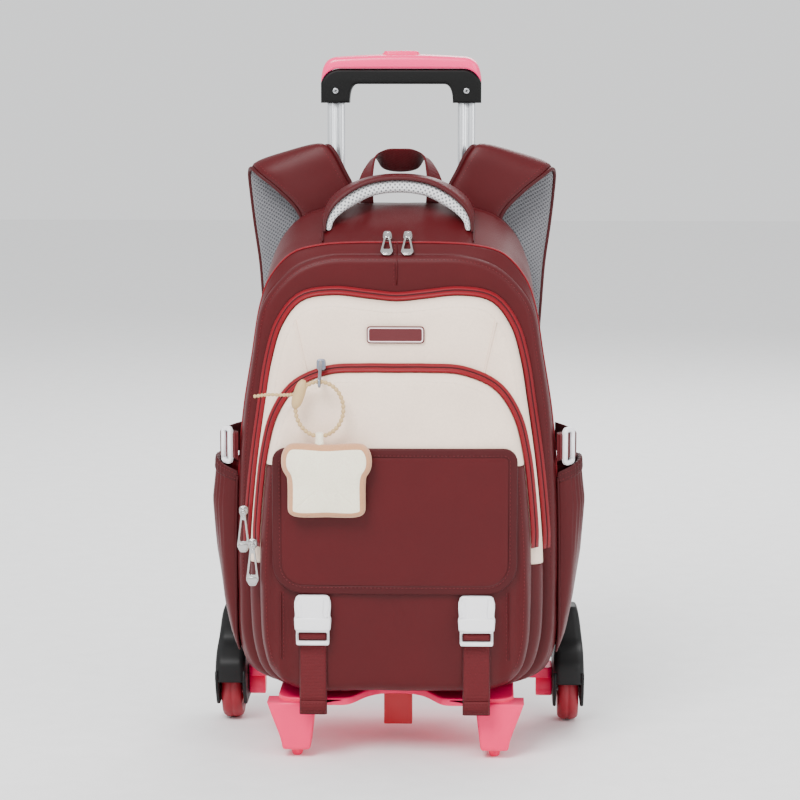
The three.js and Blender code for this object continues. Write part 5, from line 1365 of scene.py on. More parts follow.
@dataclass
class SmallPocket:
    """The small front pocket, cream above the flap, with the maroon flap pocket below."""

    big: BigPocket
    half: float = 118.0
    bottom: float = 61.0
    height: float = 280.0
    deep: float = 22.0
    edge: float = 10.0
    crown: float = 5.0
    zip_end: float = 186.0
    joint: float = 262.0
    pleat_deep: float = 2.6
    pleat_from: float = 128.0

    def __post_init__(self) -> None:
        """Draw the outline and the face."""
        outline = Outline.from_rows(SMALL_ROWS, self.half, self.bottom, self.height)
        at = self.big.shape.face(0, self.big.bottom) - self.deep
        self.plain = dome(at, self.crown, self.half, self.bottom, self.height)
        panel = self.big.shape.face
        self.shape = PocketShape(outline, panel, self.pleated, self.edge, panel(0, self.bottom))

    def pleated(self, x: float, z: float) -> float:
        """Depth of the face with the pleats of the flap pocket's flanks."""
        low = smooth_step(self.joint - z, 0, self.pleat_from)
        fold = sum(
            math.exp(-(((abs(x) / self.half - at) / wide) ** 2)) for at, wide in ((0.78, 0.05), (0.9, 0.04))
        )
        return self.plain(x, z) + self.pleat_deep * fold * low

    def make_seams(self) -> None:
        """Make the stitching beside the zip and the sewn pleats of the flanks."""
        draft = Draft("small_pocket_seams", CREAM_THREAD, MAROON_THREAD, MAROON)
        inner = self.shape.outline.inset(self.edge * 0.62)
        for low, high, mat in ((self.joint + 3, 400, 0), (self.bottom + 20, self.joint - 3, 1)):
            part = [p for p in inner.points if low < p[1] < high]
            for side in (-1, 1) if mat else (0,):
                kept = [p for p in part if not side or p[0] * side > 30]
                kept.sort(key=lambda p: math.atan2(p[0], p[1] - self.bottom - 60))
                line = np.array([(x, self.pleated(x, z) + self.edge * 0.09, z) for x, z in kept])
                draft.stitches(line, mat=mat)
        for side in (-1, 1):
            zs = np.linspace(92, 150, 20)
            x = side * 0.84 * self.half
            line = np.array([(x, self.pleated(x, z) + 0.1, z) for z in zs])
            draft.tube(line, 0.6, 6, mat=2)
            draft.stitches(line + (-side * 2.2, 0, 0), mat=1)
        draft.piece("bag", "maroon_cloth")

    def make(self) -> None:
        """Make every piece of the pocket."""
        cream = (Wrinkles(0.8, 50, (1.0, 1.0, 1.4), 8.4),)
        maroon = (Wrinkles(3.0, 46, (0.8, 0.8, 2.6), 2.7), Wrinkles(1.2, 15, (0.7, 1.0, 3.0), 7.9))
        end = self.joint
        self.shape.half("small_pocket_cream", CREAM, "cream_cloth", "small_pocket", end, True, cream)
        self.shape.half("flap_pocket_maroon", MAROON, "maroon_cloth", "flap_pocket", end, False, maroon)
        self.make_seams()
        self.shape.cove_zip("small_pocket_zip", self.zip_end, "small_zip")


@dataclass
class Flap:
    """The flap over the lower pocket: two layers with a bound, stitched edge."""

    pocket: SmallPocket
    half: float = 106.0
    top: float = 278.0
    high: float = 128.0
    thick: float = 3.0
    low_corner: float = 27.0
    up_corner: float = 12.0
    binding: float = 8.0
    step: float = 0.35

    def outline(self) -> Outline:
        """Draw its outline from the bottom middle, anticlockwise."""
        bottom = self.top - self.high
        corners = (
            (self.half - self.low_corner, bottom + self.low_corner, self.low_corner, -90),
            (self.half - self.up_corner, self.top - self.up_corner, self.up_corner, 0),
            (-self.half + self.up_corner, self.top - self.up_corner, self.up_corner, 90),
            (-self.half + self.low_corner, bottom + self.low_corner, self.low_corner, 180),
        )
        points = [(0.0, bottom)]
        for cx, cz, radius, start in corners:
            for step in range(13):
                turn = math.radians(start + 90 * step / 12)
                points.append((cx + radius * math.cos(turn), cz + radius * math.sin(turn)))
        return Outline(even_steps(np.array(points), 200, closed=True))

    def face(self, x: float, z: float) -> float:
        """Depth of its front face."""
        return self.pocket.plain(x, z) - SEAT - self.thick

    def sunk(self, x: float, z: float) -> float:
        """Depth of its field inside the binding."""
        return self.face(x, z) + self.step

    def make(self) -> None:
        """Make the flap with its binding and stitches."""
        draft = Draft("pocket_flap_cloth", MAROON, MAROON_BINDING, MAROON_THREAD)
        shape = self.outline()
        back = self.thick
        edge = (
            (0.5, back - 0.1), (0.1, back * 0.8), (0.0, back * 0.5), (0.25, back * 0.2), (0.9, 0.02),
            (2.0, -0.1)
        )
        binding = (
            (4.0, -0.15), (self.binding - 1.2, -0.1), (self.binding - 0.3, 0.15), (self.binding, self.step)
        )
        rows = [shape.inset(4).ring(lambda x, z: self.face(x, z) + back)]
        for inset, sink in edge + binding:
            rows.append(shape.inset(inset).ring(lambda x, z: self.face(x, z) + sink))
        draft.grid(rows, mat=1, closed=True)
        inner = shape.inset(self.binding)
        plump = [(0.0, 0.0), (0.8, -0.2), (3.5, -0.4)]
        rows = [shape.inset(self.binding + d).ring(lambda x, z: self.sunk(x, z) + lift) for d, lift in plump]
        rows += [row + (0, -0.4, 0) for row in face_rows(inner.inset(3.5), self.sunk)[1:]]
        draft.grid(rows, closed=True)
        rows = [
            shape.inset(4).shrink(s).ring(lambda x, z: self.face(x, z) + back)
            for s in (1, 0.8, 0.55, 0.3, 0.05)
        ]
        draft.grid(rows, closed=True)
        draft.crumple(
            Wrinkles(0.9, 60, (1.2, 1.0, 0.9), 3.9),
            keep=lambda p: 1 - smooth_step(p.y, self.face(p.x, p.z) + 1.2, self.face(p.x, p.z) + 1.8),
        )
        draft.stitches(shape.inset(self.binding - 1.7).ring(lambda x, z: self.face(x, z) - 0.15), mat=2)
        draft.piece("bag", "maroon_cloth", ["pocket_flap"])


@dataclass
class LabelPatch:
    """The small moulded patch of the big pocket: a sunk bare field inside a pale border line."""

    big: BigPocket
    wide: float = 50.0
    high: float = 15.0
    thick: float = 2.2
    z: float = 373.5
    corner: float = 3.0
    line: float = 1.0

    def make(self) -> None:
        """Make the patch and its border."""
        front = -(self.big.shape.face(0, self.z) - SEAT)
        draft = Draft("label_patch_moulded", PATCH_RUBBER, PATCH_LINE, MAROON_THREAD)
        outer = rounded(self.wide, self.high, self.corner, 0, self.z)
        inset = 2.2
        ring = rounded(self.wide - inset, self.high - inset, self.corner - 0.8, 0, self.z)
        hole = rounded(
            self.wide - inset - 2 * self.line, self.high - inset - 2 * self.line, self.corner - 1.4, 0, self.z
        )
        draft.plate([outer], Plane.FRONT, front, front + self.thick - 0.5, 0.5)
        draft.plate([ring, hole[::-1]], Plane.FRONT, front + 0.8, front + self.thick, 0.25, mat=1)
        draft.piece("bag", "maroon_cloth", ["label_patch"])


# ---------------------------------------------------------------- padding


def inflate(
    made: bpy.types.Object, held: Callable[[Vector], float], pressure: float, cap: float, soften: int = 1
) -> None:
    """Swell a padded piece by a short cloth simulation, its seams held, and smooth it.

    Args:
        made: The piece, without modifiers.
        held: How firmly a point in metres is held, from 0 to 1.
        pressure: Pressure inside it.
        cap: How far a point may move, mm.
        soften: Levels of subdivision that follow.
    """
    mesh = made.data
    seams = made.vertex_groups.new(name="seams")
    for vert in mesh.vertices:
        seams.add([vert.index], held(vert.co), "REPLACE")
    cloth = made.modifiers.new("padding", "CLOTH")
    cloth.settings.quality = 6
    cloth.settings.mass = 0.2
    cloth.settings.tension_stiffness = PAD_STIFFNESS
    cloth.settings.compression_stiffness = PAD_STIFFNESS
    cloth.settings.use_pressure = True
    cloth.settings.uniform_pressure_force = pressure
    cloth.settings.effector_weights.gravity = 0
    cloth.settings.vertex_group_mass = "seams"
    cloth.collision_settings.use_collision = False
    cloth.point_cache.frame_start = 1
    cloth.point_cache.frame_end = PAD_FRAMES
    scene = bpy.context.scene
    for frame in range(1, PAD_FRAMES + 1):
        scene.frame_set(frame)
    swollen = made.evaluated_get(bpy.context.evaluated_depsgraph_get()).to_mesh()
    moved = [vert.co.copy() for vert in swollen.vertices]
    made.modifiers.remove(cloth)
    for vert, to in zip(mesh.vertices, moved):
        step = to - vert.co
        if step.length > cap * MM:
            step *= cap * MM / step.length
        vert.co += step
    made.vertex_groups.remove(seams)
    scene.frame_set(1)
    if soften:
        smooth = made.modifiers.new("soften", "SUBSURF")
        smooth.levels = soften
        smooth.render_levels = soften


def pad_profile(share: float, power: float = 4.0) -> float:
    """Height of a pad across its width, 1 in its middle and 0 at its edges."""
    return (1 - abs(2 * share - 1) ** power) ** 0.5


def band_profile(share: float, edge: float = 0.06) -> float:
    """Height of a flat band across its width, with its two edges rounded."""
    near = min(share, 1 - share) / edge
    return 1.0 if near >= 1 else math.sqrt(max(0.0, 1 - (1 - near) ** 2))


def band_normals(a: Points, b: Points) -> Points:
    """Direction out of a band at each pair of its edge points."""
    normal = np.cross(np.gradient((a + b) / 2, axis=0), b - a)
    return normal / np.linalg.norm(normal, axis=1)[:, None]


def ribbon(
    draft: Draft,
    sections: Points,
    low: float,
    high: float,
    profile: Callable[[float], float] = band_profile,
    mat: int = 0,
    across: int = 14,
) -> None:
    """Add a band through sections, each a row of two points across it.

    Args:
        draft: The mesh.
        sections: Rows of six numbers: the two edges of the band.
        low: Place of its flat side along its normal.
        high: Place of its other side.
        profile: Height of that side across the band.
        mat: Number of its finish.
        across: Steps across it.
    """
    rows = np.asarray(sections, float)
    a, b = rows[:, :3], rows[:, 3:]
    shares = np.linspace(0, 1, across + 1)
    rings = []
    for p, q, n in zip(a, b, band_normals(a, b)):
        under = [p + (q - p) * s + n * (low + (high - low) * 0.04 * (1 - profile(s))) for s in shares]
        over = [p + (q - p) * s + n * (low + (high - low) * max(profile(s), 0.04)) for s in shares[::-1]]
        rings.append(under + over)
    draft.grid(rings, mat, closed=True, caps=True)


def level_sections(middle: float, half: float, rows: Sequence[tuple[float, float]]) -> Points:
    """Draw the sections of a band that hangs down, each row a depth and a height."""
    return np.array([(middle - half, y, z, middle + half, y, z) for y, z in rows])


# ---------------------------------------------------------------- sides


SIDES = ((1, "right"), (-1, "left"))


@dataclass
class SidePocket:
    """A gathered side pocket: the elastic in its rim draws the cloth into folds."""

    body: BagBody
    bulge: float = 24.0
    bottom: float = 82.0
    top: float = 246.0
    front: float = -6.0
    back: float = 70.0
    wall: float = 1.8
    folds: int = 13
    fold_deep: float = 1.5
    rim_lift: float = 11.0
    steps: int = 156

    # share of the height, then share of the bulge there
    OUT = (
        (0, 0.1), (0.1, 0.3), (0.28, 0.6), (0.55, 0.86), (0.8, 1.0), (0.9, 0.92), (0.955, 0.885),
        (1, 0.88),
    )

    def point(self, up: float, turn: float, proud: float = 0.0) -> tuple[float, float, float]:
        """A point of the pocket's cloth.

        Args:
            up: Share of its height.
            turn: Share of the way from its front edge to its back edge.
            proud: How far the point stands out of the cloth.

        Returns:
            The point.
        """
        ups, outs = zip(*self.OUT)
        out = float(np.interp(up, ups, outs))
        narrow = float(np.interp(up, (0, 0.1, 0.28), (0.2, 0.05, 0.0))) * (self.back - self.front) / 2
        z = self.bottom + up * (self.top - self.bottom)
        near = self.body.side_at(z) + SEAT
        angle = turn * math.pi
        drawn = smooth_step(up, 0.45, 0.97)
        fold = math.sin(turn * self.folds * 2 * math.pi + 0.8 * math.sin(5 * turn)) * self.fold_deep * drawn
        slack = 0.8 * math.sin(turn * 9 + 4 * up) * (1 - drawn) * math.sin(math.pi * min(1, up * 1.4))
        reach = max(out * self.bulge, 0.8) + fold * 0.8 - abs(slack) + proud
        x = near + reach * math.sin(angle) ** 0.55
        middle, half = (self.front + self.back) / 2, (self.back - self.front) / 2 - narrow
        y = middle - half * math.cos(angle)
        return (x, y, z + up**4 * self.rim_lift * ((x - near) / self.bulge))

    def make(self, sign: int, side: str) -> None:
        """Make the pocket of one side."""
        draft = Draft(f"side_pocket_cloth_{side}", MAROON)
        turns = np.linspace(0, 1, self.steps + 1)
        ups = np.concatenate([np.linspace(0, 0.4, 9), np.linspace(0.44, 0.96, 22)])
        foot = [(self.body.side_at(self.bottom) + SEAT, self.point(0, t)[1], self.bottom) for t in turns]
        draft.grid([foot] + [[self.point(u, t) for t in turns] for u in ups])
        draft.piece("bag", "maroon_cloth", [f"side_pocket_{side}"], self.wall * 0.7, sign < 0)
        trim = Draft(f"side_pocket_rim_{side}", MAROON_BINDING, MAROON_THREAD)
        band = (
            (0.94, 0.1), (0.945, 0.9), (0.955, 1.15), (0.975, 1.05), (0.985, 1.05), (0.995, 0.8),
            (1.0, 0.1),
        )
        outer = [[self.point(u, t, p) for t in turns] for u, p in band]
        inner = [
            [self.point(u, t, p) for t in turns]
            for u, p in ((1.0, -1.3), (0.99, -1.9), (0.95, -1.9), (0.94, -0.6))
        ]
        trim.grid(outer + inner + outer[:1])
        for up in (0.953, 0.98):
            trim.stitches([self.point(up, t, 1.2) for t in turns], mat=1, pitch=2.6, long=1.8)
        for turn in (0.0, 1.0):
            seam = np.array([self.point(u, turn) for u in np.linspace(0.02, 0.97, 40)])
            trim.tube(seam + (0.3, 0, 0), 1.3, 6)
        trim.piece("bag", "maroon_cloth", mirror=sign < 0)


@dataclass
class CompressionStrap:
    """The webbing over a side pocket, threaded through a white two-bar glide."""

    body: BagBody
    z: float = 269.0
    high: float = 26.0
    thick: float = 1.6
    front: float = -6.0
    back: float = 70.0
    glide_wide: float = 15.0
    glide_high: float = 34.0
    glide_thick: float = 4.5

    def make(self, sign: int, side: str) -> None:
        """Make the strap and the glide of one side."""
        near = self.body.side_at(self.z, self.high / 2) + SEAT + self.thick / 2
        out = self.glide_wide * 0.9
        path = np.array([
            (near, self.front - 4), (near + 1, self.front), (near + out, self.front + out + 2),
            (near + out * 0.75, self.front + 3 * out), (near, self.back - 8),
        ])
        line = smooth_curve(path, per=9)
        low, top = self.z - self.high / 2, self.z + self.high / 2
        sections = np.array([(x, y, low, x, y, top) for x, y in line])
        draft = Draft(f"compression_webbing_{side}", WEBBING, MAROON_THREAD)
        ribbon(draft, sections, -self.thick / 2, self.thick / 2)
        for x, y in (path[1] + (0.5, 2.5), path[4] + (1.6, -3)):
            draft.stitches([(x + self.thick / 2, y, low + 2), (x + self.thick / 2, y, top - 2)], mat=1)
        step = path[2] - path[1]
        turn = math.atan2(step[1], step[0])
        outwards = np.array((math.sin(turn), -math.cos(turn)))
        doubled = [path[1] + step * s + outwards * 1.9 for s in np.linspace(-0.1, 1.14, 12)]
        ribbon(draft, [(x, y, low + 0.8, x, y, top - 0.8) for x, y in doubled], -0.7, 0.7)
        draft.piece("bag", "webbing", [f"side_strap_{side}"], mirror=sign < 0)
        middle = (path[1] + path[2]) / 2 + outwards * (self.thick / 2 + GAP)
        place = Matrix.Translation((*middle, self.z)) @ Matrix.Rotation(turn, 4, "Z")
        glide = Draft(f"compression_glide_{side}", WHITE_ABS)
        outer = rounded(self.glide_wide, self.glide_high, 5)
        window = rounded(self.glide_wide * 0.42, self.glide_high * 0.74, 1.6)[::-1]
        glide.plate([outer, window], place @ Plane.FRONT.value, 0, self.glide_thick, 1.5, segments=4)
        for across in (-0.34, 0.34):
            ends = [
                (self.glide_wide * across, -self.glide_thick * 0.6, self.glide_high * up)
                for up in (-0.36, 0.36)
            ]
            glide.tube([place @ Vector(p) for p in ends], 2.2, 12)
        glide.piece("bag", "white_plastic", [f"side_glide_{side}"], mirror=sign < 0)


# ---------------------------------------------------------------- handles and straps


@dataclass
class GrabHandle:
    """The padded grab handle: spacer mesh under its arch, maroon cloth over it."""

    body: BagBody
    half: float = 65.0
    end_y: float = 30.0
    lean: float = 16.0
    rise: float = 40.0
    mesh_high: float = 12.5
    mesh_deep: float = 24.0
    top_high: float = 4.5
    top_deep: float = 27.0

    # share of the half width, share of the rise, then how full the pad is
    ROWS = (
        (1, 0, 0.45), (0.985, 0.22, 0.62), (0.9, 0.46, 0.85), (0.72, 0.7, 1), (0.46, 0.9, 1),
        (0.22, 0.98, 1), (0, 1, 1),
    )

    def line(self) -> list[tuple[Vector, Vector, Vector, float]]:
        """Draw its middle line: point, normal, direction across it and how full the pad is."""
        body = self.body
        end_z = body.gusset_top(self.half - self.mesh_high * self.ROWS[0][2], self.end_y) + GAP
        rise = body.gusset_top(self.half, body.crest_y) - body.gusset_top(self.half, 0)
        slope = math.atan2(rise, body.crest_y)
        right = [
            (o * self.half, self.end_y + self.lean * u, end_z + u * self.rise, slope * (1 - u), f)
            for o, u, f in self.ROWS
        ]
        left = [(-x, *rest) for x, *rest in right[:-1]]
        rows = smooth_curve(np.array(left + right[::-1]) * (1, 1, 1, 20, 20), per=8)
        out = []
        for i, (x, y, z, tilt, full) in enumerate(rows):
            if i in (0, len(rows) - 1):
                normal = Vector((1 if i else -1, 0, 0))
            else:
                step = rows[i + 1] - rows[i - 1]
                normal = Vector((-step[2], 0, step[0])).normalized()
            across = Vector((0, math.cos(tilt / 20), math.sin(tilt / 20)))
            out.append((Vector((x, y, z)), normal, across, full / 20))
        return out

    def layer(
        self, draft: Draft, section: Callable[[float], tuple[float, float]], steps: int = 28, mat: int = 0
    ) -> None:
        """Add a layer whose section gives a place along the normal and across for each turn."""
        rings = []
        for at, normal, across, full in self.line():
            places = [section(FULL_TURN * k / steps) for k in range(steps)]
            rings.append([at + normal * (n * full) + across * d for n, d in places])
        draft.grid(rings, mat, closed=True, caps=True)

    def under(self, turn: float) -> tuple[float, float]:
        """Section of the mesh pad."""
        c, s = math.cos(turn), math.sin(turn)
        high = self.mesh_high - GAP / 2
        return (
            -GAP / 2 - high / 2 + high / 2 * signed_power(c, 0.62), self.mesh_deep / 2 * signed_power(s, 0.72)
        )

    def over(self, turn: float) -> tuple[float, float]:
        """Section of the cloth cover."""
        c, s = math.cos(turn), math.sin(turn)
        n = GAP / 2 if c < 0 else GAP / 2 + self.top_high * abs(c) ** 0.7
        return (n, self.top_deep / 2 * signed_power(s, 0.6))

    def make(self) -> None:
        """Make the handle."""
        pad = Draft("grab_handle_pad", HANDLE_MESH)
        self.layer(pad, self.under)
        made = pad.piece("bag", "mesh_cloth", ["grab_handle_mesh"])
        seam = self.line()[0][0].z
        inflate(made, lambda p: 1.0 if p.z < (seam + 4) * MM else 0.0, 2.0, 1.2)
        cover = Draft("grab_handle_cover", MAROON)
        self.layer(cover, self.over)
        made = cover.piece("bag", "maroon_cloth", ["grab_handle_top"])
        inflate(made, lambda p: 1.0 if p.z < (seam + 4) * MM else 0.15, 1.5, 0.9)
        trim = Draft("grab_handle_trim", MAROON_BINDING, MAROON_THREAD)
        line = self.line()
        for sign in (-1, 1):
            half = sign * self.top_deep / 2
            trim.tube([at + normal * 0.4 + across * half for at, normal, across, _ in line], 1.1, 8)
            half -= sign * 3.4
            sewn = [at + normal * (self.top_high * 0.86) + across * half for at, normal, across, _ in line]
            trim.stitches(sewn, mat=1)
        trim.piece("bag", "maroon_cloth")


@dataclass
class WebbingLoop:
    """The webbing loop behind the grab handle, twisted at its legs."""

    body: BagBody
    base: float = 46.0
    rise: float = 50.0
    near_y: float = 62.0
    far_y: float = 82.0
    thick: float = 1.6

    # near edge, then far edge: share of the base and share of the rise of each
    ROWS = (
        (0.52, 0, 1, 0), (0.54, 0.28, 0.87, 0.3), (0.53, 0.56, 0.72, 0.6), (0.46, 0.86, 0.5, 0.8),
        (0.28, 0.98, 0.34, 0.62), (0, 1, 0, 0.56),
    )

    def make(self) -> None:
        """Make the loop."""
        foot = self.body.rear.top(self.ROWS[0][0] * self.base) + SEAT

        def section(near: float, near_up: float, far: float, far_up: float, sign: int) -> tuple[float, ...]:
            """Place the two edges of the band."""
            a = (sign * near * self.base, self.near_y, foot + near_up * self.rise)
            return (*a, sign * far * self.base, self.far_y, foot + far_up * self.rise)

        left = [section(*row, -1) for row in self.ROWS[:-1]]
        right = [section(*row, 1) for row in self.ROWS]
        draft = Draft("top_webbing_loop", WEBBING, MAROON_THREAD)
        sections = smooth_curve(np.array(left + right[::-1]), per=8)
        ribbon(draft, sections, -self.thick / 2, self.thick / 2)
        draft.piece("bag", "webbing", ["webbing_loop"])


@dataclass
class ShoulderStrap:
    """A padded shoulder strap: maroon cloth outside, spacer mesh inside, bound edges."""

    body: BagBody
    reach: float = 140.0
    end_z: float = 245.0
    crest_z: float = 530.0
    root_z: float = 455.0
    depth: float = 36.0
    thick: float = 5.0
    crown: float = 1.2
    web_wide: float = 25.0
    web_thick: float = 1.6
    web_end: float = 92.0
    ladder_wide: float = 34.0
    ladder_high: float = 26.0
    ladder_thick: float = 4.0

    # reach and height of one edge, of the other edge, then how deep each lies, all as shares
    ROWS = (
        (0.27, 0.747, 0.614, 0.698, 0, 0), (0.3, 0.849, 0.664, 0.789, 0, 0),
        (0.371, 0.923, 0.8, 0.86, 0, 0.04), (0.43, 0.979, 0.93, 0.909, 0, 0.18),
        (0.471, 1, 0.98, 0.926, 0.07, 0.43), (0.521, 0.986, 1, 0.912, 0.32, 0.68),
        (0.543, 0.923, 0.993, 0.846, 0.54, 0.875), (0.55, 0.825, 0.971, 0.747, 0.65, 0.96),
        (0.55, 0.684, 0.936, 0.621, 0.68, 0.99), (0.543, 0.509, 0.914, 0.481, 0.65, 0.93),
        (0.543, 0.298, 0.886, 0.291, 0.57, 0.79), (0.571, 0.105, 0.85, 0.105, 0.46, 0.63),
        (0.621, 0, 0.8, 0, 0.4, 0.51),
    )

    def sections(self) -> Points:
        """Draw the strap's sections."""
        root_y = self.body.back(0, self.root_z) + GAP + self.thick + self.crown
        high = self.crest_z - self.end_z
        rows = [
            (a * self.reach, root_y + ab * self.depth, self.end_z + au * high,
             b * self.reach, root_y + bb * self.depth, self.end_z + bu * high)
            for a, au, b, bu, ab, bb in self.ROWS
        ]
        return smooth_curve(rows, per=7)

    def pad(self, name: str, finish: Finish, sign: int, side: int, slot: str, replaced: str) -> None:
        """Make one layer: side is -1 for the outer layer and 1 for the inner."""
        draft = Draft(name, finish)
        ribbon(
            draft, self.sections(), side * GAP / 2, side * (self.thick + self.crown), pad_profile, across=18
        )
        made = draft.piece("bag", slot, [replaced], mirror=sign < 0)
        inflate(made, lambda p: 0.5, 1.2, 0.6, 0)

    def make(self, sign: int, side: str) -> None:
        """Make the strap of one side with its webbing and adjuster."""
        self.pad(f"shoulder_strap_cloth_{side}", MAROON, sign, -1, "maroon_cloth", f"strap_outer_{side}")
        self.pad(f"shoulder_strap_mesh_{side}", STRAP_MESH, sign, 1, "mesh_cloth", f"strap_mesh_{side}")
        rows = self.sections()
        trim = Draft(f"shoulder_strap_edge_{side}", MAROON_BINDING, MAROON_THREAD)
        a, b = rows[:, :3], rows[:, 3:]
        trim.tube(np.vstack([a, b[::-1]]), 2.0, 8)
        for share in (0.1, 0.9):
            proud = band_normals(a, b) * (self.thick + self.crown) * pad_profile(share) * 0.98
            trim.stitches(a * (1 - share) + b * share - proud, mat=1)
        trim.piece("bag", "maroon_cloth", mirror=sign < 0)
        self.make_webbing(rows[-1], sign, side)

    def make_webbing(self, last: Points, sign: int, side: str) -> None:
        """Make the webbing below the pad and the ladder buckle it runs through."""
        middle, web_y = (last[0] + last[3]) / 2, (last[1] + last[4]) / 2
        foot_y = self.body.back(middle, self.web_end) + GAP + self.web_thick
        top = self.end_z - SEAT
        shape = ((0, 1), (0.3, 1), (0.65, 0.4), (0.9, 0.06), (1, 0))
        path = [(foot_y + back * (web_y - foot_y), top - down * (top - self.web_end)) for down, back in shape]
        draft = Draft(f"shoulder_strap_webbing_{side}", WEBBING, MAROON_THREAD)
        line = smooth_curve(path, per=8)
        ribbon(
            draft, level_sections(middle, self.web_wide / 2, line), -self.web_thick / 2, self.web_thick / 2
        )
        for z in (self.web_end + 4, self.web_end + 12):
            ends = [
                (middle + s * (self.web_wide / 2 - 2), foot_y + self.web_thick / 2 + 0.1, z) for s in (-1, 1)
            ]
            draft.stitches(np.array(ends), mat=1)
        draft.piece("bag", "webbing", [f"strap_webbing_{side}"], mirror=sign < 0)
        ladder = Draft(f"ladder_buckle_{side}", BLACK_HOUSING)
        high, thick = self.ladder_high, self.ladder_thick
        z = self.end_z - high
        loops = [rounded(self.ladder_wide, high, 4, middle, z)]
        for rung in (-1, 1):
            loops.append(rounded(self.web_wide + 1, high * 0.24, 1.2, middle, z + rung * high / 4.6)[::-1])
        low = -(web_y + self.web_thick / 2 + GAP + thick)
        ladder.plate(loops, Plane.FRONT, low, low + thick, 1.0)
        ladder.piece("bag", "black_plastic", [f"strap_adjuster_{side}"], mirror=sign < 0)


# ---------------------------------------------------------------- fasteners and charm


@dataclass
class FlapBuckle:
    """A side release buckle of white acetal, fastened, with the webbing that hangs from it."""

    pocket: SmallPocket
    x: float = 71.0
    top: float = 149.65
    wide: float = 32.0
    high: float = 44.0
    thick: float = 8.0
    tail_wide: float = 24.0
    tail_end: float = 43.0
    tail_thick: float = 1.6

    # share of the half width, then share of the height, from the top
    OUTLINE = (
        (0.55, 0), (0.78, 0.005), (0.9, 0.04), (0.985, 0.14), (0.99, 0.24), (0.955, 0.36),
        (0.95, 0.42), (1, 0.46), (1, 0.5), (0.98, 0.64), (0.96, 0.68), (0.9, 0.71), (0.9, 0.95),
        (0.87, 0.99), (0.8, 1),
    )

    def shape(self, rows: Sequence[tuple[float, float]]) -> list[tuple[float, float]]:
        """Place rows of shares and their mirror image on the buckle."""
        return [
            (self.x + out * self.wide / 2, self.top - down * self.high) for out, down in with_mirror(rows)
        ]

    def make(self, sign: int, side: str) -> None:
        """Make the buckle and the tail of one side."""
        face = self.pocket.plain(self.x, self.top - self.high / 2) - SEAT
        back = -(face - self.tail_thick - GAP)
        front = back + self.thick
        body = Draft(f"side_release_buckle_{side}", WHITE_ABS)
        outer = self.shape(self.OUTLINE)
        window_z = self.top - 0.83 * self.high
        window = rounded(self.tail_wide + 1, self.high * 0.18, 1.4, self.x, window_z)[::-1]
        body.plate([outer, window], Plane.FRONT, back, front - 2.6, 1.2, segments=4)
        middle = ((0.52, 0.015), (0.6, 0.05), (0.6, 0.2), (0.56, 0.34), (0.62, 0.42), (0.62, 0.46))
        body.plate([self.shape(middle)], Plane.FRONT, front - 3.2, front - 0.9, 1.0, segments=4)
        collar = ((0.94, 0.44), (0.975, 0.47), (0.96, 0.63), (0.9, 0.68), (0.5, 0.7))
        body.plate([self.shape(collar)], Plane.FRONT, front - 3.4, front, 1.3, segments=4)
        for s in (-1, 1):
            arm = smooth_curve(np.array([
                (self.x + s * o * self.wide / 2, -(front - 2.7), self.top - d * self.high)
                for o, d in ((0.72, 0.035), (0.86, 0.08), (0.88, 0.2), (0.8, 0.32), (0.8, 0.43))
            ]), per=6)
            body.tube(arm, 0.9, 8)
        bar = np.array(
            [(self.x + s * self.tail_wide / 2, -(front - 3.0), self.top - 0.965 * self.high) for s in (-1, 1)]
        )
        body.tube(bar, 1.4, 10)
        body.piece("bag", "white_plastic", [f"flap_buckle_{side}"], mirror=sign < 0)
        self.make_tail(face, window_z, sign, side)

    def make_tail(self, face: float, window_z: float, sign: int, side: str) -> None:
        """Make the webbing that comes out of the ladder, and its folded end."""
        tail = Draft(f"flap_webbing_{side}", WEBBING, MAROON_THREAD)
        half = self.tail_wide / 2
        top = window_z + self.high * 0.1
        rows = [
            (face - 0.8, top), (face - 0.8, top - 10), (face - 0.9, 90), (face - 0.6, 62),
            (face - 0.8, self.tail_end),
        ]
        line = smooth_curve(rows, per=6)
        ribbon(tail, level_sections(self.x, half, line), -self.tail_thick / 2, self.tail_thick / 2)
        bend = [
            (face - 2.2, window_z - 3), (face - 4.6, window_z - 1.5), (face - 4.8, window_z + 1.5),
            (face - 2.4, window_z + 3.2),
        ]
        ribbon(tail, level_sections(self.x, half - 0.3, smooth_curve(bend, per=5)), -0.7, 0.7)
        fold = [
            (face - 1.9, self.tail_end + 12.5), (face - 2.3, self.tail_end + 11),
            (face - 2.3, self.tail_end + 1.2),
        ]
        ribbon(tail, level_sections(self.x, half, np.array(fold)), -0.8, 0.8)
        for z in (self.tail_end + 2.6, self.tail_end + 10.0):
            tail.stitches(
                [(self.x + s * (half - 2), face - 3.2, z) for s in (-1, 1)], mat=1, pitch=2.6, long=1.8
            )
        tail.piece("bag", "webbing", [f"flap_tail_{side}"], mirror=sign < 0)


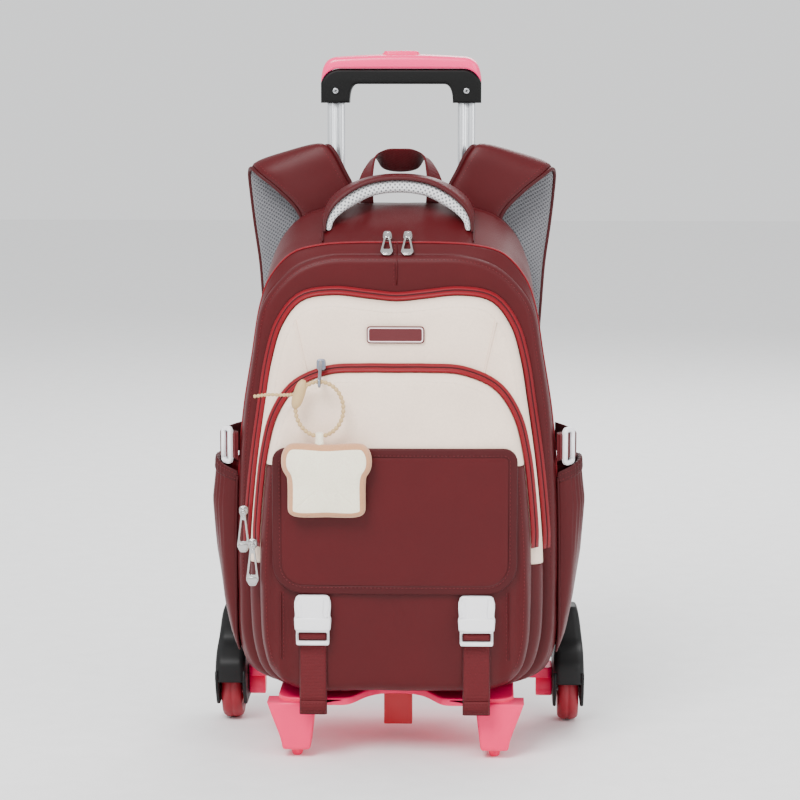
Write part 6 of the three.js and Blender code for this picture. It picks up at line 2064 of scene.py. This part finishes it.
@dataclass
class ZipPull:
    """A cast zinc zip slider with its open, faceted pull."""

    name: str
    replaced: str
    at: tuple[float, float, float]
    long: float = 24.0
    lean: float = 0.0
    wide: float = 11.0
    thick: float = 2.0

    # share of the half width, then share of the length, from the top
    OUTLINE = (
        (0.3, 0), (0.4, 0.03), (0.46, 0.14), (0.9, 0.7), (1, 0.8), (0.98, 0.86), (0.62, 0.97),
        (0.4, 1),
    )
    HOLE = ((0.2, 0.2), (0.54, 0.68), (0.44, 0.72))
    FOOT = ((0.52, 0.78), (0.9, 0.82), (0.45, 0.96))
    # plates of the slider: width, height, corner, lower and upper bound, rounding
    SLIDER = ((8, 8, 2.6, -4.0, -2.6, 0.6), (7, 7, 2.4, -1.4, 0.0, 0.6), (3, 5.5, 1.2, -3.0, 0.9, 0.5))

    def make(self) -> None:
        """Make the slider and the pull."""
        half = self.wide / 2
        frame = Matrix.Translation(self.at) @ Matrix.Rotation(self.lean, 4, "X")
        draft = Draft(self.name, SILVER)
        outer, window, foot = (
            with_mirror([(o * half, -d * self.long) for o, d in rows])
            for rows in (self.OUTLINE, self.HOLE, self.FOOT)
        )
        front = frame @ Plane.FRONT.value
        draft.plate([outer, window], front, 0.1, self.thick, 0.5)
        draft.plate([foot], front, self.thick - 0.5, self.thick + 0.5, 0.4)
        eye = [(1.9 * s, -self.thick * 0.5 - 0.3, -1.6 + 2.6 * c) for c, s in circle(1, 24)]
        draft.tube([frame @ Vector(p) for p in eye], 0.9, 10, closed=True)
        for wide, high, corner, low, top, bevel in self.SLIDER:
            draft.plate([rounded(wide, high, corner, 0, 0.8)], front, low, top, bevel)
        draft.piece("bag", "steel_parts", [self.replaced])


@dataclass
class Charm:
    """The charm: a plush slice of bread on a ribbed plastic tie that hangs from the small zip."""

    pocket: SmallPocket
    x: float = -58.0
    wide: float = 80.0
    high: float = 66.0
    thick: float = 15.0
    bottom: float = 219.0
    loop_x: float = -64.0
    loop_wide: float = 20.5
    loop_high: float = 23.5
    tie: float = 3.2
    tab: float = 8.0
    tail: float = 34.0
    lock_turn: float = 148.0
    lock_radius: float = 5.0
    lock_half: float = 13.0
    flap_thick: float = 3.0
    crust: float = 6.5
    seam: float = 0.8

    def __post_init__(self) -> None:
        """Find the depth of the tie."""
        middle = self.pocket.bottom + self.pocket.height / 2
        self.back = self.pocket.plain(0, middle) - SEAT - self.flap_thick - GAP
        self.tie_y = self.back - self.thick / 2 + 2
        self.tie_z = self.bottom + self.high + self.tab + self.loop_high - self.tie

    def outline(self) -> Points:
        """Draw the slice about its own middle, anticlockwise from the bottom."""
        poles = (
            ((0.5, -0.01), (0.86, -0.04), (0.86, 0.12)), ((0.86, 0.3), (0.84, 0.5), (0.9, 0.56)),
            ((1.08, 0.68), (1.02, 1), (0.7, 1)), ((0.4, 1), (0.2, 0.98), (0, 0.98)),
        )
        right = [(0.0, 0.0)]
        for controls in poles:
            right += bezier(right[-1], *controls, steps=12)
        both = right + [(-o, u) for o, u in right[-2:0:-1]]
        points = [(o * self.wide / 2, self.bottom + u * self.high) for o, u in both]
        return even_steps(np.array(points), 110, closed=True)

    def make_slice(self) -> None:
        """Make the plush slice: cream faces inside a tan crust."""
        shape = Outline(self.outline())
        draft = Draft("bread_slice_plush", PLUSH_FACE, PLUSH_CRUST)
        half, middle = self.thick / 2 - 1.2, self.back - self.thick / 2
        rings = []
        for turn in np.radians(np.linspace(-90, 90, 13)):
            inset = self.crust * (1 - math.cos(turn)) + self.seam
            rings.append(shape.inset(inset).ring(middle - half * math.sin(turn)))
        inner = shape.inset(self.crust + self.seam)
        front = [
            inner.shrink(s).ring(middle - half)
            for s in (0.93, 0.84, 0.74, 0.62, 0.5, 0.38, 0.26, 0.14, 0.05, 0)
        ]
        rear = [inner.shrink(s).ring(middle + half) for s in (0, 0.1, 0.25, 0.45, 0.65, 0.85)]
        faces = draft.grid(np.array(rear + rings + front) + (self.x, 0, 0), closed=True)
        for face in faces:
            place = face.calc_center_median()
            face.material_index = 1 if abs(place.y - middle) < half * 0.95 else 0
        made = draft.piece("bag", "plush", ["charm_bread"])
        inflate(made, lambda p: 0.2 if abs(p.y / MM - Y_SHIFT - middle) < half * 0.4 else 0.0, 2.5, 2.2)
        trim = Draft("bread_slice_tab", PLUSH_FACE)
        low = self.bottom + self.high - 3
        path = np.array([(self.loop_x, self.tie_y, z) for z in np.linspace(low, low + self.tab + 3, 6)])
        trim.tube(path, [4.2, 3.9, 3.6, 3.5, 3.6, 2.6], 16)
        trim.piece("bag", "plush")

    def on_loop(self, turn: float) -> tuple[float, float, float]:
        """A point of the tie's middle line."""
        return (
            self.loop_x + self.loop_wide * math.cos(turn), self.tie_y,
            self.tie_z + self.loop_high * math.sin(turn)
        )

    def make_tie(self) -> None:
        """Make the ribbed tie."""
        draft = Draft("ribbed_tie_loop", BEIGE_TIE)
        turns = np.linspace(0, FULL_TURN, 360, endpoint=False)
        radii = [self.tie / 2 * (0.62 + 0.62 * abs(math.sin(k * math.pi / 10))) for k in range(len(turns))]
        draft.tube([self.on_loop(t) for t in turns], radii, 12, closed=True)
        draft.piece("bag", "tie_plastic", ["charm_tie"])

    def make_lock(self) -> None:
        """Make the tie's lock and the tail that sticks out of it."""
        draft = Draft("ribbed_tie_lock", BEIGE_TIE)
        x, y, z = self.on_loop(math.radians(self.lock_turn))
        lean = math.pi / 10
        rings = []
        for share in np.linspace(-1, 1, 17):
            radius = self.lock_radius * max(0.12, 1 - abs(share) ** 3.2) ** 0.5
            along = self.lock_half * share
            c, s = math.cos(lean), math.sin(lean)
            ring = circle(radius, 20)
            rings.append([(x + u * c + along * s, y + v, z - u * s + along * c) for u, v in ring])
        draft.grid(rings, closed=True, caps=True)
        end = x - self.lock_radius - self.tail
        path = smooth_curve(
            np.array([(x, y, z), (x - 12, y, z - 0.6), (x - 26, y, z - 0.4), (end, y, z - 2)]), per=30
        )
        radii = [self.tie / 2 * (0.5 + 0.5 * abs(math.sin(k * math.pi / 7))) for k in range(len(path))]
        draft.tube(path, radii, 10)
        draft.piece("bag", "tie_plastic", ["charm_lock"])

    def make_slider(self) -> None:
        """Make the grey slider that the tie hangs from."""
        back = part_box("charm_slider")[1][1] / MM - Y_SHIFT
        z = self.pocket.shape.outline.top(self.loop_x) + 7 + 4
        draft = Draft("charm_zip_slider", GREY_SLIDER)
        front = Matrix.Translation((self.loop_x, back - 4, z)) @ Plane.FRONT.value
        plates = ((8, 10, 2.6, -4.0, -2.4, 0.6), (7.4, 9, 2.4, -1.2, 0.6, 0.6), (3.4, 5, 1.4, -3.0, 0.9, 0.5))
        for wide, high, corner, low, top, bevel in plates:
            draft.plate([rounded(wide, high, corner)], front, low, top, bevel)
        eye_y, eye_z = self.tie_y, self.tie_z + self.loop_high
        eye = (
            (back - 4.6, z + 2.4), (back - 12, z + 1.5), (eye_y + 1, eye_z + 4.2), (eye_y - 4.2, eye_z + 1.0),
            (eye_y - 2.6, eye_z - 3.4), (eye_y + 3.4, eye_z - 3.6), (back - 12, z - 1.8),
            (back - 4.6, z - 2.6),
        )
        path = smooth_curve([(self.loop_x, y, z) for y, z in eye], closed=True, per=6)
        draft.tube(path, 1.25, 10, closed=True)
        draft.piece("bag", "steel_parts", ["charm_slider"])

    def make(self) -> None:
        """Make every piece of the charm."""
        self.make_slice()
        self.make_tie()
        self.make_lock()
        self.make_slider()


# ---------------------------------------------------------------- trolley


def rounded_copy(name: str, node: str, body: str, finish: Finish, bevel: float) -> None:
    """Make a moulding from a solid of the frame: its faces kept, its sharp edges rounded.

    Args:
        name: Name of the piece.
        node: The solid.
        body: The body it rides on.
        finish: Its finish.
        bevel: Radius of its edges, mm.
    """
    bm = bmesh.new()
    bm.from_mesh(bpy.data.objects[node].data)
    bmesh.ops.remove_doubles(bm, verts=bm.verts, dist=2e-6)
    bmesh.ops.dissolve_limit(bm, angle_limit=math.radians(1), verts=bm.verts, edges=bm.edges)
    for face in bm.faces:
        face.smooth = True
    mesh = bpy.data.meshes.new(name)
    bm.to_mesh(mesh)
    bm.free()
    mesh.materials.append(finish.material())
    made = put(name, mesh)
    edges = made.modifiers.new("rounded edges", "BEVEL")
    edges.width = bevel * MM
    edges.segments = EDGE_FACETS
    edges.limit_method = "ANGLE"
    edges.angle_limit = SHARP_EDGE
    edges.use_clamp_overlap = True
    edges.harden_normals = True
    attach(made, body)
    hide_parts(node)
    LOG.info("%s: rounded from %s", name, node)


@dataclass
class Tubes:
    """The telescoping tubes of the trolley and the bracket that holds them to the back panel."""

    span: float = 59.5
    y: float = 108.0
    outer_wide: float = 20.0
    outer_deep: float = 15.0
    outer_low: float = 53.4
    outer_top: float = 470.0
    wall: float = 1.4
    corner: float = 5.0
    inner_wide: float = 16.0
    inner_deep: float = 11.0
    inner_long: float = 470.0
    inner_top: float = 588.7
    groove: float = 4.0
    groove_deep: float = 1.5
    collar: float = 15.0
    collar_wall: float = 1.5

    def sleeve(
        self, draft: Draft, x: float, outer: Sequence[float], bore: Sequence[float], low: float, top: float,
        bevel: float
    ) -> None:
        """Add a hollow upright tube.

        Args:
            draft: The mesh.
            x: Its middle, across.
            outer: Width, depth and corner of its outside.
            bore: Width, depth and corner of its bore.
            low: Its lower end.
            top: Its upper end.
            bevel: Rounding of its edges.
        """
        ring, hole = (rounded(*section, x, self.y, 8) for section in (outer, bore))
        draft.plate([ring, hole[::-1]], Plane.TOP, low, top, bevel)

    def inner_section(self, x: float) -> list[tuple[float, float]]:
        """Draw the section of a sliding tube with its two grooves."""
        w, d, g, r = self.inner_wide / 2, self.inner_deep / 2, self.groove / 2, self.groove_deep
        plain = rounded(self.inner_wide, self.inner_deep, self.corner - 2, steps=8)
        points = []
        for k, (u, v) in enumerate(plain):
            nu, nv = plain[(k + 1) % len(plain)]
            points.append((x + u, self.y + v))
            if abs(v - nv) < 1e-6 and abs(u - nu) > g * 2:
                s = 1 if nu > u else -1
                into = -1 if v > 0 else 1
                for gu, gv in ((-1.3, 0), (-1, 0.4), (-0.8, 1), (0.8, 1), (1, 0.4), (1.3, 0)):
                    points.append((x + s * g * gu, self.y + v + into * r * gv))
        return points

    def make(self) -> None:
        """Make the tubes, their collars and the bracket."""
        for sign, side in SIDES:
            x = sign * self.span
            outer = Draft(f"fixed_tube_{side}", TUBE)
            wide, deep, wall = self.outer_wide, self.outer_deep, 2 * self.wall
            bore = (wide - wall, deep - wall, self.corner - 1)
            self.sleeve(outer, x, (wide, deep, self.corner), bore, self.outer_low, self.outer_top, 0.3)
            outer.piece("bag", "tube_metal", [f"outer_tube_{side}"])
            cap = Draft(f"fixed_tube_collar_{side}", BLACK_HOUSING)
            around = (wide + 2 * self.collar_wall, deep + 2 * self.collar_wall, self.corner + 1)
            mouth = (self.inner_wide + 1, self.inner_deep + 1, self.corner - 2)
            self.sleeve(cap, x, around, mouth, self.outer_top + 0.1, self.outer_top + 4, 0.8)
            mouth = (wide + 0.2, deep + 0.2, self.corner)
            self.sleeve(cap, x, around, mouth, self.outer_top - self.collar, self.outer_top + 1, 0.5)
            cap.piece("bag", "black_plastic")
            inner = Draft(f"sliding_tube_{side}", TUBE)
            inner.plate(
                [self.inner_section(x)], Plane.TOP, self.inner_top - self.inner_long, self.inner_top, 0.25
            )
            inner.piece("handle", "tube_metal", [f"inner_tube_{side}"])
        rounded_copy("tube_bracket_moulded", "tube_bracket", "bag", BLACK_HOUSING, 1.6)


@dataclass
class PullHandle:
    """The trolley's handle: a grained black grip under a glossy pink cover, with its button."""

    half: float = 73.0
    top: float = 613.0
    socket_drop: float = 44.0
    socket_wide: float = 26.0
    grip_drop: float = 27.0
    cover_high: float = 13.0
    cover_side: float = 26.0
    deep: float = 24.0
    y: float = 108.0
    tube_span: float = 59.5
    button_wide: float = 32.0
    button_deep: float = 13.0
    screw_up: float = 11.0

    def grip_shape(self) -> list[tuple[float, float]]:
        """Draw the grip from the front."""
        low, under = self.top - self.socket_drop, self.top - self.grip_drop
        inner, up, end = self.half - self.socket_wide, self.top - self.cover_high, self.top - self.cover_side
        shoulder = self.half * 0.76
        right = [(self.half, low), (self.half, end)]
        right += bezier((self.half, end), (self.half * 0.93, up), (shoulder, up))
        points = with_mirror(right) + [(-inner, low)]
        points += bezier((-inner, low), (-inner, under), (-inner + 8, under))
        points += [(inner - 8, under)]
        points += bezier((inner - 8, under), (inner, under), (inner, low))
        return points

    def cover_rows(self) -> list[tuple[float, float, float]]:
        """Rows of the cover from one end to the other: place across, its lower and its upper edge."""
        end, up = self.top - self.cover_side + GAP, self.top - self.cover_high + GAP
        shoulder = self.half * 0.76
        low = [(self.half, end)] + bezier((self.half, end), (self.half * 0.93, up), (shoulder, up), steps=16)
        high = [(self.half, end + 6)] + bezier(
            (self.half, end + 6), (self.half, self.top - 2), (shoulder, self.top - 2), steps=16
        )
        high += bezier((shoulder, self.top - 2), (0, self.top + 2), (-shoulder, self.top - 2), steps=40)
        xs = self.half * np.sin(np.linspace(-math.pi / 2, math.pi / 2, 57))
        edges = [np.array([p for p in line if p[0] >= -1])[::-1] for line in (low, high)]
        lower, upper = (np.interp(abs(xs), edge[:, 0], edge[:, 1]) for edge in edges)
        return [(float(x), float(a), float(b)) for x, a, b in zip(xs, lower, upper)]

    def make_grip(self) -> None:
        """Make the grip."""
        grip = Draft("trolley_grip", BLACK_GRIP)
        grip.plate(
            [self.grip_shape()], Plane.FRONT, -(self.y + self.deep / 2), -(self.y - self.deep / 2), 3.2,
            segments=6
        )
        grip.piece("handle", "black_plastic", ["handle_grip"])

    def make_cover(self) -> None:
        """Make the cover: a shell whose top is round across."""
        cover = Draft("trolley_cover", PINK_HANDLE, BLACK_HOUSING)
        half = self.deep / 2 + 1
        rings = []
        for x, low, high in self.cover_rows():
            shrink = max(0.15, (1 - (abs(x) / (self.half + 0.4)) ** 22)) ** 0.5
            top = low + (high - low) * (0.35 + 0.65 * shrink)
            ring = [(x, self.y - half * shrink, low), (x, self.y + half * shrink, low)]
            for t in np.linspace(0, math.pi, 17):
                across = signed_power(math.cos(t), 0.55)
                ring.append((
                    x, self.y + half * shrink * across, low + (top - low) * (0.3 + 0.7 * math.sin(t) ** 0.55)
                ))
            rings.append(ring)
        cover.grid(rings, closed=True, caps=True)
        mount = rounded(self.button_wide + 2.4, self.button_deep + 2.4, 6, 0, self.y, 8)
        hole = rounded(self.button_wide + 0.6, self.button_deep + 0.6, 5.3, 0, self.y, 8)
        cover.plate([mount, hole[::-1]], Plane.TOP, self.top - 2, self.top + 0.9, 0.4)
        # A thin dark sheet fills the button's opening: painted shade in the gap round the button.
        cover.plate([hole], Plane.TOP, self.top - 1, self.top + 0.35, 0.1, mat=1)
        cover.piece("handle", "pink_plastic", ["handle_cover"])

    def make(self) -> None:
        """Make the grip, the cover, the button and the screws."""
        self.make_grip()
        self.make_cover()
        button = Draft("trolley_button", PINK_HANDLE)
        shape = rounded(self.button_wide, self.button_deep, 5, 0, self.y, 8)
        button.plate([shape], Plane.TOP, self.top - 9, self.top + 3, 1.6, segments=6)
        for k in range(-2, 3):
            path = np.array([(k * 4.2, self.y + d, self.top + 3) for d in np.linspace(-4, 4, 6)])
            button.tube(path, 0.5, 6)
        button.piece("handle_button", "pink_plastic", ["handle_button"])
        front = self.y - self.deep / 2
        for sign, side in SIDES:
            screw = Draft(f"trolley_screw_{side}", STEEL, BLACK_HOUSING)
            at = Matrix.Translation(
                (sign * self.tube_span, front, self.top - self.socket_drop + self.screw_up)
            )
            screw.plate([circle(2.7, 32)], at @ Plane.FRONT.value, -1, 1.5, 0.7)
            rim, hole = circle(3.6, 32), circle(3.6 * 0.86, 32)[::-1]
            screw.plate([rim, hole], at @ Plane.FRONT.value, -1, 0.6, 0.2, mat=1)
            # The cross in the screw's head is a thin dark sheet: painted shade in its slots.
            for turn in (0.4, 0.4 + math.pi / 2):
                slot = [(1.7 * math.cos(turn + s), 1.7 * math.sin(turn + s)) for s in (-0.2, 0.2)]
                slot += [(-x, -z) for x, z in slot]
                screw.plate([slot], at @ Plane.FRONT.value, 1.2, 1.56, 0.05, mat=1)
            screw.piece("handle", "steel_parts", [f"grip_screw_{side}"])


@dataclass
class Base:
    """The pink base with its feet and wheel arms, and the red centre stop under it."""

    top: float = 53.05
    thick: float = 7.0
    half: float = 104.0
    front: float = -58.0
    back: float = 85.0
    foot_x: float = 87.0
    foot_y: float = -50.0
    foot_deep: float = 30.0
    nub_high: float = 7.3
    shelf_half: float = 75.5
    shelf_back: float = 118.5
    arm_end: float = 140.4
    wheel_y: float = 85.0
    axle_z: float = 31.0

    def foot_shape(self, sign: int) -> list[tuple[float, float]]:
        """Draw a foot from the front: its outer edge hollow, its lower corners round."""
        low = self.top - self.thick + 3.5
        outer = bezier((25.8, low), (19.5, 30), (14.5, 22), (12.6, 10.4), steps=14)
        corner = bezier((12.6, 10.4), (12.2, 7.3), (9.2, 7.3), steps=6)
        inner = bezier((-9.2, 7.3), (-12.2, 7.3), (-12.4, 10.2), steps=6) + [(-17.2, low)]
        points = [(25.8, low)] + outer + corner + [(-9.2, 7.3)] + inner
        return [(sign * (self.foot_x + x), z) for x, z in points]

    def make_plate(self, draft: Draft) -> None:
        """Add the tray under the bag, the shelf of the tubes and the arch between the feet."""
        low = self.top - self.thick
        hollow = bezier((48, self.front), (30, self.front), (34, -12), (0, -12), steps=12)
        right = [
            (self.half - 22, self.back), (self.half - 5, self.back - 5), (self.half, self.back - 22),
            (self.half, self.front + 20),
        ]
        right += bezier(right[-1], (self.half, self.front), (self.half - 20, self.front), steps=8)
        right += [(48, self.front)] + hollow
        tray = right + [(-x, y) for x, y in right[-2::-1]]
        draft.plate([tray], Plane.TOP, low, self.top, 1.6, segments=4)
        shelf = rounded(
            2 * self.shelf_half, self.shelf_back - self.back + 20, 6, 0,
            (self.shelf_back + self.back - 20) / 2
        )
        draft.plate([shelf], Plane.TOP, low + 0.1, self.top - 0.1, 1.6, segments=4)
        for sign in (-1, 1):
            arch = [(self.foot_x - 10, self.top - 0.5), (self.foot_x - 10, low - 6)]
            arch += bezier(arch[-1], (self.foot_x - 24, low + 2.4), (46, low + 3.4), steps=12)
            arch += [(46, self.top - 0.5)]
            draft.plate([[(sign * x, z) for x, z in arch]], Plane.FRONT, -self.front - 6, -self.front, 1.2)
        for k in range(-3, 4):
            rib = rounded(2.2, 50, 1, k * 24, 28)
            draft.plate([rib], Plane.TOP, low - 2.5, low + 1, 0.5)

    def make_arm(self, draft: Draft, sign: int) -> None:
        """Add the arm to a wheel with the round boss of its axle."""
        low = self.top - self.thick
        arm = rounded(
            self.arm_end - self.half + 14, 34, 5, sign * (self.arm_end + self.half - 14) / 2, self.wheel_y
        )
        draft.plate([arm], Plane.TOP, low - 4, self.top - 1, 1.6, segments=4)
        turns = np.linspace(0, math.pi, 17)
        boss = [(self.wheel_y + 9 * math.cos(t), self.axle_z - 1 - 8 * math.sin(t)) for t in turns]
        boss += [(self.wheel_y - 9, low - 1), (self.wheel_y + 9, low - 1)]
        ends = sorted((sign * (self.arm_end - 15), sign * self.arm_end))
        draft.plate([boss], Plane.SIDE, ends[0], ends[1], 1.4)

    def make(self) -> None:
        """Make the base and the stop."""
        draft = Draft("base_moulding", PINK_BASE)
        self.make_plate(draft)
        for sign, _ in SIDES:
            deep = self.foot_deep / 2
            draft.plate(
                [self.foot_shape(sign)], Plane.FRONT, -self.foot_y - deep, -self.foot_y + deep, 3.2,
                segments=5
            )
            path = np.array([(sign * self.foot_x, self.foot_y, z) for z in (12, self.nub_high, 3, 1.0, 0.0)])
            draft.tube(path, [6.4, 6.0, 4.9, 4.4, 3.4], 28)
            self.make_arm(draft, sign)
        draft.piece("bag", "pink_plastic", ["base_frame"])
        rounded_copy("centre_stop_moulding", "centre_stop", "bag", RED_NYLON, 0.9)


@dataclass
class WheelHousing:
    """The dark housing over a wheel: a hood with a cheek on each side of the wheel."""

    inside: float = 140.8
    outside: float = 169.2
    y: float = 85.0
    cheek: float = 3.2

    # height, inner and outer side drawn in, reach to the front and to the back
    ROWS = (
        (41.5, 0, 0, 41.5, 41.5), (50, 0, 0, 42, 42), (60, 0.2, 0.3, 40.5, 41),
        (69, 1.2, 0.6, 31, 37.5), (77.5, 3.2, 1.4, 17, 32.5), (86, 3.5, 2.4, 13.5, 28.5),
        (95, 3.8, 3.6, 12.6, 24.5), (103, 4.6, 5.4, 11, 20.5), (107, 5.6, 7, 8.6, 16.6),
    )

    def make(self, sign: int, side: str) -> None:
        """Make the housing of one side."""
        draft = Draft(f"wheel_housing_{side}", BLACK_HOUSING)
        rows = smooth_curve(self.ROWS, per=5)
        rings = []
        for z, shrink_in, shrink_out, front, back in rows:
            x0, x1 = self.inside + shrink_in, self.outside - shrink_out
            y0, y1 = self.y - front, self.y + back
            ring = rounded(x1 - x0, y1 - y0, min(6.5, (x1 - x0) * 0.3), (x0 + x1) / 2, (y0 + y1) / 2, 7)
            rings.append([(x, y, z) for x, y in ring])
        last = np.array(rings[-1])
        middle = last.mean(axis=0)
        for share, lift in ((0.9, 0.6), (0.75, 0.9), (0.5, 1.0), (0.2, 1.0), (0.0, 1.0)):
            rings.append(middle + (last - middle) * share + (0, 0, lift))
        inner = middle + (np.array(rings[0]) - middle) * (0.8, 0.92, 1)
        draft.grid([inner, *rings], closed=True)
        lower = [(self.y + a, z) for a, z in ((-41.8, 52), (-41.5, 44), (-36, 31.5), (-27, 19.5))]
        lower += bezier(lower[-1], (self.y - 25, 17), (self.y - 21, 17), steps=5)
        cheek = lower + [(2 * self.y - y, z) for y, z in lower[::-1]]
        for low in (self.inside, self.outside - self.cheek):
            draft.plate([cheek], Plane.SIDE, low, low + self.cheek, 1.2, segments=4)
        draft.piece("bag", "black_plastic", [f"fender_{side}"], mirror=sign < 0)


@dataclass
class Wheel:
    """A wheel: a raspberry polyurethane tyre on a spoked red hub, on a steel axle."""

    x: float = 155.0
    y: float = 85.0
    radius: float = 31.0
    tyre_wide: float = 19.0
    tyre_deep: float = 11.0
    hub_wide: float = 17.0
    axle: float = 4.0
    spokes: int = 5

    def make(self, sign: int, side: str) -> None:
        """Make the wheel of one side."""
        centre = (self.x, self.y, self.radius)
        inner, w = self.radius - self.tyre_deep, self.tyre_wide / 2
        tyre = Draft(f"tyre_moulded_{side}", TYRE)
        half = [
            (inner, 0.8), (self.radius * 0.8, 0.97), (self.radius * 0.86, 1.0), (self.radius * 0.92, 0.9),
            (self.radius * 0.965, 0.68),
        ]
        half += [
            (self.radius * 0.99, 0.45), (self.radius, 0.2), (self.radius - 0.5, 0.1), (self.radius - 0.7, 0.0)
        ]
        profile = [(r, -s * w) for r, s in half] + [(r, s * w) for r, s in half[-2::-1]]
        tyre.lathe(profile, centre, sides=96)
        tyre.piece(f"wheel_{side}", "tyre_rubber", [f"tyre_{side}"], mirror=sign < 0)
        hub = Draft(f"wheel_hub_{side}", RED_NYLON)
        bore, b = self.axle + GAP, self.hub_wide / 2
        rim = [
            (inner - 0.35, -0.75 * w), (inner - 0.35, 0.75 * w), (inner - 1.2, 0.82 * w), (inner - 3, 0.8 * w)
        ]
        rim += [(inner - 4, 2), (bore * 2, 2), (bore * 1.9, b - 0.8), (bore * 1.75, b), (bore, b), (bore, -b)]
        rim += [
            (bore * 1.75, -b), (bore * 1.9, -b + 0.8), (bore * 2, -2), (inner - 4, -2), (inner - 3, -0.8 * w),
            (inner - 1.2, -0.82 * w),
        ]
        hub.lathe(rim, centre)
        for k in range(self.spokes):
            turn = FULL_TURN * k / self.spokes
            spread = [*zip(np.linspace(1, 0.6, 6), np.linspace(bore * 1.7, inner - 2, 6))]
            for face in (-1, 1):
                path = [(face * (2.6 + 1.2 * s), r * math.cos(turn), r * math.sin(turn)) for s, r in spread]
                hub.tube(np.array(path) + centre, 1.7, 8)
        hub.piece(f"wheel_{side}", "red_plastic", [f"hub_{side}"], mirror=sign < 0)
        pin = Draft(f"wheel_axle_{side}", STEEL)
        low, high = (c / MM for c in (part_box("axle_right")[0][0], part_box("axle_right")[1][0]))
        ends = [
            (3.2, low), (4, low + 0.8), (4, high - 0.9), (3.7, high - 0.3), (3.0, high), (0.05, high),
            (0.05, low),
        ]
        pin.lathe([(r, at - self.x) for r, at in ends], centre, sides=40)
        pin.piece("bag", "steel_parts", [f"axle_{side}"], mirror=sign < 0)


def main() -> None:
    """Build the backpack from its sub-assemblies."""
    logging.basicConfig(level=logging.INFO, format="%(message)s")
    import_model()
    Studio().make()
    body = BagBody()
    body.make()
    big = BigPocket(body)
    big.make()
    small = SmallPocket(big)
    small.make()
    Flap(small).make()
    LabelPatch(big).make()
    for sign, side in SIDES:
        SidePocket(body).make(sign, side)
        CompressionStrap(body).make(sign, side)
        ShoulderStrap(body).make(sign, side)
        FlapBuckle(small).make(sign, side)
        Wheel().make(sign, side)
        WheelHousing().make(sign, side)
    GrabHandle(body).make()
    WebbingLoop(body).make()
    for x, side in ((-9, "left"), (9, "right")):
        at = (x, -2, body.zip.top(0) + 7.2)
        ZipPull(f"main_zip_pull_{side}", f"main_pull_{side}", at, lean=-0.74).make()
    for name, node in (("big_zip_pull", "big_pull"), ("small_zip_pull", "small_pull")):
        low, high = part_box(node)
        x, y, z = (low[0] + high[0]) / 2 / MM, low[1] / MM - Y_SHIFT, high[2] / MM
        ZipPull(name, node, (x, y + 2.0, z - 4.8), long=36.0).make()
    Charm(small).make()
    Tubes().make()
    PullHandle().make()
    Base().make()


if __name__ == "__main__":
    main()
